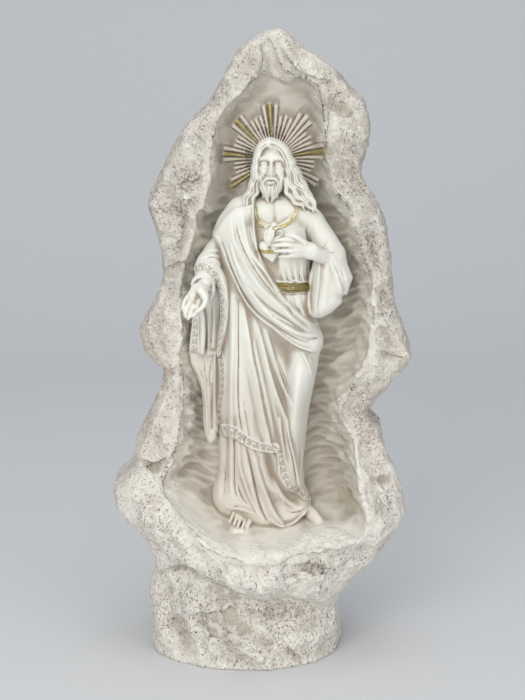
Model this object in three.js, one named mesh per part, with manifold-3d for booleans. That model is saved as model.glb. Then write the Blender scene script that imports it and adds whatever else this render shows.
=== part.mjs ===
// Sacred-heart statuette standing in a rock niche: one casting, millimetres, +Z up, viewer at -Y.
// Written as a signed field on a grid: rock (section by height, mouth of the niche, sloping ledge), halo rays in
// relief, and the draped figure (round limbs, cloth plates and the folds that lie on them). The field is meshed,
// simplified to its share of triangles and cut flat underneath.
import * as THREE from 'three';
import Module from 'manifold-3d';

// ---------- driving sizes (mm) ----------
const CELL = 1.5;            // grid step
const TRIANGLES = 9300;      // triangle budget of the finished solid
const FOOT_Z = 0;            // underside plane
const RIM_Y = 8;             // the rock's widest outline lies this far behind the middle
// halo: centre, lean and spacing of the rays in degrees (left, right), length at the top and at the sides, short ray as a share, relief
const HALO = { x: 7.0, z: 320.1, lean: 4.3, left: 6.6, right: 7.0, top: 34.6, side: 31.0, short: 0.81, relief: 2.4 };
const LUMP = { size: 32, depth: 0.85 }, KNOB = { size: 14, depth: 0.7 };

// rock outline seen from the front: height, half-outline
const OUT_RIGHT = [[401, 12], [389, 27], [377, 45], [356, 65], [334, 68], [312, 63], [283, 78], [230, 86], [193, 97], [160, 69], [148, 77], [129, 82], [115, 90], [94, 94], [85, 91], [64, 75], [51, 60], [35, 51], [17, 51], [-6, 47]];
const OUT_LEFT = [[401, 5], [391, -14], [359, -31], [343, -47], [318, -62], [292, -73], [271, -67], [251, -64], [236, -67], [212, -80], [196, -76], [185, -65], [177, -65], [139, -82], [125, -84], [108, -98], [94, -94], [78, -79], [62, -72], [54, -71], [40, -76], [14, -73], [-6, -68]];
// mouth of the niche: height, outline
const MOUTH_RIGHT = [[386, 6], [375, 11], [366, 33], [339, 38], [304, 42], [290, 54], [262, 62], [241, 69], [198, 67], [163, 50], [140, 58], [114, 62], [100, 66], [88, 64]];
const MOUTH_LEFT = [[386, 3], [372, -3], [354, -21], [339, -29], [293, -35], [287, -41], [234, -52], [214, -50], [196, -52], [172, -50], [137, -55], [118, -63], [108, -57], [81, -28]];
const LIP = [[79, -4], [83, 21], [85, 45]];
// height, reach forward of the rim line, reach behind it
const SECTION = [[-6, 50, 38], [0, 53, 40], [20, 54, 42], [34, 46, 42], [46.5, 46, 42], [50, 57, 42], [56, 61, 42], [66, 64, 42], [82, 64, 42], [96, 60, 42], [112, 48, 42], [128, 36, 42], [150, 29, 42], [200, 28, 42], [280, 26, 40], [330, 22, 36], [370, 14, 26], [390, 9, 17], [404, 6, 10]];
// height, depth of the niche wall
const WALL = [[90, -14], [120, -15], [200, -17], [290, -15], [340, -11], [370, -5], [390, 0]];
// lower edge of the bowl's skirt: x, height
const SKIRT = [[-76, 52], [-66, 60], [-49, 68], [-24, 59], [-19, 53], [0, 48], [16, 51], [37, 44], [46, 48], [58, 46], [76, 50]];
// relief lines of the rock: width left and right of travel, crest, rows of x, z, rise
const ROCK_RELIEF = [
  ['apex groove', 3.7, 3.7, 0.8, [2.2, 397.8, 0], [3.4, 388.7, -2.6], [5.9, 380.2, -4.5], [10.2, 371.8, -3], [15.9, 364.4, 0]],
  ['right brow', 9.9, 2.2, 0.6, [12, 389.9, 0.5], [16.3, 381.4, 2.6], [22.5, 375.4, 3.4], [31.1, 371.1, 3.4], [39.8, 369.3, 2], [47.9, 366.9, 0]],
  ['left brow', 2.2, 8.1, 0.6, [-0.3, 389.9, 0.5], [0.3, 381.4, 2], [-4, 371.7, 2.6], [-10.2, 363.9, 2.6], [-17.6, 358.4, 2.4], [-22.5, 352.3, 1]],
  ['temple crease', 4.3, 3.1, 0.5, [36.6, 362.1, 0], [44.1, 354.8, -1.6], [54.1, 350.5, -1.8], [64.3, 349.8, -0.6]],
  ['crevice', 2.5, 2.9, 0.3, [49.2, 320, 0], [53.7, 318.7, -1.3], [57.7, 312.4, -1.9], [62.2, 306.1, -1.6], [66.7, 299.1, -1], [70.7, 293.4, 0]],
  ['crevice ridge', 3.1, 2.5, 0.8, [53, 323.7, 0.3], [58.1, 319.8, 1.3], [63.7, 313.2, 1.4], [68, 305.9, 0.8], [71.8, 299.7, 0]],
  ['right crack', 2.5, 1.9, 0.3, [69.8, 274.6, 0], [70.5, 267.7, -1.5], [71.9, 257, -1.8], [71.3, 248.9, -1.4], [69.4, 242.1, 0]],
  ['right ledge', 2.5, 3.1, 0.5, [60.9, 269.4, 0], [67.2, 271, -1.2], [75.1, 271.8, 0]],
  ['right shade plane', 3.7, 2.5, 0.5, [68.8, 243.4, 0], [74.1, 238.7, -2.4], [79.4, 233.2, -2.8], [85, 227.9, -1]],
  ['right point ridge', 5.6, 5.6, 0.7, [71.5, 230.6, 0.5], [78.1, 221.4, 2.4], [85.5, 208.8, 3.2], [95.2, 195.5, 2]],
  ['point underside', 7.4, 1.9, 0.6, [69.8, 204.2, 0.5], [78.3, 200, 2.6], [86.2, 196.2, 3], [95.2, 194.8, 1.5]],
  ['lower pitted edge', 5, 2.5, 0.7, [63.1, 193.5, 0.7], [58.1, 183.3, 2.1], [52.5, 173.6, 2.3], [47.1, 162.1, 1.3]],
  ['right shoulder', 5.6, 5.6, 0.8, [71.3, 159.3, 0.5], [76, 146.7, 2.2], [80.1, 132.3, 2.6], [87.2, 118.4, 1.5]],
  ['right crease', 2.5, 4.3, 0.5, [67.2, 120.4, 0], [75.1, 118.2, -2.9], [83.2, 117.4, -3.1], [90, 118.3, -1.3]],
  ['right bulge', 7.4, 7.4, 1, [80.2, 109.4, 1.5], [82.7, 102, 2.6], [78.3, 95.4, 1.6]],
  ['right rim', 4.3, 3.7, 0.9, [59.8, 149.5, 0.3], [60.3, 136, 1.6], [60.7, 123.2, 2.2], [62.4, 110.4, 2.6], [65.4, 98.5, 2.6], [63.2, 88.7, 2], [61.1, 83.4, 1]],
  ['left bulge edge', 8.7, 1.6, 0.6, [-70.7, 248.3, 0.5], [-64.9, 251.2, 2.4], [-56.9, 255.6, 3.2], [-49.2, 257.3, 3.2], [-42.8, 252.2, 1.2]],
  ['left hollow', 8.1, 8.1, 1, [-62.3, 241.3, -1.5], [-57.1, 231.8, -3.6], [-54.5, 220.7, -3], [-57.1, 209.3, -1]],
  ['left point', 5, 5, 0.9, [-73.5, 225.4, 0.5], [-72.7, 213.3, 2], [-68.3, 202, 2.2], [-63.4, 191.6, 1]],
  ['left notch', 3.1, 3.1, 0.5, [-65.2, 185.5, -2.6], [-59.7, 185.4, -2.6], [-52.3, 189.8, -1]],
  ['left facet ridge', 5.6, 4.3, 0.6, [-57.8, 178.5, 0.5], [-63.8, 166.6, 2.4], [-71, 150.8, 2.8], [-78.3, 135.1, 1.6]],
  ['left crease', 2.5, 2.5, 0.5, [-83.5, 127.3, -2.1], [-76.1, 127.5, -3.6], [-70.7, 125.4, -3.4], [-63.5, 128.5, -2.2], [-55.3, 133.2, -0.8]],
  ['left bulge', 8.7, 7.4, 1, [-88.2, 116.5, 1.2], [-81.9, 110.1, 2.2], [-70.9, 100.4, 1.6]],
  ['bowl rim', 4, 4, 0.9, [-63, 115.5, 0.4], [-51.7, 103.2, 2], [-39.5, 90.5, 2.6], [-28.9, 82.5, 3.1], [-12.1, 77.3, 3.1], [-0.3, 76.8, 2.6], [13.9, 80, 2.4], [29.4, 82.5, 2.2], [48.3, 82.8, 2], [59.9, 83.6, 0.9]],
  ['strata 1', 1.9, 2.2, 0.4, [-1.6, 68.4, 0], [5.9, 67.7, -2.2], [15.8, 66.1, -2.7], [25.8, 65, -1.4]],
  ['strata 2', 1.9, 2.1, 0.4, [12.1, 73.5, 0], [23.3, 71.8, -2], [34.6, 68.9, -2.4], [44.7, 67.4, 0]],
  ['skirt facet 1', 6.8, 2.5, 0.6, [-10.8, 76, 0.9], [-9.6, 65.5, 3], [-12.2, 54, 2.1]],
  ['skirt facet 2', 5.6, 3.1, 0.6, [-30.1, 77.5, 0.8], [-25.9, 67.2, 3.3], [-18.4, 57.4, 3]],
  ['skirt facet 3', 6.2, 5, 0.7, [37, 78.6, 0.6], [38.4, 65, 3.1], [36.4, 47.3, 2.8]],
  ['left under edge', 9.3, 3.1, 0.6, [-75.6, 84.2, 1.2], [-62.3, 78.1, 3.4], [-48.9, 71.4, 3.8], [-36.7, 66.4, 3.8], [-28.3, 55.9, 2.9], [-17.9, 54, 1.2]],
  ['left skirt ridge', 5, 5, 0.7, [-71.1, 105.6, 0.5], [-57.9, 92.8, 1.8], [-47.8, 82.2, 1.8], [-39.1, 73.2, 1]],
  ['base groove', 6.8, 4.3, 0.8, [-32, 36.2, 0], [-24.4, 33.3, -2.2], [-15.5, 28.3, -4.2], [-7.9, 24.1, -4.8], [-1.6, 20, -4.6], [4.1, 15.8, -3.4], [9.2, 9.9, -1.2]],
  ['base bulge', 3.7, 8.1, 0.9, [-37.1, 26.4, 1], [-26.9, 21.2, 4], [-15.5, 16.2, 5], [-5.4, 10.7, 4.2], [3.5, 4.8, 1.6]],
  ['base left plane', 10.5, 10.5, 1, [-62.3, 44.8, -2], [-57.3, 31, -5], [-51.6, 12.8, -4.6], [-46.5, 1.1, -2]],
  ['base left ridge', 6.8, 3.1, 0.6, [-39.2, 47.5, 1], [-37.7, 35.5, 3.6], [-35.9, 21.1, 3.8], [-31.5, 9.2, 2]],
  ['base crease', 3.7, 3.1, 0.5, [13.7, 19.8, 0], [16.2, 12.6, -4.2], [19.5, 7.3, -4.5], [24, 2.2, -2.6]],
  ['base right bulge', 6.2, 6.2, 1, [27.9, 23.2, 0.7], [35.7, 18, 3.1], [43.8, 16.2, 2]],
  ['base upper ridge', 6.2, 3.7, 0.8, [-55.3, 42.4, 0.4], [-46.1, 40.6, 1.4], [-34.6, 38.4, 2], [-21.9, 37.7, 1.2]],
  ['base strata', 1.9, 2.5, 0.6, [-15.6, 36.6, 0], [-4.1, 35.2, -1.4], [4.8, 33.5, -1.6], [13.7, 32.1, 0]],
];

// ---------- figure: rows are x, z, half width, axis towards the viewer, half depth; folds are x, z, rise ----------
const FIGURE = [
  { name: 'robe and mantle', blend: 7, join: 2,
    limbs: [
      ['chest', [6.6, 285.7, 15.1, 1, 14.5], [9.1, 270.8, 20.1, 1, 18.5], [11.7, 242.2, 19.5, 0, 19], [11.1, 225, 22.1, 0, 20]],
      ['shoulders', [-17.3, 278.5, 6.9, 0, 11], [-7.2, 287.5, 7.5, 1, 13], [7.8, 289.4, 7.5, 1, 13], [22.2, 288.1, 8.2, 1, 13], [31.1, 281.7, 7.9, 0, 12]],
      ['skirt', [10.4, 229.4, 22.7, 0, 20], [5.7, 203.8, 30.2, 0, 22], [1, 167.8, 29, -1, 22], [-1, 141.5, 27.8, -1, 23], [-1.9, 121.6, 27.1, -1, 24], [-1, 102.8, 29.6, -1, 24]],
      ['thigh', [17.4, 217.2, 10, 4, 18], [24.3, 198.6, 8.8, 8, 17], [23.1, 184.4, 8.4, 11, 18], [20.3, 168.4, 8.1, 9, 17.5], [18.5, 153.1, 7.8, 8, 17], [16.7, 132.5, 7.8, 5, 17], [16.8, 117.2, 7.8, 5, 17]],
      ['hem', [-16.5, 103.9, 14.5, 2, 20], [-0.3, 96.3, 13.8, 5, 22], [14.5, 94.5, 11.3, 6, 21], [24.2, 98.7, 6.9, 5, 19]],
      ['sash', [-14, 289.7, 6.9, 5, 13], [-15.9, 278.6, 11.9, 5, 16], [-14, 265.1, 11.3, 7, 16.5], [-8.4, 250.8, 10, 8, 17], [-0.3, 236.8, 10, 7, 18], [11.7, 223.2, 11.3, 5, 19], [23.7, 212, 9.4, 4, 18], [30.8, 207.2, 6.9, 3, 16]],
      ['side fall', [-24.3, 270.2, 4.4, 0, 8], [-19.9, 256.6, 5.7, 1, 12], [-16.8, 232.6, 9.4, 1, 16], [-15, 200.4, 12.6, 0, 19], [-13.8, 167.6, 12.6, -1, 20]],
      ['mantle shoulder', [-9.7, 291.3, 5, 3, 9], [-15.3, 287.7, 5.7, 4, 10], [-20, 282.7, 5, 4, 9.5], [-24.5, 277.8, 3.8, 3, 8.5], [-27.7, 274.4, 2.3, 2, 6.5]],
    ],
    plates: [
    ],
    folds: [
      ['neck hollow', 10.5, 10.5, 1, [8.4, 296.3, -2.4], [8.3, 289.8, -2.4], [8.4, 284.8, -1.6]],
      ['chest form', 8.7, 8.7, 1, [18.3, 279.1, 0.6], [19.2, 274.9, 1.2], [18, 268.8, 0]],
      ['belt', 2.9, 2.9, 0.9, [9, 242.9, 0.6], [13.4, 242.2, 1.2], [20.3, 241.8, 1.2], [29.1, 241.7, 1]],
      ['under belt', 0.6, 1.6, 0.3, [12.8, 238.7, -0.8], [18.4, 238.1, -1.4], [23.4, 238, -1.3], [29.1, 238.1, -1]],
      ['throat', 2.5, 2.5, 1, [7.1, 294.5, -0.5], [7.4, 289.8, -1], [7.4, 284.8, -0.9]],
      ['column fold', 3, 2.6, 0.9, [-18.4, 236.6, 0.4], [-18.7, 224.7, 1.6], [-18.9, 209, 2.6], [-19.6, 189.8, 3], [-20.2, 170.4, 3.2], [-20.1, 155.4, 2.8], [-19.7, 145.6, 2]],
      ['long fold 2', 0.9, 6.8, 0.5, [-12.2, 231.7, 0.4], [-9.7, 220.5, 2.2], [-8.2, 211.8, 3.2], [-6.1, 198, 4], [-3, 183.9, 4.4], [0.2, 165.8, 4.6], [3.4, 151.6, 4.2], [6, 139.9, 3.2]],
      ['long valley 2', 2.2, 2.2, 0.9, [-4.1, 213.1, 0], [-2.6, 203.1, -1.2], [0.8, 187.2, -1.6], [4.4, 171, -1.6], [7.7, 154.7, -1.2], [9.2, 141.2, 0]],
      ['long fold 3', 0.9, 5, 0.5, [-5.3, 223.1, 0.4], [-1.6, 214.5, 1.8], [2.6, 198.2, 3], [7.5, 180.3, 3.6], [13.1, 164.7, 3.2], [15.4, 158.7, 2.2], [17, 148.4, 0.8]],
      ['long fold 4', 0.9, 2.9, 0.6, [1.6, 216, 0.3], [4, 210.3, 1.8], [7.5, 198.2, 2.8], [11.7, 185.2, 3], [15.2, 176.6, 2.2], [18.1, 169.5, 0.8]],
      ['knee', 6.2, 6.2, 1, [20.9, 203.8, 0], [21.2, 194.9, 1.8], [20.9, 182.9, 2.8], [20.4, 169.7, 2.2], [19.8, 156.5, 0.8], [19.3, 145.7, 0]],
      ['thigh edge', 0.8, 1.4, 0.5, [25.3, 201.9, 0.4], [27.2, 198, 1.6], [30, 191.9, 2], [31.6, 183.8, 2], [31.2, 174.7, 1.8], [29.5, 167.1, 1.2], [27.8, 156.9, 0.4]],
      ['hip hollow', 1.5, 1.5, 0.9, [30.8, 198.5, -0.6], [32.5, 193.1, -1.4], [33.3, 186.7, -1]],
      ['left fold', 3.5, 3.1, 0.9, [-26.7, 142.8, 1.4], [-27.1, 125, 2], [-28.3, 112.7, 2.2], [-28.7, 103.4, 1.2]],
      ['under fold 1', 2.1, 1.5, 0.9, [-20.5, 143.7, 1], [-20.7, 127.2, 1.6], [-20.4, 115.5, 1.8], [-19.5, 107.8, 1]],
      ['under fold 2', 1.6, 1.6, 0.9, [-15.8, 141.7, 0.8], [-14.5, 127.8, 2.2], [-11, 116.4, 2.8], [-8, 108.4, 2.6], [-4.1, 101.2, 1.6], [-2.4, 97.4, 0.6]],
      ['under crease 2', 1.1, 1.6, 0.5, [-10.1, 139.8, -1], [-8.3, 132.8, -2.8], [-5.8, 120.6, -3.6], [-3.2, 108.4, -3.6], [-0.3, 100, -3.2], [2.5, 94.2, -1.6]],
      ['under fold 3', 1.4, 5, 0.7, [-6.2, 138.7, 0.6], [-3.9, 131.7, 2.8], [-1.8, 123.3, 4], [1.6, 113.4, 4.6], [5.8, 103.4, 4.8], [9.2, 97.5, 4], [13.1, 92, 2.6]],
      ['recess', 5, 4.3, 1, [2.9, 136.1, -2], [4.1, 129.6, -4.2], [6.7, 121, -4.4], [11.8, 113, -3.2], [18.3, 105, -1.6], [22.1, 101.7, 0]],
      ['inner fold', 1.6, 2.5, 0.8, [6, 121.7, 0], [9.5, 114.4, 1.8], [14.4, 106.6, 2.4], [20.8, 102, 2.4], [27.2, 100.9, 1.6]],
      ['hem lobe', 1.5, 2.9, 0.8, [5.4, 94.9, 1], [10.5, 91.3, 3], [15.6, 90.8, 3.8], [20.8, 92.9, 3.8], [25.3, 96.3, 3], [29.2, 98.9, 2], [32.5, 100.3, 0.8]],
      ['end fold 1', 0.9, 1.9, 0.7, [10.8, 159.4, 0.8], [11.7, 151.7, 2], [13.2, 141.4, 2.4], [14.5, 134.3, 1.8], [15.8, 129.7, 0.4]],
      ['end fold 2', 0.8, 2.6, 0.6, [14.8, 158.7, 0.6], [16.7, 149.8, 2.6], [20.3, 133.9, 3.2], [23.3, 119.5, 3.2], [26.2, 109.9, 2.8], [29.9, 103.6, 2], [33, 101.2, 0.8]],
      ['end edge', 1.5, 1, 0.9, [26.9, 147.6, 0.6], [25.8, 134.7, 1.4], [24.8, 123.9, 1.6], [24.9, 116.9, 1.2], [27.6, 108.5, 1], [30.9, 102.5, 0.5]],
      ['mantle rim', 0.7, 1.5, 0.8, [-28.6, 273.9, 0.8], [-26.1, 269.7, 1.3], [-23.4, 263.8, 1.4], [-20.3, 255.2, 1.5], [-17.2, 248.4, 1.5], [-13.5, 240, 1.5], [-8.6, 231.4, 1.6], [-1.7, 224.5, 1.7], [6.9, 218.4, 1.7], [14.4, 212.4, 1.8], [20.9, 208.1, 1.9], [27.1, 205.2, 1.9], [33, 203.4, 1.6], [37.8, 204.6, 0.8]],
      ['rim groove', 1, 1.4, 0.8, [-25.8, 273, 0], [-23, 266.4, -1], [-20.5, 259, -1.4], [-17.4, 251, -1.6], [-14, 243.4, -1.5], [-9.4, 235.6, -1.5], [-3.7, 228.4, -1.5], [4.4, 222.3, -1.5], [13.1, 216.3, -1.5], [20.8, 211.9, -1.3], [28.4, 209.1, -0.8]],
      ['band fold left', 1.2, 1.4, 0.9, [-22.6, 279.5, 0], [-20.4, 272.3, 0.8], [-17.9, 263.7, 1.3], [-15.1, 255.8, 1.2], [-12.3, 249, 0.8], [-10.2, 244.6, 0]],
      ['band fold 1', 1.4, 3.8, 0.6, [-19.1, 286.3, 0.3], [-18.4, 280.3, 1.6], [-17.8, 274.8, 2.4], [-16, 270.2, 2.7], [-12.4, 263, 3], [-8.7, 255.8, 3], [-4.4, 248.8, 3], [1.8, 241.2, 3], [8, 235.4, 3], [14.2, 229.6, 3], [20.5, 223.1, 2.6], [25.2, 218.7, 1.6], [29.1, 215.7, 0.6]],
      ['band fold 2', 1.4, 2.2, 0.8, [-11.6, 288.2, 0.4], [-11.2, 282, 1.5], [-9.8, 274, 2], [-7.4, 266.5, 2.2], [-3.2, 259.8, 2.2], [1.7, 252.9, 2.2], [5.5, 246.8, 1.8], [8.8, 241.5, 1.2], [12.7, 236.2, 0.3]],
      ['mantle inner edge', 0.6, 1.9, 0.8, [-5.3, 292.2, 0.6], [-4.6, 284.7, 1], [-4.3, 277.9, 1.2], [-2.8, 268.1, 1.3], [-0.3, 260.3, 1.4], [4, 251.7, 1.4], [7.8, 245.5, 1.2], [10.9, 240.5, 1], [17.1, 233, 0.8], [24, 225.3, 0.8], [31.1, 218.6, 0.6]],
      ['lower plane', 2.2, 2.2, 0.9, [-7.7, 243.4, -0.6], [-2.4, 236.9, -1.6], [4, 231.1, -1.8], [11.5, 225.5, -1.8], [18.9, 220.5, -1.4], [25.2, 216.3, -0.6]],
      ['gather ridge', 1.9, 2.1, 0.9, [-2.8, 232.6, 0.3], [2.8, 227.8, 1.4], [8.4, 222.9, 2.2], [14.3, 219, 2.8], [20.8, 215.8, 3.2], [27.8, 213.3, 3.2], [33.3, 212.2, 2.8], [38.2, 209.7, 1.4]],
      ['gather fold 2', 1, 1.6, 0.7, [14.6, 228, 0.3], [18.3, 224.6, 1.4], [22.7, 220.9, 2], [27.8, 217.3, 2], [32.8, 215.3, 1.4], [37.2, 212.5, 0.5]],
      ['hip pocket', 1.6, 1.6, 0.9, [30.4, 220.1, -0.8], [33.8, 217.4, -2.2], [37.2, 214.1, -1.4]],
      ['armpit', 0.9, 1.4, 0.4, [27.7, 280, 0], [27.6, 276.8, -1.4], [28.3, 272.5, -2.2], [28.5, 271.1, -1]],
      ['breast form', 7.4, 7.4, 1, [18.3, 279.1, 0.4], [19.2, 274.9, 1], [18, 268.8, 0]],
      ['belly fold 1', 1.6, 1.9, 0.8, [15.5, 239.1, 0.4], [16.7, 233.6, 1.3], [19.4, 228.1, 1], [22.1, 223.7, 0]],
      ['belly fold 2', 1.6, 1.5, 0.8, [21.9, 238.7, 0.5], [23.2, 232.5, 1.4], [25.3, 226.3, 1], [27.2, 222.5, 0]],
    ],
    steps: [
      ['sash', 1.5, 1.5, [[-12.2, 292.8], [-16.5, 292], [-20.5, 289.1], [-24.5, 284.3], [-27.9, 279.1], [-30.7, 274.6], [-29.8, 273.1], [-27, 269.2], [-24.2, 262.9], [-21.1, 254.3], [-18, 247.5], [-14.2, 239.4], [-9.2, 230.5], [-2.3, 223.4], [6.4, 217.1], [13.9, 211.1], [20.5, 206.8], [27.2, 203.7], [33.7, 201], [40.4, 200.6], [40.2, 216.1], [32.4, 218.9], [25.9, 224], [19.6, 230], [14.6, 235.1], [10.5, 240.5], [7.6, 245.1], [3.8, 251.2], [-0.4, 259.6], [-3, 267.5], [-4.7, 278.5], [-5.3, 289.1], [-5.5, 294.1]]],
      ['mantle', 1.5, 1.5, [[-12.2, 292.8], [-16.5, 292], [-20.5, 289.1], [-24.5, 284.3], [-27.9, 279.1], [-30.7, 274.6], [-29.8, 273.1], [-29.4, 268.3], [-29.5, 260.6], [-28.9, 253.5], [-29.3, 233.2], [-29.5, 200.9], [-28.7, 194.2], [-28.1, 185], [-28.3, 175.2], [-28.9, 165.5], [-29.2, 156.2], [-29.5, 148.7], [-28.1, 145.3], [-25, 145.6], [-19.3, 146.4], [-14.9, 144.2], [-9.8, 141.1], [-2.9, 138.4], [4.1, 137.5], [8.6, 137], [9.9, 130.1], [9.6, 124.9], [11.1, 119.4], [14.7, 115], [21.3, 108.5], [26, 105.2], [31.3, 101.2], [34.8, 95.6], [44.2, 99.2], [43.1, 198.6], [40.2, 216.1], [32.4, 218.9], [25.9, 224], [19.6, 230], [14.6, 235.1], [10.5, 240.5], [7.6, 245.1], [3.8, 251.2], [-0.4, 259.6], [-3, 267.5], [-4.7, 278.5], [-5.3, 289.1], [-5.5, 294.1]]],
      ['collar', 0.7, 1.5, [[-6.5, 292.8], [-5.5, 284.8], [-3.1, 280.5], [2.5, 279.1], [11.1, 278.6], [18.4, 282.3], [21.8, 287.1], [23.9, 292.4], [21.1, 292.5], [19, 288.4], [16, 285], [10.3, 281.8], [3.3, 281.4], [-1.3, 283.4], [-3.2, 285.8], [-3.7, 292.7]]],
      ['belt band', 1, 1.5, [[8.1, 244.7], [11.5, 245.9], [17.1, 245.1], [23.4, 244.9], [29.7, 244.7], [29.7, 239.4], [23.4, 238.8], [15.9, 238.8], [11.5, 240.2], [9.6, 241.6]]],
    ] },
  { name: 'neck', blend: 3, join: 1.2,
    limbs: [
      ['neck', [5, 303.1, 6, 3, 8], [5.6, 293.7, 6.3, 2, 8.5], [6.3, 284.9, 8.8, 1, 9]],
    ],
    plates: [
    ],
    folds: [
    ],
    steps: [
    ] },
  { name: 'outstretched arm', blend: 4, join: 1,
    limbs: [
      ['upper arm', [-24.9, 270.1, 5, -1, 8.5], [-29.3, 264.9, 6.2, 2, 10], [-32, 259.7, 6.9, 6, 10.5], [-33.6, 255.1, 7.5, 10, 10.5], [-34, 251, 7.8, 12, 9.4]],
      ['sleeve end', [-33.8, 255.3, 7.2, 11, 10], [-34.7, 249.6, 6.9, 16.5, 8.2]],
    ],
    plates: [
    ],
    folds: [
      ['cuff mouth', 2.1, 3.1, 0.7, [-40.7, 245.5, -0.8], [-38.4, 247.9, -2.6], [-35.4, 248.5, -3.2], [-32.6, 246.4, -3.2], [-31.8, 239.6, -1.8]],
    ],
    steps: [
    ] },
  { name: 'cloth hanging from the outstretched arm', blend: 1.6, join: 0.8,
    limbs: [
      ['outer band', [-30, 254.1, 4, 12.5, 7], [-25.7, 246.7, 3.7, 14, 6.2], [-23.9, 237.9, 2.9, 14.5, 5.4], [-23.7, 228.4, 2.6, 14.5, 5.2], [-24.4, 218.7, 2.6, 14, 5], [-25.8, 209.6, 2.4, 13, 5], [-27.2, 201.7, 1.7, 12, 4.6], [-28, 197.6, 0.8, 11.5, 3]],
      ['strip fold', [-39, 228.7, 1.4, 13.6, 3], [-37.6, 222.6, 1.6, 14.6, 3.3], [-37.4, 212.4, 1.6, 14.8, 3.3], [-37.9, 200.4, 1.4, 14.4, 3.1]],
      ['undersleeve', [-43.5, 244.7, 1.2, 21, 2.8], [-42, 247.6, 1.4, 21, 3.1], [-38.7, 249.6, 1.5, 21.5, 3.3], [-35, 249.5, 1.5, 21.5, 3.3], [-32, 246.8, 1.5, 20.5, 3.2], [-30.7, 242.5, 1.4, 19.5, 3], [-31.1, 238, 1.1, 18.6, 2.7], [-33, 234.4, 0.7, 18, 2]],
      ['undersleeve ring', [-41.7, 243.3, 0.7, 22.6, 2], [-39.9, 245.9, 0.7, 23, 2.1], [-36.8, 246.7, 0.8, 23, 2.2], [-34.1, 245.2, 0.8, 22.6, 2.1], [-33, 241.3, 0.7, 21.6, 2]],
    ],
    plates: [
      ['sleeve hollow', [-30, 217.8, 5, -0.05, 0.05], 5, 3.4, [[-37.6, 237.7], [-27.5, 241.5], [-25, 232.6], [-25.3, 219.7], [-26, 200.4], [-31.6, 196.5], [-37.3, 196.5]]],
      ['strip', [-41.2, 212.4, 11.5, 0, 0], 4.4, 2.4, [[-44.1, 221.4], [-41.2, 225.9], [-37.7, 227.8], [-36.6, 214.4], [-37.6, 199], [-40.2, 199.2], [-46.6, 201.3], [-45.6, 210.6]]],
      ['lower tail', [-36.1, 169.1, 2.6, 0.06, 0], 6, 3.4, [[-47.2, 199.3], [-36, 202.6], [-27.4, 201.3], [-26.9, 177.1], [-27.7, 154.1], [-29.4, 141.4], [-32.6, 138.1], [-35.2, 138.5], [-37.4, 144.8], [-38.5, 154.1], [-38.4, 165.9], [-39.7, 175.1], [-42.6, 183.7], [-46, 190.9]]],
    ],
    folds: [
      ['tail fold', 1, 1.5, 0.9, [-44.3, 194.1, 0.6], [-40.1, 185.1, 1.4], [-37, 174.7, 1.6], [-35.8, 161.6, 1.8], [-35.5, 148.3, 1.4], [-34, 141.8, 0.5]],
      ['tail valley', 1.5, 1.5, 0.9, [-32.5, 178.7, -0.6], [-32.6, 165, -1.8], [-32.4, 149.8, -1.2]],
      ['lace column', 1.5, 1.1, 0.9, [-27.1, 202.3, 0.8], [-26.1, 194.9, 1.8], [-25.3, 187.4, 1.8], [-25.9, 176, 1.8], [-26.9, 165.7, 1.6], [-28, 155.7, 1.6], [-28.5, 147.3, 1.2]],
    ],
    steps: [
    ] },
  { name: 'bent arm and its wide sleeve', blend: 5, join: 1.2,
    limbs: [
      ['upper arm', [30.4, 283.6, 7.2, 0, 12], [34.8, 276.9, 7.5, 2, 12], [38.9, 269.6, 8.2, 4, 12], [42.6, 262.2, 9.1, 6, 11.5]],
    ],
    plates: [
      ['hanging sleeve', [41.5, 242.2, 9, -0.06, 0], 12, 9, [[31.6, 256.3], [35.9, 265.1], [43.4, 267.6], [50.3, 262.6], [53.5, 255.6], [57, 247.4], [55, 241.7], [53.3, 236.3], [50.2, 236], [50.1, 231.3], [43.7, 225.5], [36.8, 222], [31.8, 222], [28.4, 225.2], [27.3, 231.6], [28.3, 241.1], [29.5, 249.3]]],
    ],
    folds: [
      ['seam ridge', 0.6, 1.4, 0.7, [36, 266.6, 0.4], [40, 265.7, 1], [44.3, 265, 1.2], [48.2, 263.6, 1.2], [51.5, 261.1, 0.8]],
      ['shoulder form', 2.2, 1.9, 0.9, [30.8, 287.4, 0], [32.6, 281.3, 0.7], [33.9, 274, 0.5], [33.8, 269.4, 0]],
      ['front edge', 0.9, 3.1, 0.7, [35.9, 265.5, 0.6], [35.5, 256.6, 2], [35, 247.3, 2.4], [34.2, 237.9, 2.4], [33.7, 229.7, 2], [34.2, 223.3, 1.2]],
      ['sleeve inside', 2.2, 1.6, 0.9, [32.5, 257.4, -0.8], [31.4, 249.8, -2.8], [30.6, 240.7, -3.4], [30.5, 232.6, -3], [31.5, 226.1, -1.4]],
      ['soft fold', 2.5, 2.5, 0.9, [38.9, 261.5, 0.4], [39.8, 250.5, 0.9], [39.1, 238, 0.9], [37.8, 228.3, 0.4]],
      ['layer ridge', 0.7, 2.7, 0.6, [40.8, 262.5, 0.4], [45, 253.6, 1.3], [48, 244.8, 1.8], [49.8, 236.9, 1.6], [50.1, 231.9, 0.8]],
      ['outer fold', 1.4, 1.6, 0.9, [47.5, 258.4, 0.4], [51.6, 250.6, 1.2], [53.1, 242.9, 1.2], [52.2, 238.4, 0.7]],
    ],
    steps: [
      ['layer', 1, 1.5, [[35.3, 264.5], [40.4, 263.5], [44.3, 262.2], [48.1, 254.7], [50.3, 245.9], [50.7, 236.8], [52.7, 227], [46.5, 219.2], [38.1, 214.5], [26.6, 220.7], [23.4, 234.4], [26, 252.5], [31.6, 262.1]]],
    ] },
  { name: 'forearm and hand over the heart', blend: 2.5, join: 0.8,
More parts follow.
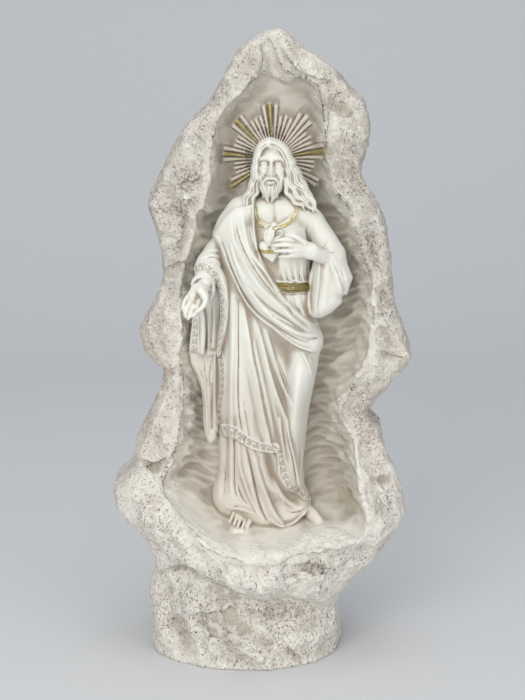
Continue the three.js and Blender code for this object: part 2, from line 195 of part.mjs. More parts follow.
    limbs: [
      ['forearm R', [44.1, 258.1, 5.6, 9, 9], [38.7, 260.9, 5, 17, 7.5], [33.6, 263.7, 4.4, 23, 6.2], [29.5, 266, 4.5, 27, 4.8]],
      ['hand R', [29.7, 266, 4.7, 27, 4.4], [25.7, 267.4, 5.4, 28.5, 4], [21.7, 268.1, 5.8, 30, 3.5], [19.5, 268.3, 5.6, 30.6, 3]],
    ],
    plates: [
    ],
    folds: [
    ],
    steps: [
    ] },
  { name: 'fingers over the heart', blend: 0.8, join: 0.4,
    limbs: [
      ['index', [20.5, 272.6, 1.5, 30, 2.7], [15.5, 273.8, 1.4, 32.2, 2.4], [11.3, 273.7, 1.2, 32.4, 2.1], [8, 273, 0.9, 31.4, 1.7]],
      ['middle', [20.4, 269.9, 1.6, 31, 2.8], [14.9, 270.7, 1.5, 33.2, 2.5], [10, 270.5, 1.3, 33, 2.2], [6.6, 269.9, 1, 31.8, 1.7]],
      ['ring', [20.5, 266.9, 1.6, 31, 2.8], [15.5, 267.1, 1.4, 33, 2.4], [11, 267, 1.2, 32.8, 2.1], [7.6, 266.5, 0.9, 31.6, 1.7]],
      ['little', [21.1, 263.7, 1.4, 29.6, 2.6], [16.8, 263.6, 1.3, 31.4, 2.2], [12.9, 263.3, 1.1, 31.2, 1.9], [10.3, 262.9, 0.8, 30.4, 1.5]],
      ['thumb', [26, 271.3, 1.9, 30, 3], [21.6, 274.7, 1.6, 32, 2.6], [17.6, 276.3, 1.4, 32, 2.2], [14.6, 276.6, 1, 31.2, 1.7]],
    ],
    plates: [
    ],
    folds: [
    ],
    steps: [
    ] },
  { name: 'heart', blend: 1, join: 0.6,
    limbs: [
      ['lobe L', [1.2, 268.5, 3.3, 21, 5.2], [3.1, 264, 3, 21, 4.8], [5.6, 259.7, 1.1, 20.6, 3.2]],
      ['lobe R', [7.7, 268.5, 3.3, 21, 5.2], [7.3, 264, 2.8, 21, 4.8], [6.2, 259.7, 1.1, 20.6, 3.2]],
    ],
    plates: [
    ],
    folds: [
    ],
    steps: [
    ] },
  { name: 'flame of the heart', blend: 0.7, join: 0.4,
    limbs: [
      ['flame core', [4.3, 270.7, 2.5, 22.5, 3.8], [4.2, 273.8, 2.7, 22.6, 4], [4.9, 276.9, 2.6, 22.6, 3.8], [6.2, 279.7, 2.7, 22.4, 3.4], [7.1, 281.4, 2, 22, 2.6]],
      ['flame left', [2.2, 272.1, 1, 24, 2.2], [1.4, 274.9, 0.9, 24.4, 1.8], [2.3, 278, 0.9, 24.6, 1.6], [4.2, 280.4, 0.7, 24.4, 1.4], [6.4, 281.7, 0.5, 24, 1]],
      ['flame right', [6.8, 271.8, 1.1, 24, 2.2], [8.7, 274, 1, 24.6, 1.8], [11, 275, 0.8, 24.8, 1.5], [12, 276.6, 0.7, 24.6, 1.2], [10.9, 278.3, 0.6, 24.4, 1.1], [9.3, 277.6, 0.5, 24.4, 0.9]],
      ['flame front', [5.1, 272.4, 0.8, 25.4, 1.6], [6.6, 275.4, 0.8, 25.8, 1.5], [6.7, 278.2, 0.8, 25.6, 1.4], [8.6, 279.9, 0.6, 25.2, 1.1], [9.9, 280.9, 0.4, 24.4, 0.8]],
    ],
    plates: [
    ],
    folds: [
    ],
    steps: [
    ] },
  { name: 'outstretched hand', blend: 1.2, join: 0.5,
    limbs: [
      ['wrist L', [-35.5, 246, 3.8, 23, 6], [-37.5, 243, 4.6, 28, 5.6], [-38.7, 240.4, 5.5, 31.5, 5]],
      ['palm', [-39, 241.6, 5.6, 31, 5], [-40.4, 237.8, 6.5, 35, 4.2], [-42, 234.3, 5.7, 38.5, 3.4], [-42.7, 232.3, 4.5, 40, 2.6]],
      ['thumb mound', [-38, 243, 2.7, 35.4, 4], [-35.5, 239.6, 2.4, 37.6, 3.6]],
      ['thumb L', [-35.4, 240.7, 2, 38, 3.4], [-34.7, 237.2, 1.7, 41, 2.9], [-36.5, 233.8, 1.5, 43, 2.5], [-39.4, 231.4, 1.1, 44, 1.9]],
    ],
    plates: [
    ],
    folds: [
      ['palm hollow', 2.6, 2.6, 1, [-39.6, 240.4, -0.8], [-40.9, 237.6, -2], [-41.9, 235, -1.4]],
    ],
    steps: [
    ] },
  { name: 'fingers of the outstretched hand', blend: 0.7, join: 0.4,
    limbs: [
      ['index L', [-39.6, 233.8, 1.4, 40.4, 2.2], [-40.2, 231.2, 1.3, 42.4, 2.1], [-41.5, 229.2, 1.1, 43.6, 1.9], [-43, 228.1, 0.9, 43.4, 1.5]],
      ['middle L', [-42, 234, 1.4, 40.8, 2.2], [-43.5, 230.7, 1.3, 43, 2.1], [-44.6, 228.3, 1.2, 44.4, 1.9], [-45.1, 226.6, 0.9, 44, 1.5]],
      ['ring L', [-44.6, 235.6, 1.4, 40.2, 2.2], [-46.2, 232.5, 1.3, 42.6, 2.1], [-47, 229.8, 1.1, 43.8, 1.9], [-46.8, 227.9, 0.9, 43.4, 1.5]],
      ['little L', [-45.9, 239.4, 1.3, 38.4, 2.1], [-47.6, 236.5, 1.2, 40.8, 2], [-48.4, 233.6, 1.1, 42.2, 1.8], [-48.2, 231.3, 0.8, 42, 1.4]],
    ],
    plates: [
    ],
    folds: [
    ],
    steps: [
    ] },
  { name: 'feet', blend: 1.2, join: 0.6,
    limbs: [
      ['foot L', [-10.3, 99.6, 5, 10, 7], [-12.2, 96.6, 5.5, 16, 6], [-13.3, 94.7, 5.5, 20, 4.6]],
      ['foot R', [25.5, 98.2, 4, 10, 7], [29.3, 96.1, 4.3, 15, 6.6], [32.6, 94.3, 4.3, 19.5, 5.4], [35.2, 92.9, 3.3, 23, 4]],
    ],
    plates: [
    ],
    folds: [
      ['foot L ridge', 1.6, 1.6, 1, [-9.2, 102.8, 0.4], [-9.9, 96.1, 0.5]],
    ],
    steps: [
    ] },
  { name: 'toes', blend: 0.8, join: 0.8,
    limbs: [
      ['toe 0', [-7.4, 94.5, 1.7, 21.5, 2.7], [-8.4, 92.4, 1.6, 24.6, 2.7], [-9.7, 90.1, 1.4, 27.6, 2.2]],
      ['toe 1', [-10.6, 95.2, 1.1, 21.5, 1.8], [-11.5, 92.3, 1.1, 24.6, 1.8], [-12.8, 89.4, 0.9, 27.6, 1.4]],
      ['toe 2', [-13.4, 95.9, 1.1, 21.5, 1.8], [-14.4, 93.1, 1.1, 24.6, 1.8], [-15.7, 90.3, 0.9, 27.6, 1.4]],
      ['toe 3', [-15.9, 96.4, 1.1, 21.5, 1.7], [-16.8, 94, 1, 24.6, 1.7], [-18, 91.5, 0.9, 27.6, 1.4]],
      ['toe 4', [-18.5, 96.9, 1, 21.5, 1.6], [-19.6, 95.1, 1, 24.6, 1.6], [-20.9, 93.2, 0.8, 27.6, 1.3]],
      ['right toe 0', [37, 93.8, 1, 22.6, 1.5], [38, 92.7, 0.9, 24.2, 1.3]],
      ['right toe 1', [35.1, 93.3, 1, 23, 1.4], [35.9, 92, 0.9, 24.6, 1.2]],
      ['right toe 2', [33.2, 92.7, 0.9, 23.4, 1.4], [33.9, 91.3, 0.8, 25, 1.1]],
    ],
    plates: [
    ],
    folds: [
    ],
    steps: [
    ] },
  { name: 'head', blend: 3, join: 1,
    limbs: [
      ['skull', [5.6, 323.6, 9.8, 3, 12], [5.4, 317.6, 9.5, 4, 12.6], [5.1, 310.6, 8.3, 5, 11.8], [5, 305.6, 6.4, 6, 10.4]],
      ['brow', [-1, 321.4, 2.6, 11, 3.6], [5.5, 321.6, 2.8, 12.4, 3.6], [12, 321, 2.6, 11, 3.6]],
      ['cheek 1', [10.6, 314.8, 3.2, 10.4, 4.4], [10.1, 310.9, 3, 10, 4.4]],
      ['cheek 2', [0, 315.2, 3.2, 10.4, 4.4], [0.1, 311.3, 3, 10, 4.4]],
      ['jaw', [-1.5, 309.3, 2.6, 8, 5], [0.3, 304.3, 3, 10, 5], [4.8, 301.6, 3.4, 11.4, 5.2], [9.5, 303.9, 3, 10, 5], [11.7, 308.9, 2.6, 8, 5]],
    ],
    plates: [
    ],
    folds: [
      ['nose bridge', 2.1, 2.1, 0.8, [5.5, 322, 0.3], [5.4, 319.6, 1.3], [5.3, 316.1, 2.6], [5.2, 313.6, 3.6], [5.2, 312.2, 3.4], [5.2, 311.4, 1.4]],
      ['nose tip', 2, 2, 1, [5.2, 313.4, 0.2], [5.2, 312.4, 1.2]],
      ['socket -1', 2.9, 2.9, 1, [2.9, 318.9, -2.3], [1, 319.1, -2.2], [-1.5, 318.6, -1]],
      ['eyeball -1', 1.8, 1.8, 1, [2, 318.2, 1.5], [0.2, 318.3, 1.5]],
      ['nose side -1', 1.8, 1.8, 1, [3.4, 319.3, -0.6], [2.9, 316.7, -0.9], [2.2, 313.5, -0.8], [2, 311.7, -0.8]],
      ['cheek line -1', 1.6, 1.6, 0.8, [1.6, 311.7, -0.7], [0.1, 309.8, -0.6]],
      ['moustache -1', 1.7, 1.5, 0.9, [4.8, 310, 1.2], [2.9, 309.5, 2.1], [0.9, 307.8, 1.9], [-0.3, 305.2, 1.1], [-0.7, 303.2, 0.3]],
      ['beard edge -1', 1.8, 1.2, 0.8, [-2.7, 315.5, 0.3], [-2.4, 312.4, 0.9], [-1.5, 309.3, 1.1], [-0.9, 306.8, 0.9]],
      ['socket 1', 2.9, 2.9, 1, [7.9, 318.7, -2.3], [9.8, 318.9, -2.2], [12.3, 318.2, -1]],
      ['eyeball 1', 1.8, 1.8, 1, [8.8, 318, 1.5], [10.6, 317.9, 1.5]],
      ['nose side 1', 1.8, 1.8, 1, [7.4, 319.1, -0.6], [7.7, 316.5, -0.9], [8.2, 313.3, -0.8], [8.3, 311.5, -0.8]],
      ['cheek line 1', 1.6, 1.6, 0.8, [8.8, 311.5, -0.7], [10.1, 309.4, -0.6]],
      ['moustache 1', 1.7, 1.5, 0.9, [5.4, 310, 1.2], [7.3, 309.3, 2.1], [9.1, 307.5, 1.9], [10.1, 304.8, 1.1], [10.4, 302.8, 0.3]],
      ['beard edge 1', 1.8, 1.2, 0.8, [13.3, 314.9, 0.3], [12.8, 311.8, 0.9], [11.7, 308.9, 1.1], [10.9, 306.4, 0.9]],
    ],
    steps: [
    ] },
  { name: 'beard', blend: 0.9, join: 0.5,
    limbs: [
      ['beard tuft -1 0', [3.3, 302.2, 1.6, 11.3, 4.2], [2.8, 299.6, 1.9, 12, 3.9], [3, 297.2, 1.4, 12.2, 3], [3.6, 295.2, 0.4, 12.4, 1.4]],
      ['beard tuft -1 1', [0.9, 303.6, 1.6, 9.7, 3.9], [1.2, 301.3, 1.9, 10.3, 3.6], [0.9, 299.2, 1.4, 10.5, 2.7], [0.2, 297.5, 0.4, 10.7, 1.4]],
      ['beard tuft -1 2', [-1, 306.8, 1.4, 7.5, 3.6], [-0.5, 304.8, 1.7, 8.1, 3.3], [-0.9, 302.9, 1.2, 8.3, 2.4], [-1.9, 301.4, 0.4, 8.5, 1.4]],
      ['beard tuft -1 3', [-2.1, 310.9, 1.3, 5.7, 3.3], [-1.5, 309.1, 1.5, 6.3, 3], [-1.9, 307.4, 1.1, 6.5, 2.1], [-3, 306.1, 0.3, 6.7, 1.4]],
      ['beard tuft 1 0', [6.3, 302.1, 1.6, 11.3, 4.2], [6.7, 299.5, 1.9, 12, 3.9], [6.3, 297.1, 1.4, 12.2, 3], [5.5, 295.2, 0.4, 12.4, 1.4]],
      ['beard tuft 1 1', [8.9, 303.3, 1.6, 9.7, 3.9], [8.4, 301, 1.9, 10.3, 3.6], [8.6, 298.9, 1.4, 10.5, 2.7], [9.1, 297.2, 0.4, 10.7, 1.4]],
      ['beard tuft 1 2', [11, 306.4, 1.4, 7.5, 3.6], [10.3, 304.4, 1.7, 8.1, 3.3], [10.6, 302.5, 1.2, 8.3, 2.4], [11.5, 301, 0.4, 8.5, 1.4]],
      ['beard tuft 1 3', [12.3, 310.4, 1.3, 5.7, 3.3], [11.7, 308.6, 1.5, 6.3, 3], [12, 306.9, 1.1, 6.5, 2.1], [12.9, 305.6, 0.3, 6.7, 1.4]],
    ],
    plates: [
    ],
    folds: [
    ],
    steps: [
    ] },
  { name: 'hair', blend: 1.4, join: 0.6,
    limbs: [
      ['crown left', [3.4, 331.3, 2.8, 4, 10], [1.5, 330.5, 2.9, 4, 10.3], [-0.2, 329.2, 2.9, 4, 10.6], [-1.5, 327, 2.9, 4, 10.9], [-2.6, 324.2, 2.9, 4.1, 11.1], [-3.3, 321.3, 2.8, 4.2, 11.1], [-3.9, 318.1, 2.6, 4.5, 10.9], [-4.2, 314.5, 2.5, 4.8, 10.5], [-4.3, 310.8, 2.4, 5, 10]],
      ['crown right', [4.6, 331.4, 2.8, 4, 10], [7.1, 330.7, 3, 4, 10.3], [9.5, 329.7, 3.2, 4, 10.6], [11.7, 328, 3.3, 4, 10.9], [13.7, 325.8, 3.4, 4.1, 11.1], [15, 323.3, 3.4, 4.2, 11.1], [16, 320.5, 3.3, 4.5, 10.9], [16.7, 317.3, 3.2, 4.8, 10.5], [17.3, 313.9, 3, 5, 10]],
      ['mass right', [17.1, 315.6, 3.7, 3, 8.6], [18.6, 311.9, 4, 3.8, 8.4], [20.3, 308.4, 4.3, 4.5, 8.1], [22.1, 305.2, 4.3, 5.2, 7.8], [24, 302.3, 4.2, 6, 7.3], [25.9, 299.7, 3.8, 6.8, 6.7], [27.8, 297.3, 3.2, 7.5, 5.9], [29.5, 294.8, 2.4, 8.1, 5], [31.2, 292.3, 1.6, 8.6, 4]],
      ['mass right inner', [16.2, 310.8, 2.4, 6, 7.5], [17.1, 307.5, 2.6, 7, 7.2], [18.2, 304.3, 2.7, 8, 6.8], [19.8, 301.4, 2.6, 8.8, 6.3], [21.8, 298.9, 2.4, 9.5, 5.8], [23.9, 296.7, 2.1, 10.1, 5.2], [26.1, 294.7, 1.8, 10.6, 4.6]],
      ['mass left', [-4.4, 315.6, 2.6, 3, 8.5], [-4.8, 310.7, 2.7, 3.8, 8], [-5.5, 306.1, 2.7, 4.8, 7.4], [-6.7, 302.2, 2.6, 6.2, 6.8], [-8.1, 298.7, 2.4, 8.1, 6], [-9.2, 295.6, 2.1, 10.2, 5.3], [-10.1, 292.7, 1.7, 12.5, 4.6]],
      ['crown back', [4.7, 326.9, 7, 1, 9.5], [4.7, 324.6, 8.2, 1, 10.2], [4.7, 322.1, 9.3, 0.9, 10.8], [4.7, 318.9, 9.9, 0.5, 11], [4.7, 315.5, 10.4, 0, 11]],
      ['brow sweep left', [3.1, 329.4, 1.3, 10, 4.4], [1.3, 328.5, 1.6, 10.1, 4.5], [-0.2, 327.3, 1.8, 10.1, 4.6], [-1.4, 325.3, 1.9, 9.9, 4.8], [-2.5, 323, 1.9, 9.6, 5.1], [-3.5, 320.2, 1.9, 9.3, 5.5], [-3.5, 317, 1.8, 9.1, 5.9], [-3.6, 313.8, 1.7, 9, 6.2], [-3.7, 310.4, 1.6, 9, 6.5]],
      ['brow sweep right', [4, 329.4, 1.3, 10, 4.4], [5.8, 328.5, 1.6, 10.1, 4.5], [7.7, 327.5, 1.9, 10.1, 4.6], [9.9, 326.3, 2.1, 10, 4.8], [11.6, 324.3, 2.3, 9.8, 5.1], [12.8, 321.8, 2.3, 9.7, 5.5], [14.3, 319.2, 2.3, 9.5, 5.9], [15.3, 316.4, 2.2, 9.2, 6.2], [15.9, 313.4, 2.1, 9, 6.5]],
      ['left lock 1', [-4.5, 315.8, 2.4, 6, 8.5], [-4.5, 312.7, 2.4, 6.5, 8.2], [-4.1, 309.7, 2.4, 7.1, 8], [-5.6, 307, 2.4, 7.8, 7.6], [-6.2, 304.4, 2.4, 8.5, 7.2], [-6.4, 301.5, 2.3, 9.2, 6.7], [-8.3, 299.4, 2.2, 10.2, 6.2], [-9.9, 297.2, 2.1, 11.5, 5.6], [-9.8, 294.5, 2, 13.1, 5], [-10.2, 292.2, 1.8, 15, 4.4], [-11.2, 289.8, 1.6, 16.8, 3.7], [-10.5, 286.9, 1.1, 18.2, 2.8], [-10.1, 283.9, 0.5, 19.5, 1.8]],
      ['left lock 2', [-3, 312.2, 1.7, 8, 7], [-2.6, 309.1, 1.7, 8.5, 6.8], [-3.2, 306.2, 1.8, 9.1, 6.5], [-3.4, 303.4, 1.7, 10, 6.1], [-3.7, 300.6, 1.7, 11.1, 5.6], [-5.5, 298.6, 1.6, 12.2, 5], [-6.2, 296.2, 1.5, 13.6, 4.4], [-6.3, 293.8, 1.3, 15, 3.7], [-7.3, 291.8, 1.1, 16.3, 3], [-7.5, 289.7, 0.8, 17.2, 2.2], [-6.9, 287.8, 0.4, 18, 1.5]],
      ['left lock 3', [-6, 306.4, 1.8, 5, 7], [-7.1, 304, 1.7, 5.5, 6.6], [-7.5, 301.5, 1.7, 6.1, 6.2], [-9.1, 299.7, 1.6, 7, 5.7], [-10.8, 298.1, 1.5, 8.1, 5.2], [-11.2, 295.7, 1.3, 9.5, 4.6], [-11.9, 293.6, 1.1, 10.9, 3.8], [-13, 291.7, 0.8, 12, 2.8], [-13.1, 289.5, 0.4, 13, 1.6]],
      ['right lock 1', [17.8, 318.9, 3.2, 6, 8.5], [18, 315.8, 3.2, 6.2, 8.3], [19.6, 313, 3.2, 6.5, 8.2], [20.1, 310, 3.2, 6.8, 7.9], [20.7, 306.9, 3.1, 7.1, 7.6], [23.2, 305, 3, 7.5, 7.2], [25.3, 303.1, 2.9, 8, 6.8], [26.3, 300.4, 2.7, 8.5, 6.3], [27.7, 298.2, 2.4, 9, 5.8], [30, 296.7, 2.1, 9.5, 5.1], [31.9, 294.5, 1.6, 10, 4.2], [32.5, 291.5, 1.1, 10.5, 3.1], [34, 289, 0.5, 11, 1.8]],
      ['right lock 2', [15.9, 314.7, 2.3, 8.5, 7], [16.5, 311.7, 2.4, 9, 6.8], [16.4, 308.6, 2.4, 9.5, 6.6], [17, 305.5, 2.5, 10, 6.4], [19.3, 303.3, 2.5, 10.5, 6.2], [20.2, 300.4, 2.5, 11, 5.8], [21.9, 297.9, 2.4, 11.4, 5.4], [24.7, 297.1, 2.2, 11.8, 5], [26.7, 295.4, 1.9, 12, 4.5], [27.8, 293.2, 1.6, 12.2, 3.9], [29.2, 291.8, 1.2, 12.4, 3.2], [31, 290.5, 0.8, 12.5, 2.3], [31.7, 288.6, 0.4, 12.5, 1.4]],
      ['right lock 3', [14.3, 309.1, 1.6, 9, 6.4], [14.5, 306.4, 1.7, 9.8, 6.2], [15.1, 303.8, 1.8, 10.5, 5.9], [15.1, 301, 1.8, 11.2, 5.6], [17.2, 299.1, 1.8, 11.9, 5.2], [18.8, 297.3, 1.7, 12.5, 4.8], [20, 294.9, 1.6, 12.9, 4.4], [22.2, 294, 1.4, 13.2, 3.8], [24.2, 293.4, 1.1, 13.4, 3.1], [25.2, 291.8, 0.7, 13.5, 2.3], [26, 290.4, 0.4, 13.5, 1.4]],
      ['right lock 4', [20.8, 314.9, 1.9, 3, 7], [22.4, 312.7, 1.9, 3.2, 6.7], [23.4, 310.3, 1.8, 3.6, 6.4], [24.2, 307.9, 1.7, 4, 6], [26, 306, 1.6, 4.6, 5.5], [26.7, 303.9, 1.4, 5.2, 5], [27.6, 301.9, 1.2, 5.9, 4.2], [29.3, 300.7, 0.8, 6.5, 3.2], [30.5, 299.3, 0.5, 7, 2]],
    ],
    plates: [
    ],
    folds: [
    ],
    steps: [
    ] },
];

// ---------- small maths ----------
const clamp = (v, a, b) => Math.min(b, Math.max(a, v));
const smin = (a, b, k) => { const h = Math.max(k - Math.abs(a - b), 0) / k; return Math.min(a, b) - h * h * k * 0.25; };
const smax = (a, b, k) => -smin(-a, -b, k);
const smooth = (a, b, x) => { const t = clamp((x - a) / (b - a), 0, 1); return t * t * (3 - 2 * t); };
function table(rows, z, c) {
  const up = rows[0][0] < rows[rows.length - 1][0] ? rows : rows.slice().reverse();
  if (z <= up[0][0]) return up[0][c];
  for (let i = 1; i < up.length; i++) if (z <= up[i][0]) {
    const t = (z - up[i - 1][0]) / (up[i][0] - up[i - 1][0]); return up[i - 1][c] + t * (up[i][c] - up[i - 1][c]);
  }
  return up[up.length - 1][c];
}
function curve(rows, n) {
  if (rows.length < 3) return Array.from({ length: n + 1 }, (_, i) => rows[0].map((v, c) => v + (rows[rows.length - 1][c] - v) * i / n));
  const q = [rows[0].map((v, c) => 2 * v - rows[1][c]), ...rows, rows[rows.length - 1].map((v, c) => 2 * v - rows[rows.length - 2][c])];
  const out = [];
  for (let i = 1; i < q.length - 2; i++) for (let j = 0; j < n; j++) {
    const t = j / n, a = q[i - 1], b = q[i], c = q[i + 1], d = q[i + 2];
    out.push(b.map((v, m) => 0.5 * (2 * v + (c[m] - a[m]) * t + (2 * a[m] - 5 * v + 4 * c[m] - d[m]) * t * t + (3 * v - a[m] - 3 * c[m] + d[m]) * t * t * t)));
  }
  out.push(rows[rows.length - 1]); return out;
}
function closed(P, n) {
  const out = [], L = P.length;
  for (let i = 0; i < L; i++) {
    const a = P[(i + L - 1) % L], b = P[i], c = P[(i + 1) % L], d = P[(i + 2) % L];
    for (let j = 0; j < n; j++) { const t = j / n; out.push([0, 1].map((m) => b[m] + 0.3 * ((c[m] - a[m]) * t + (2 * a[m] - 5 * b[m] + 4 * c[m] - d[m]) * t * t + (3 * b[m] - a[m] - 3 * c[m] + d[m]) * t ** 3) + 0.4 * (c[m] - b[m]) * t)); }
  }
  return out;
}
function nearLine(x, z, P, cols) {
  let best = 1e18, side = 0, bi = 0, bt = 0;
  for (let i = 0; i < P.length - 1; i++) {
    const a = P[i], b = P[i + 1], ex = b[0] - a[0], ez = b[1] - a[1];
    const t = clamp(((x - a[0]) * ex + (z - a[1]) * ez) / (ex * ex + ez * ez + 1e-12), 0, 1);
    const dx = x - a[0] - t * ex, dz = z - a[1] - t * ez, d = dx * dx + dz * dz;
    if (d < best) { best = d; side = Math.sign(ex * (z - a[1]) - ez * (x - a[0])); bi = i; bt = t; }
  }
  const r = [Math.sqrt(best), side];
  for (let c = 2; c < cols; c++) r.push(P[bi][c] + bt * (P[bi + 1][c] - P[bi][c]));
  return r;
}
function inside(x, z, P) {
  let best = 1e18, ins = false;
  for (let i = 0; i < P.length; i++) {
    const a = P[i], b = P[(i + 1) % P.length], ex = b[0] - a[0], ez = b[1] - a[1];
    const t = clamp(((x - a[0]) * ex + (z - a[1]) * ez) / (ex * ex + ez * ez + 1e-12), 0, 1);
    const dx = x - a[0] - t * ex, dz = z - a[1] - t * ez; best = Math.min(best, dx * dx + dz * dz);
    if ((a[1] > z) !== (b[1] > z) && x < (b[0] - a[0]) * (z - a[1]) / (b[1] - a[1]) + a[0]) ins = !ins;
  }
  return (ins ? 1 : -1) * Math.sqrt(best);
}

// ---------- rock as two height maps and an outline ----------
const flip = (rows) => rows.map(([z, x]) => [x, z]);
const OUTLINE = closed([...flip(OUT_RIGHT), ...flip(OUT_LEFT).reverse()], 4);
const MOUTH = closed([...flip(MOUTH_RIGHT), ...flip(LIP).reverse(), ...flip(MOUTH_LEFT).reverse()], 4);
function rays(x, z) {
  const dx = x - HALO.x, dz = z - HALO.z, r = Math.hypot(dx, dz), th = Math.atan2(dx, dz) * 180 / Math.PI + HALO.lean;
  const step = th < 0 ? HALO.left : HALO.right, i = Math.round(th / step), u = Math.abs(th / step - i) * 2 / 0.9;
  if (Math.abs(i) > 18 || r < 6 || u >= 1) return 0;
  const long = HALO.side + (HALO.top - HALO.side) * clamp(Math.cos(th * Math.PI / 180), 0, 1);
  const R = (Math.abs(Math.round(i / 3)) % 2 === 0 ? 1 : HALO.short) * long + (i % 3 === 0 ? 0.7 : 0) + 0.5 * Math.sin(i * 2.3);
  if (r > R) return 0;
  const half = step * Math.PI / 360 * r, tip = clamp((R - r) / Math.max(half * 0.9, 0.5), 0, 1);
  return HALO.relief * Math.sqrt(1 - u * u * u) * Math.sqrt(1 - (1 - tip) ** 2);
}
function rockAt(x, z) {
  const xr = table(OUT_RIGHT, z, 1), xl = table(OUT_LEFT, z, 1), c = (xr + xl) / 2, a = (xr - xl) / 2 + 5;
  const q = clamp(Math.abs(x - c) / a, 0, 0.995), zw = z + (50 - table(SKIRT, x, 1)) * smooth(8, 30, z) * (1 - smooth(72, 100, z));
  const front = -RIM_Y + table(SECTION, zw, 1) * Math.sqrt(1 - q ** 2.3), back = -RIM_Y - table(SECTION, z, 2) * (1 - q ** 5) ** (1 / 3);
  const d = inside(x, z, OUTLINE), n = inside(x, z, MOUTH);
  let h = front;
  if (n > 0) {
    const e = table([[80, 9], [110, 18], [140, 24], [250, 24], [300, 16], [380, 8]], z, 1), t = clamp(n / e, 0, 1), s = 1 - (1 - t) ** 2;
    const hollow = Math.min(smax(table(WALL, z, 1), (101 - z) / 0.33 - 10, 18), front);
    h = front * (1 - s) + hollow * s;
  }
  return [h + rays(x, z), back, d, n];
}

// ---------- broken faces of the rock: shallow hollows that meet in ridges ----------
function hash(i, j, k, s) {
  let h = Math.imul(i, 374761393) ^ Math.imul(j, 668265263) ^ Math.imul(k, 1274126177) ^ Math.imul(s, 1442695041);
  h = Math.imul(h ^ (h >>> 13), 1103515245); h = Math.imul(h ^ (h >>> 15), 374761393); return ((h ^ (h >>> 16)) >>> 0) / 4294967296;
}
function facets(x, y, z, size, seed) {
  const X = x / size, Y = y / size, Z = z / size, i0 = Math.floor(X), j0 = Math.floor(Y), k0 = Math.floor(Z);
  let best = 1e9;
  for (let i = i0 - 1; i <= i0 + 1; i++) for (let j = j0 - 1; j <= j0 + 1; j++) for (let k = k0 - 1; k <= k0 + 1; k++) {
    const dx = X - i - hash(i, j, k, seed), dy = Y - j - hash(i, j, k, seed + 1), dz = Z - k - hash(i, j, k, seed + 2);
    const v = (dx * dx + dy * dy + dz * dz) * 0.30 + (hash(i, j, k, seed + 3) - 0.5) * 0.36 * dx + (hash(i, j, k, seed + 4) - 0.5) * 0.36 * dy
      + (hash(i, j, k, seed + 5) - 0.5) * 0.36 * dz + 0.05 * hash(i, j, k, seed + 6);
    if (v < best) best = v;
  }
  return (best - 0.13) * size;
}

// ---------- ridges, grooves and steps that lie on a surface, added to a height map of W x T cells from (i0, k0) ----------
function addFolds(map, W, T, i0, k0, folds) {
  for (const [, wl, wr, crest, ...rows] of folds) {
    const P = curve(rows, 6), w = Math.max(wl, wr), xs = P.map((p) => p[0]), zs = P.map((p) => p[1]);
    const a0 = Math.min(...xs) - w, a1 = Math.max(...xs) + w, b0 = Math.min(...zs) - w, b1 = Math.max(...zs) + w;
    for (let k = 0; k < T; k++) { const z = pz(k + k0); if (z < b0 || z > b1) continue;
      for (let i = 0; i < W; i++) { const x = px(i + i0); if (x < a0 || x > a1) continue;
        const [d, side, a] = nearLine(x, z, P, 3), u = clamp(d / (side > 0 ? wl : wr), 0, 1);
        map[k * W + i] += a * (1 - u) * (1 - u) * (1 + 2 * crest * u);
      } }
  }
}
function addSteps(map, W, T, i0, k0, steps) {
  for (const [, rise, edge, outline] of steps) {
    const P = closed(outline, 3), xs = P.map((p) => p[0]), zs = P.map((p) => p[1]);
    const a0 = Math.min(...xs) - 3, a1 = Math.max(...xs) + 3, b0 = Math.min(...zs) - 3, b1 = Math.max(...zs) + 3;
    for (let k = 0; k < T; k++) { const z = pz(k + k0); if (z < b0 || z > b1) continue;
      for (let i = 0; i < W; i++) { const x = px(i + i0); if (x < a0 || x > a1) continue;
        const d = inside(x, z, P); map[k * W + i] += rise * smooth(-0.5 * edge, 0.5 * edge, d) + 0.3 * rise * clamp(1 - Math.abs(d - 0.9 * edge) / (1.1 * edge), 0, 1) ** 2;
      } }
  }
}

// ---------- the field on a grid; h is the distance towards the viewer, h = -y ----------
const X0 = -104, X1 = 104, H0 = -58, H1 = 72, Z0 = -13.5, Z1 = 410;
const NX = Math.round((X1 - X0) / CELL), NH = Math.round((H1 - H0) / CELL), NZ = Math.round((Z1 - Z0) / CELL);
const at = (i, j, k) => (k * NX + i) * NH + j;
const px = (i) => X0 + i * CELL, ph = (j) => H0 + j * CELL, pz = (k) => Z0 + k * CELL;
const field = new Float32Array(NX * NH * NZ).fill(20), figureField = new Float32Array(NX * NH * NZ).fill(20);
const mouth = new Float32Array(NX * NZ), edgeOf = new Float32Array(NX * NZ);
{
  const H = new Float32Array(NX * NZ), B = new Float32Array(NX * NZ), D = new Float32Array(NX * NZ);
  for (let k = 0; k < NZ; k++) for (let i = 0; i < NX; i++) {
    const [h, b, d, n] = rockAt(px(i), pz(k)), m = k * NX + i; H[m] = h; B[m] = b; D[m] = d; edgeOf[m] = d; mouth[m] = n;
  }
  addFolds(H, NX, NZ, 0, 0, ROCK_RELIEF);
  for (let k = 0; k < NZ; k++) for (let i = 0; i < NX; i++) {
    const m = k * NX + i, gx = (H[k * NX + Math.min(i + 1, NX - 1)] - H[k * NX + Math.max(i - 1, 0)]) / (2 * CELL);
    const gz = (H[Math.min(k + 1, NZ - 1) * NX + i] - H[Math.max(k - 1, 0) * NX + i]) / (2 * CELL), c = 1 / Math.sqrt(1 + Math.min(gx * gx + gz * gz, 9));
    for (let j = 0; j < NH; j++) field[at(i, j, k)] = smax(smax((ph(j) - H[m]) * c, (B[m] - ph(j)) * 0.8, 4), -D[m], 6);
  }
}
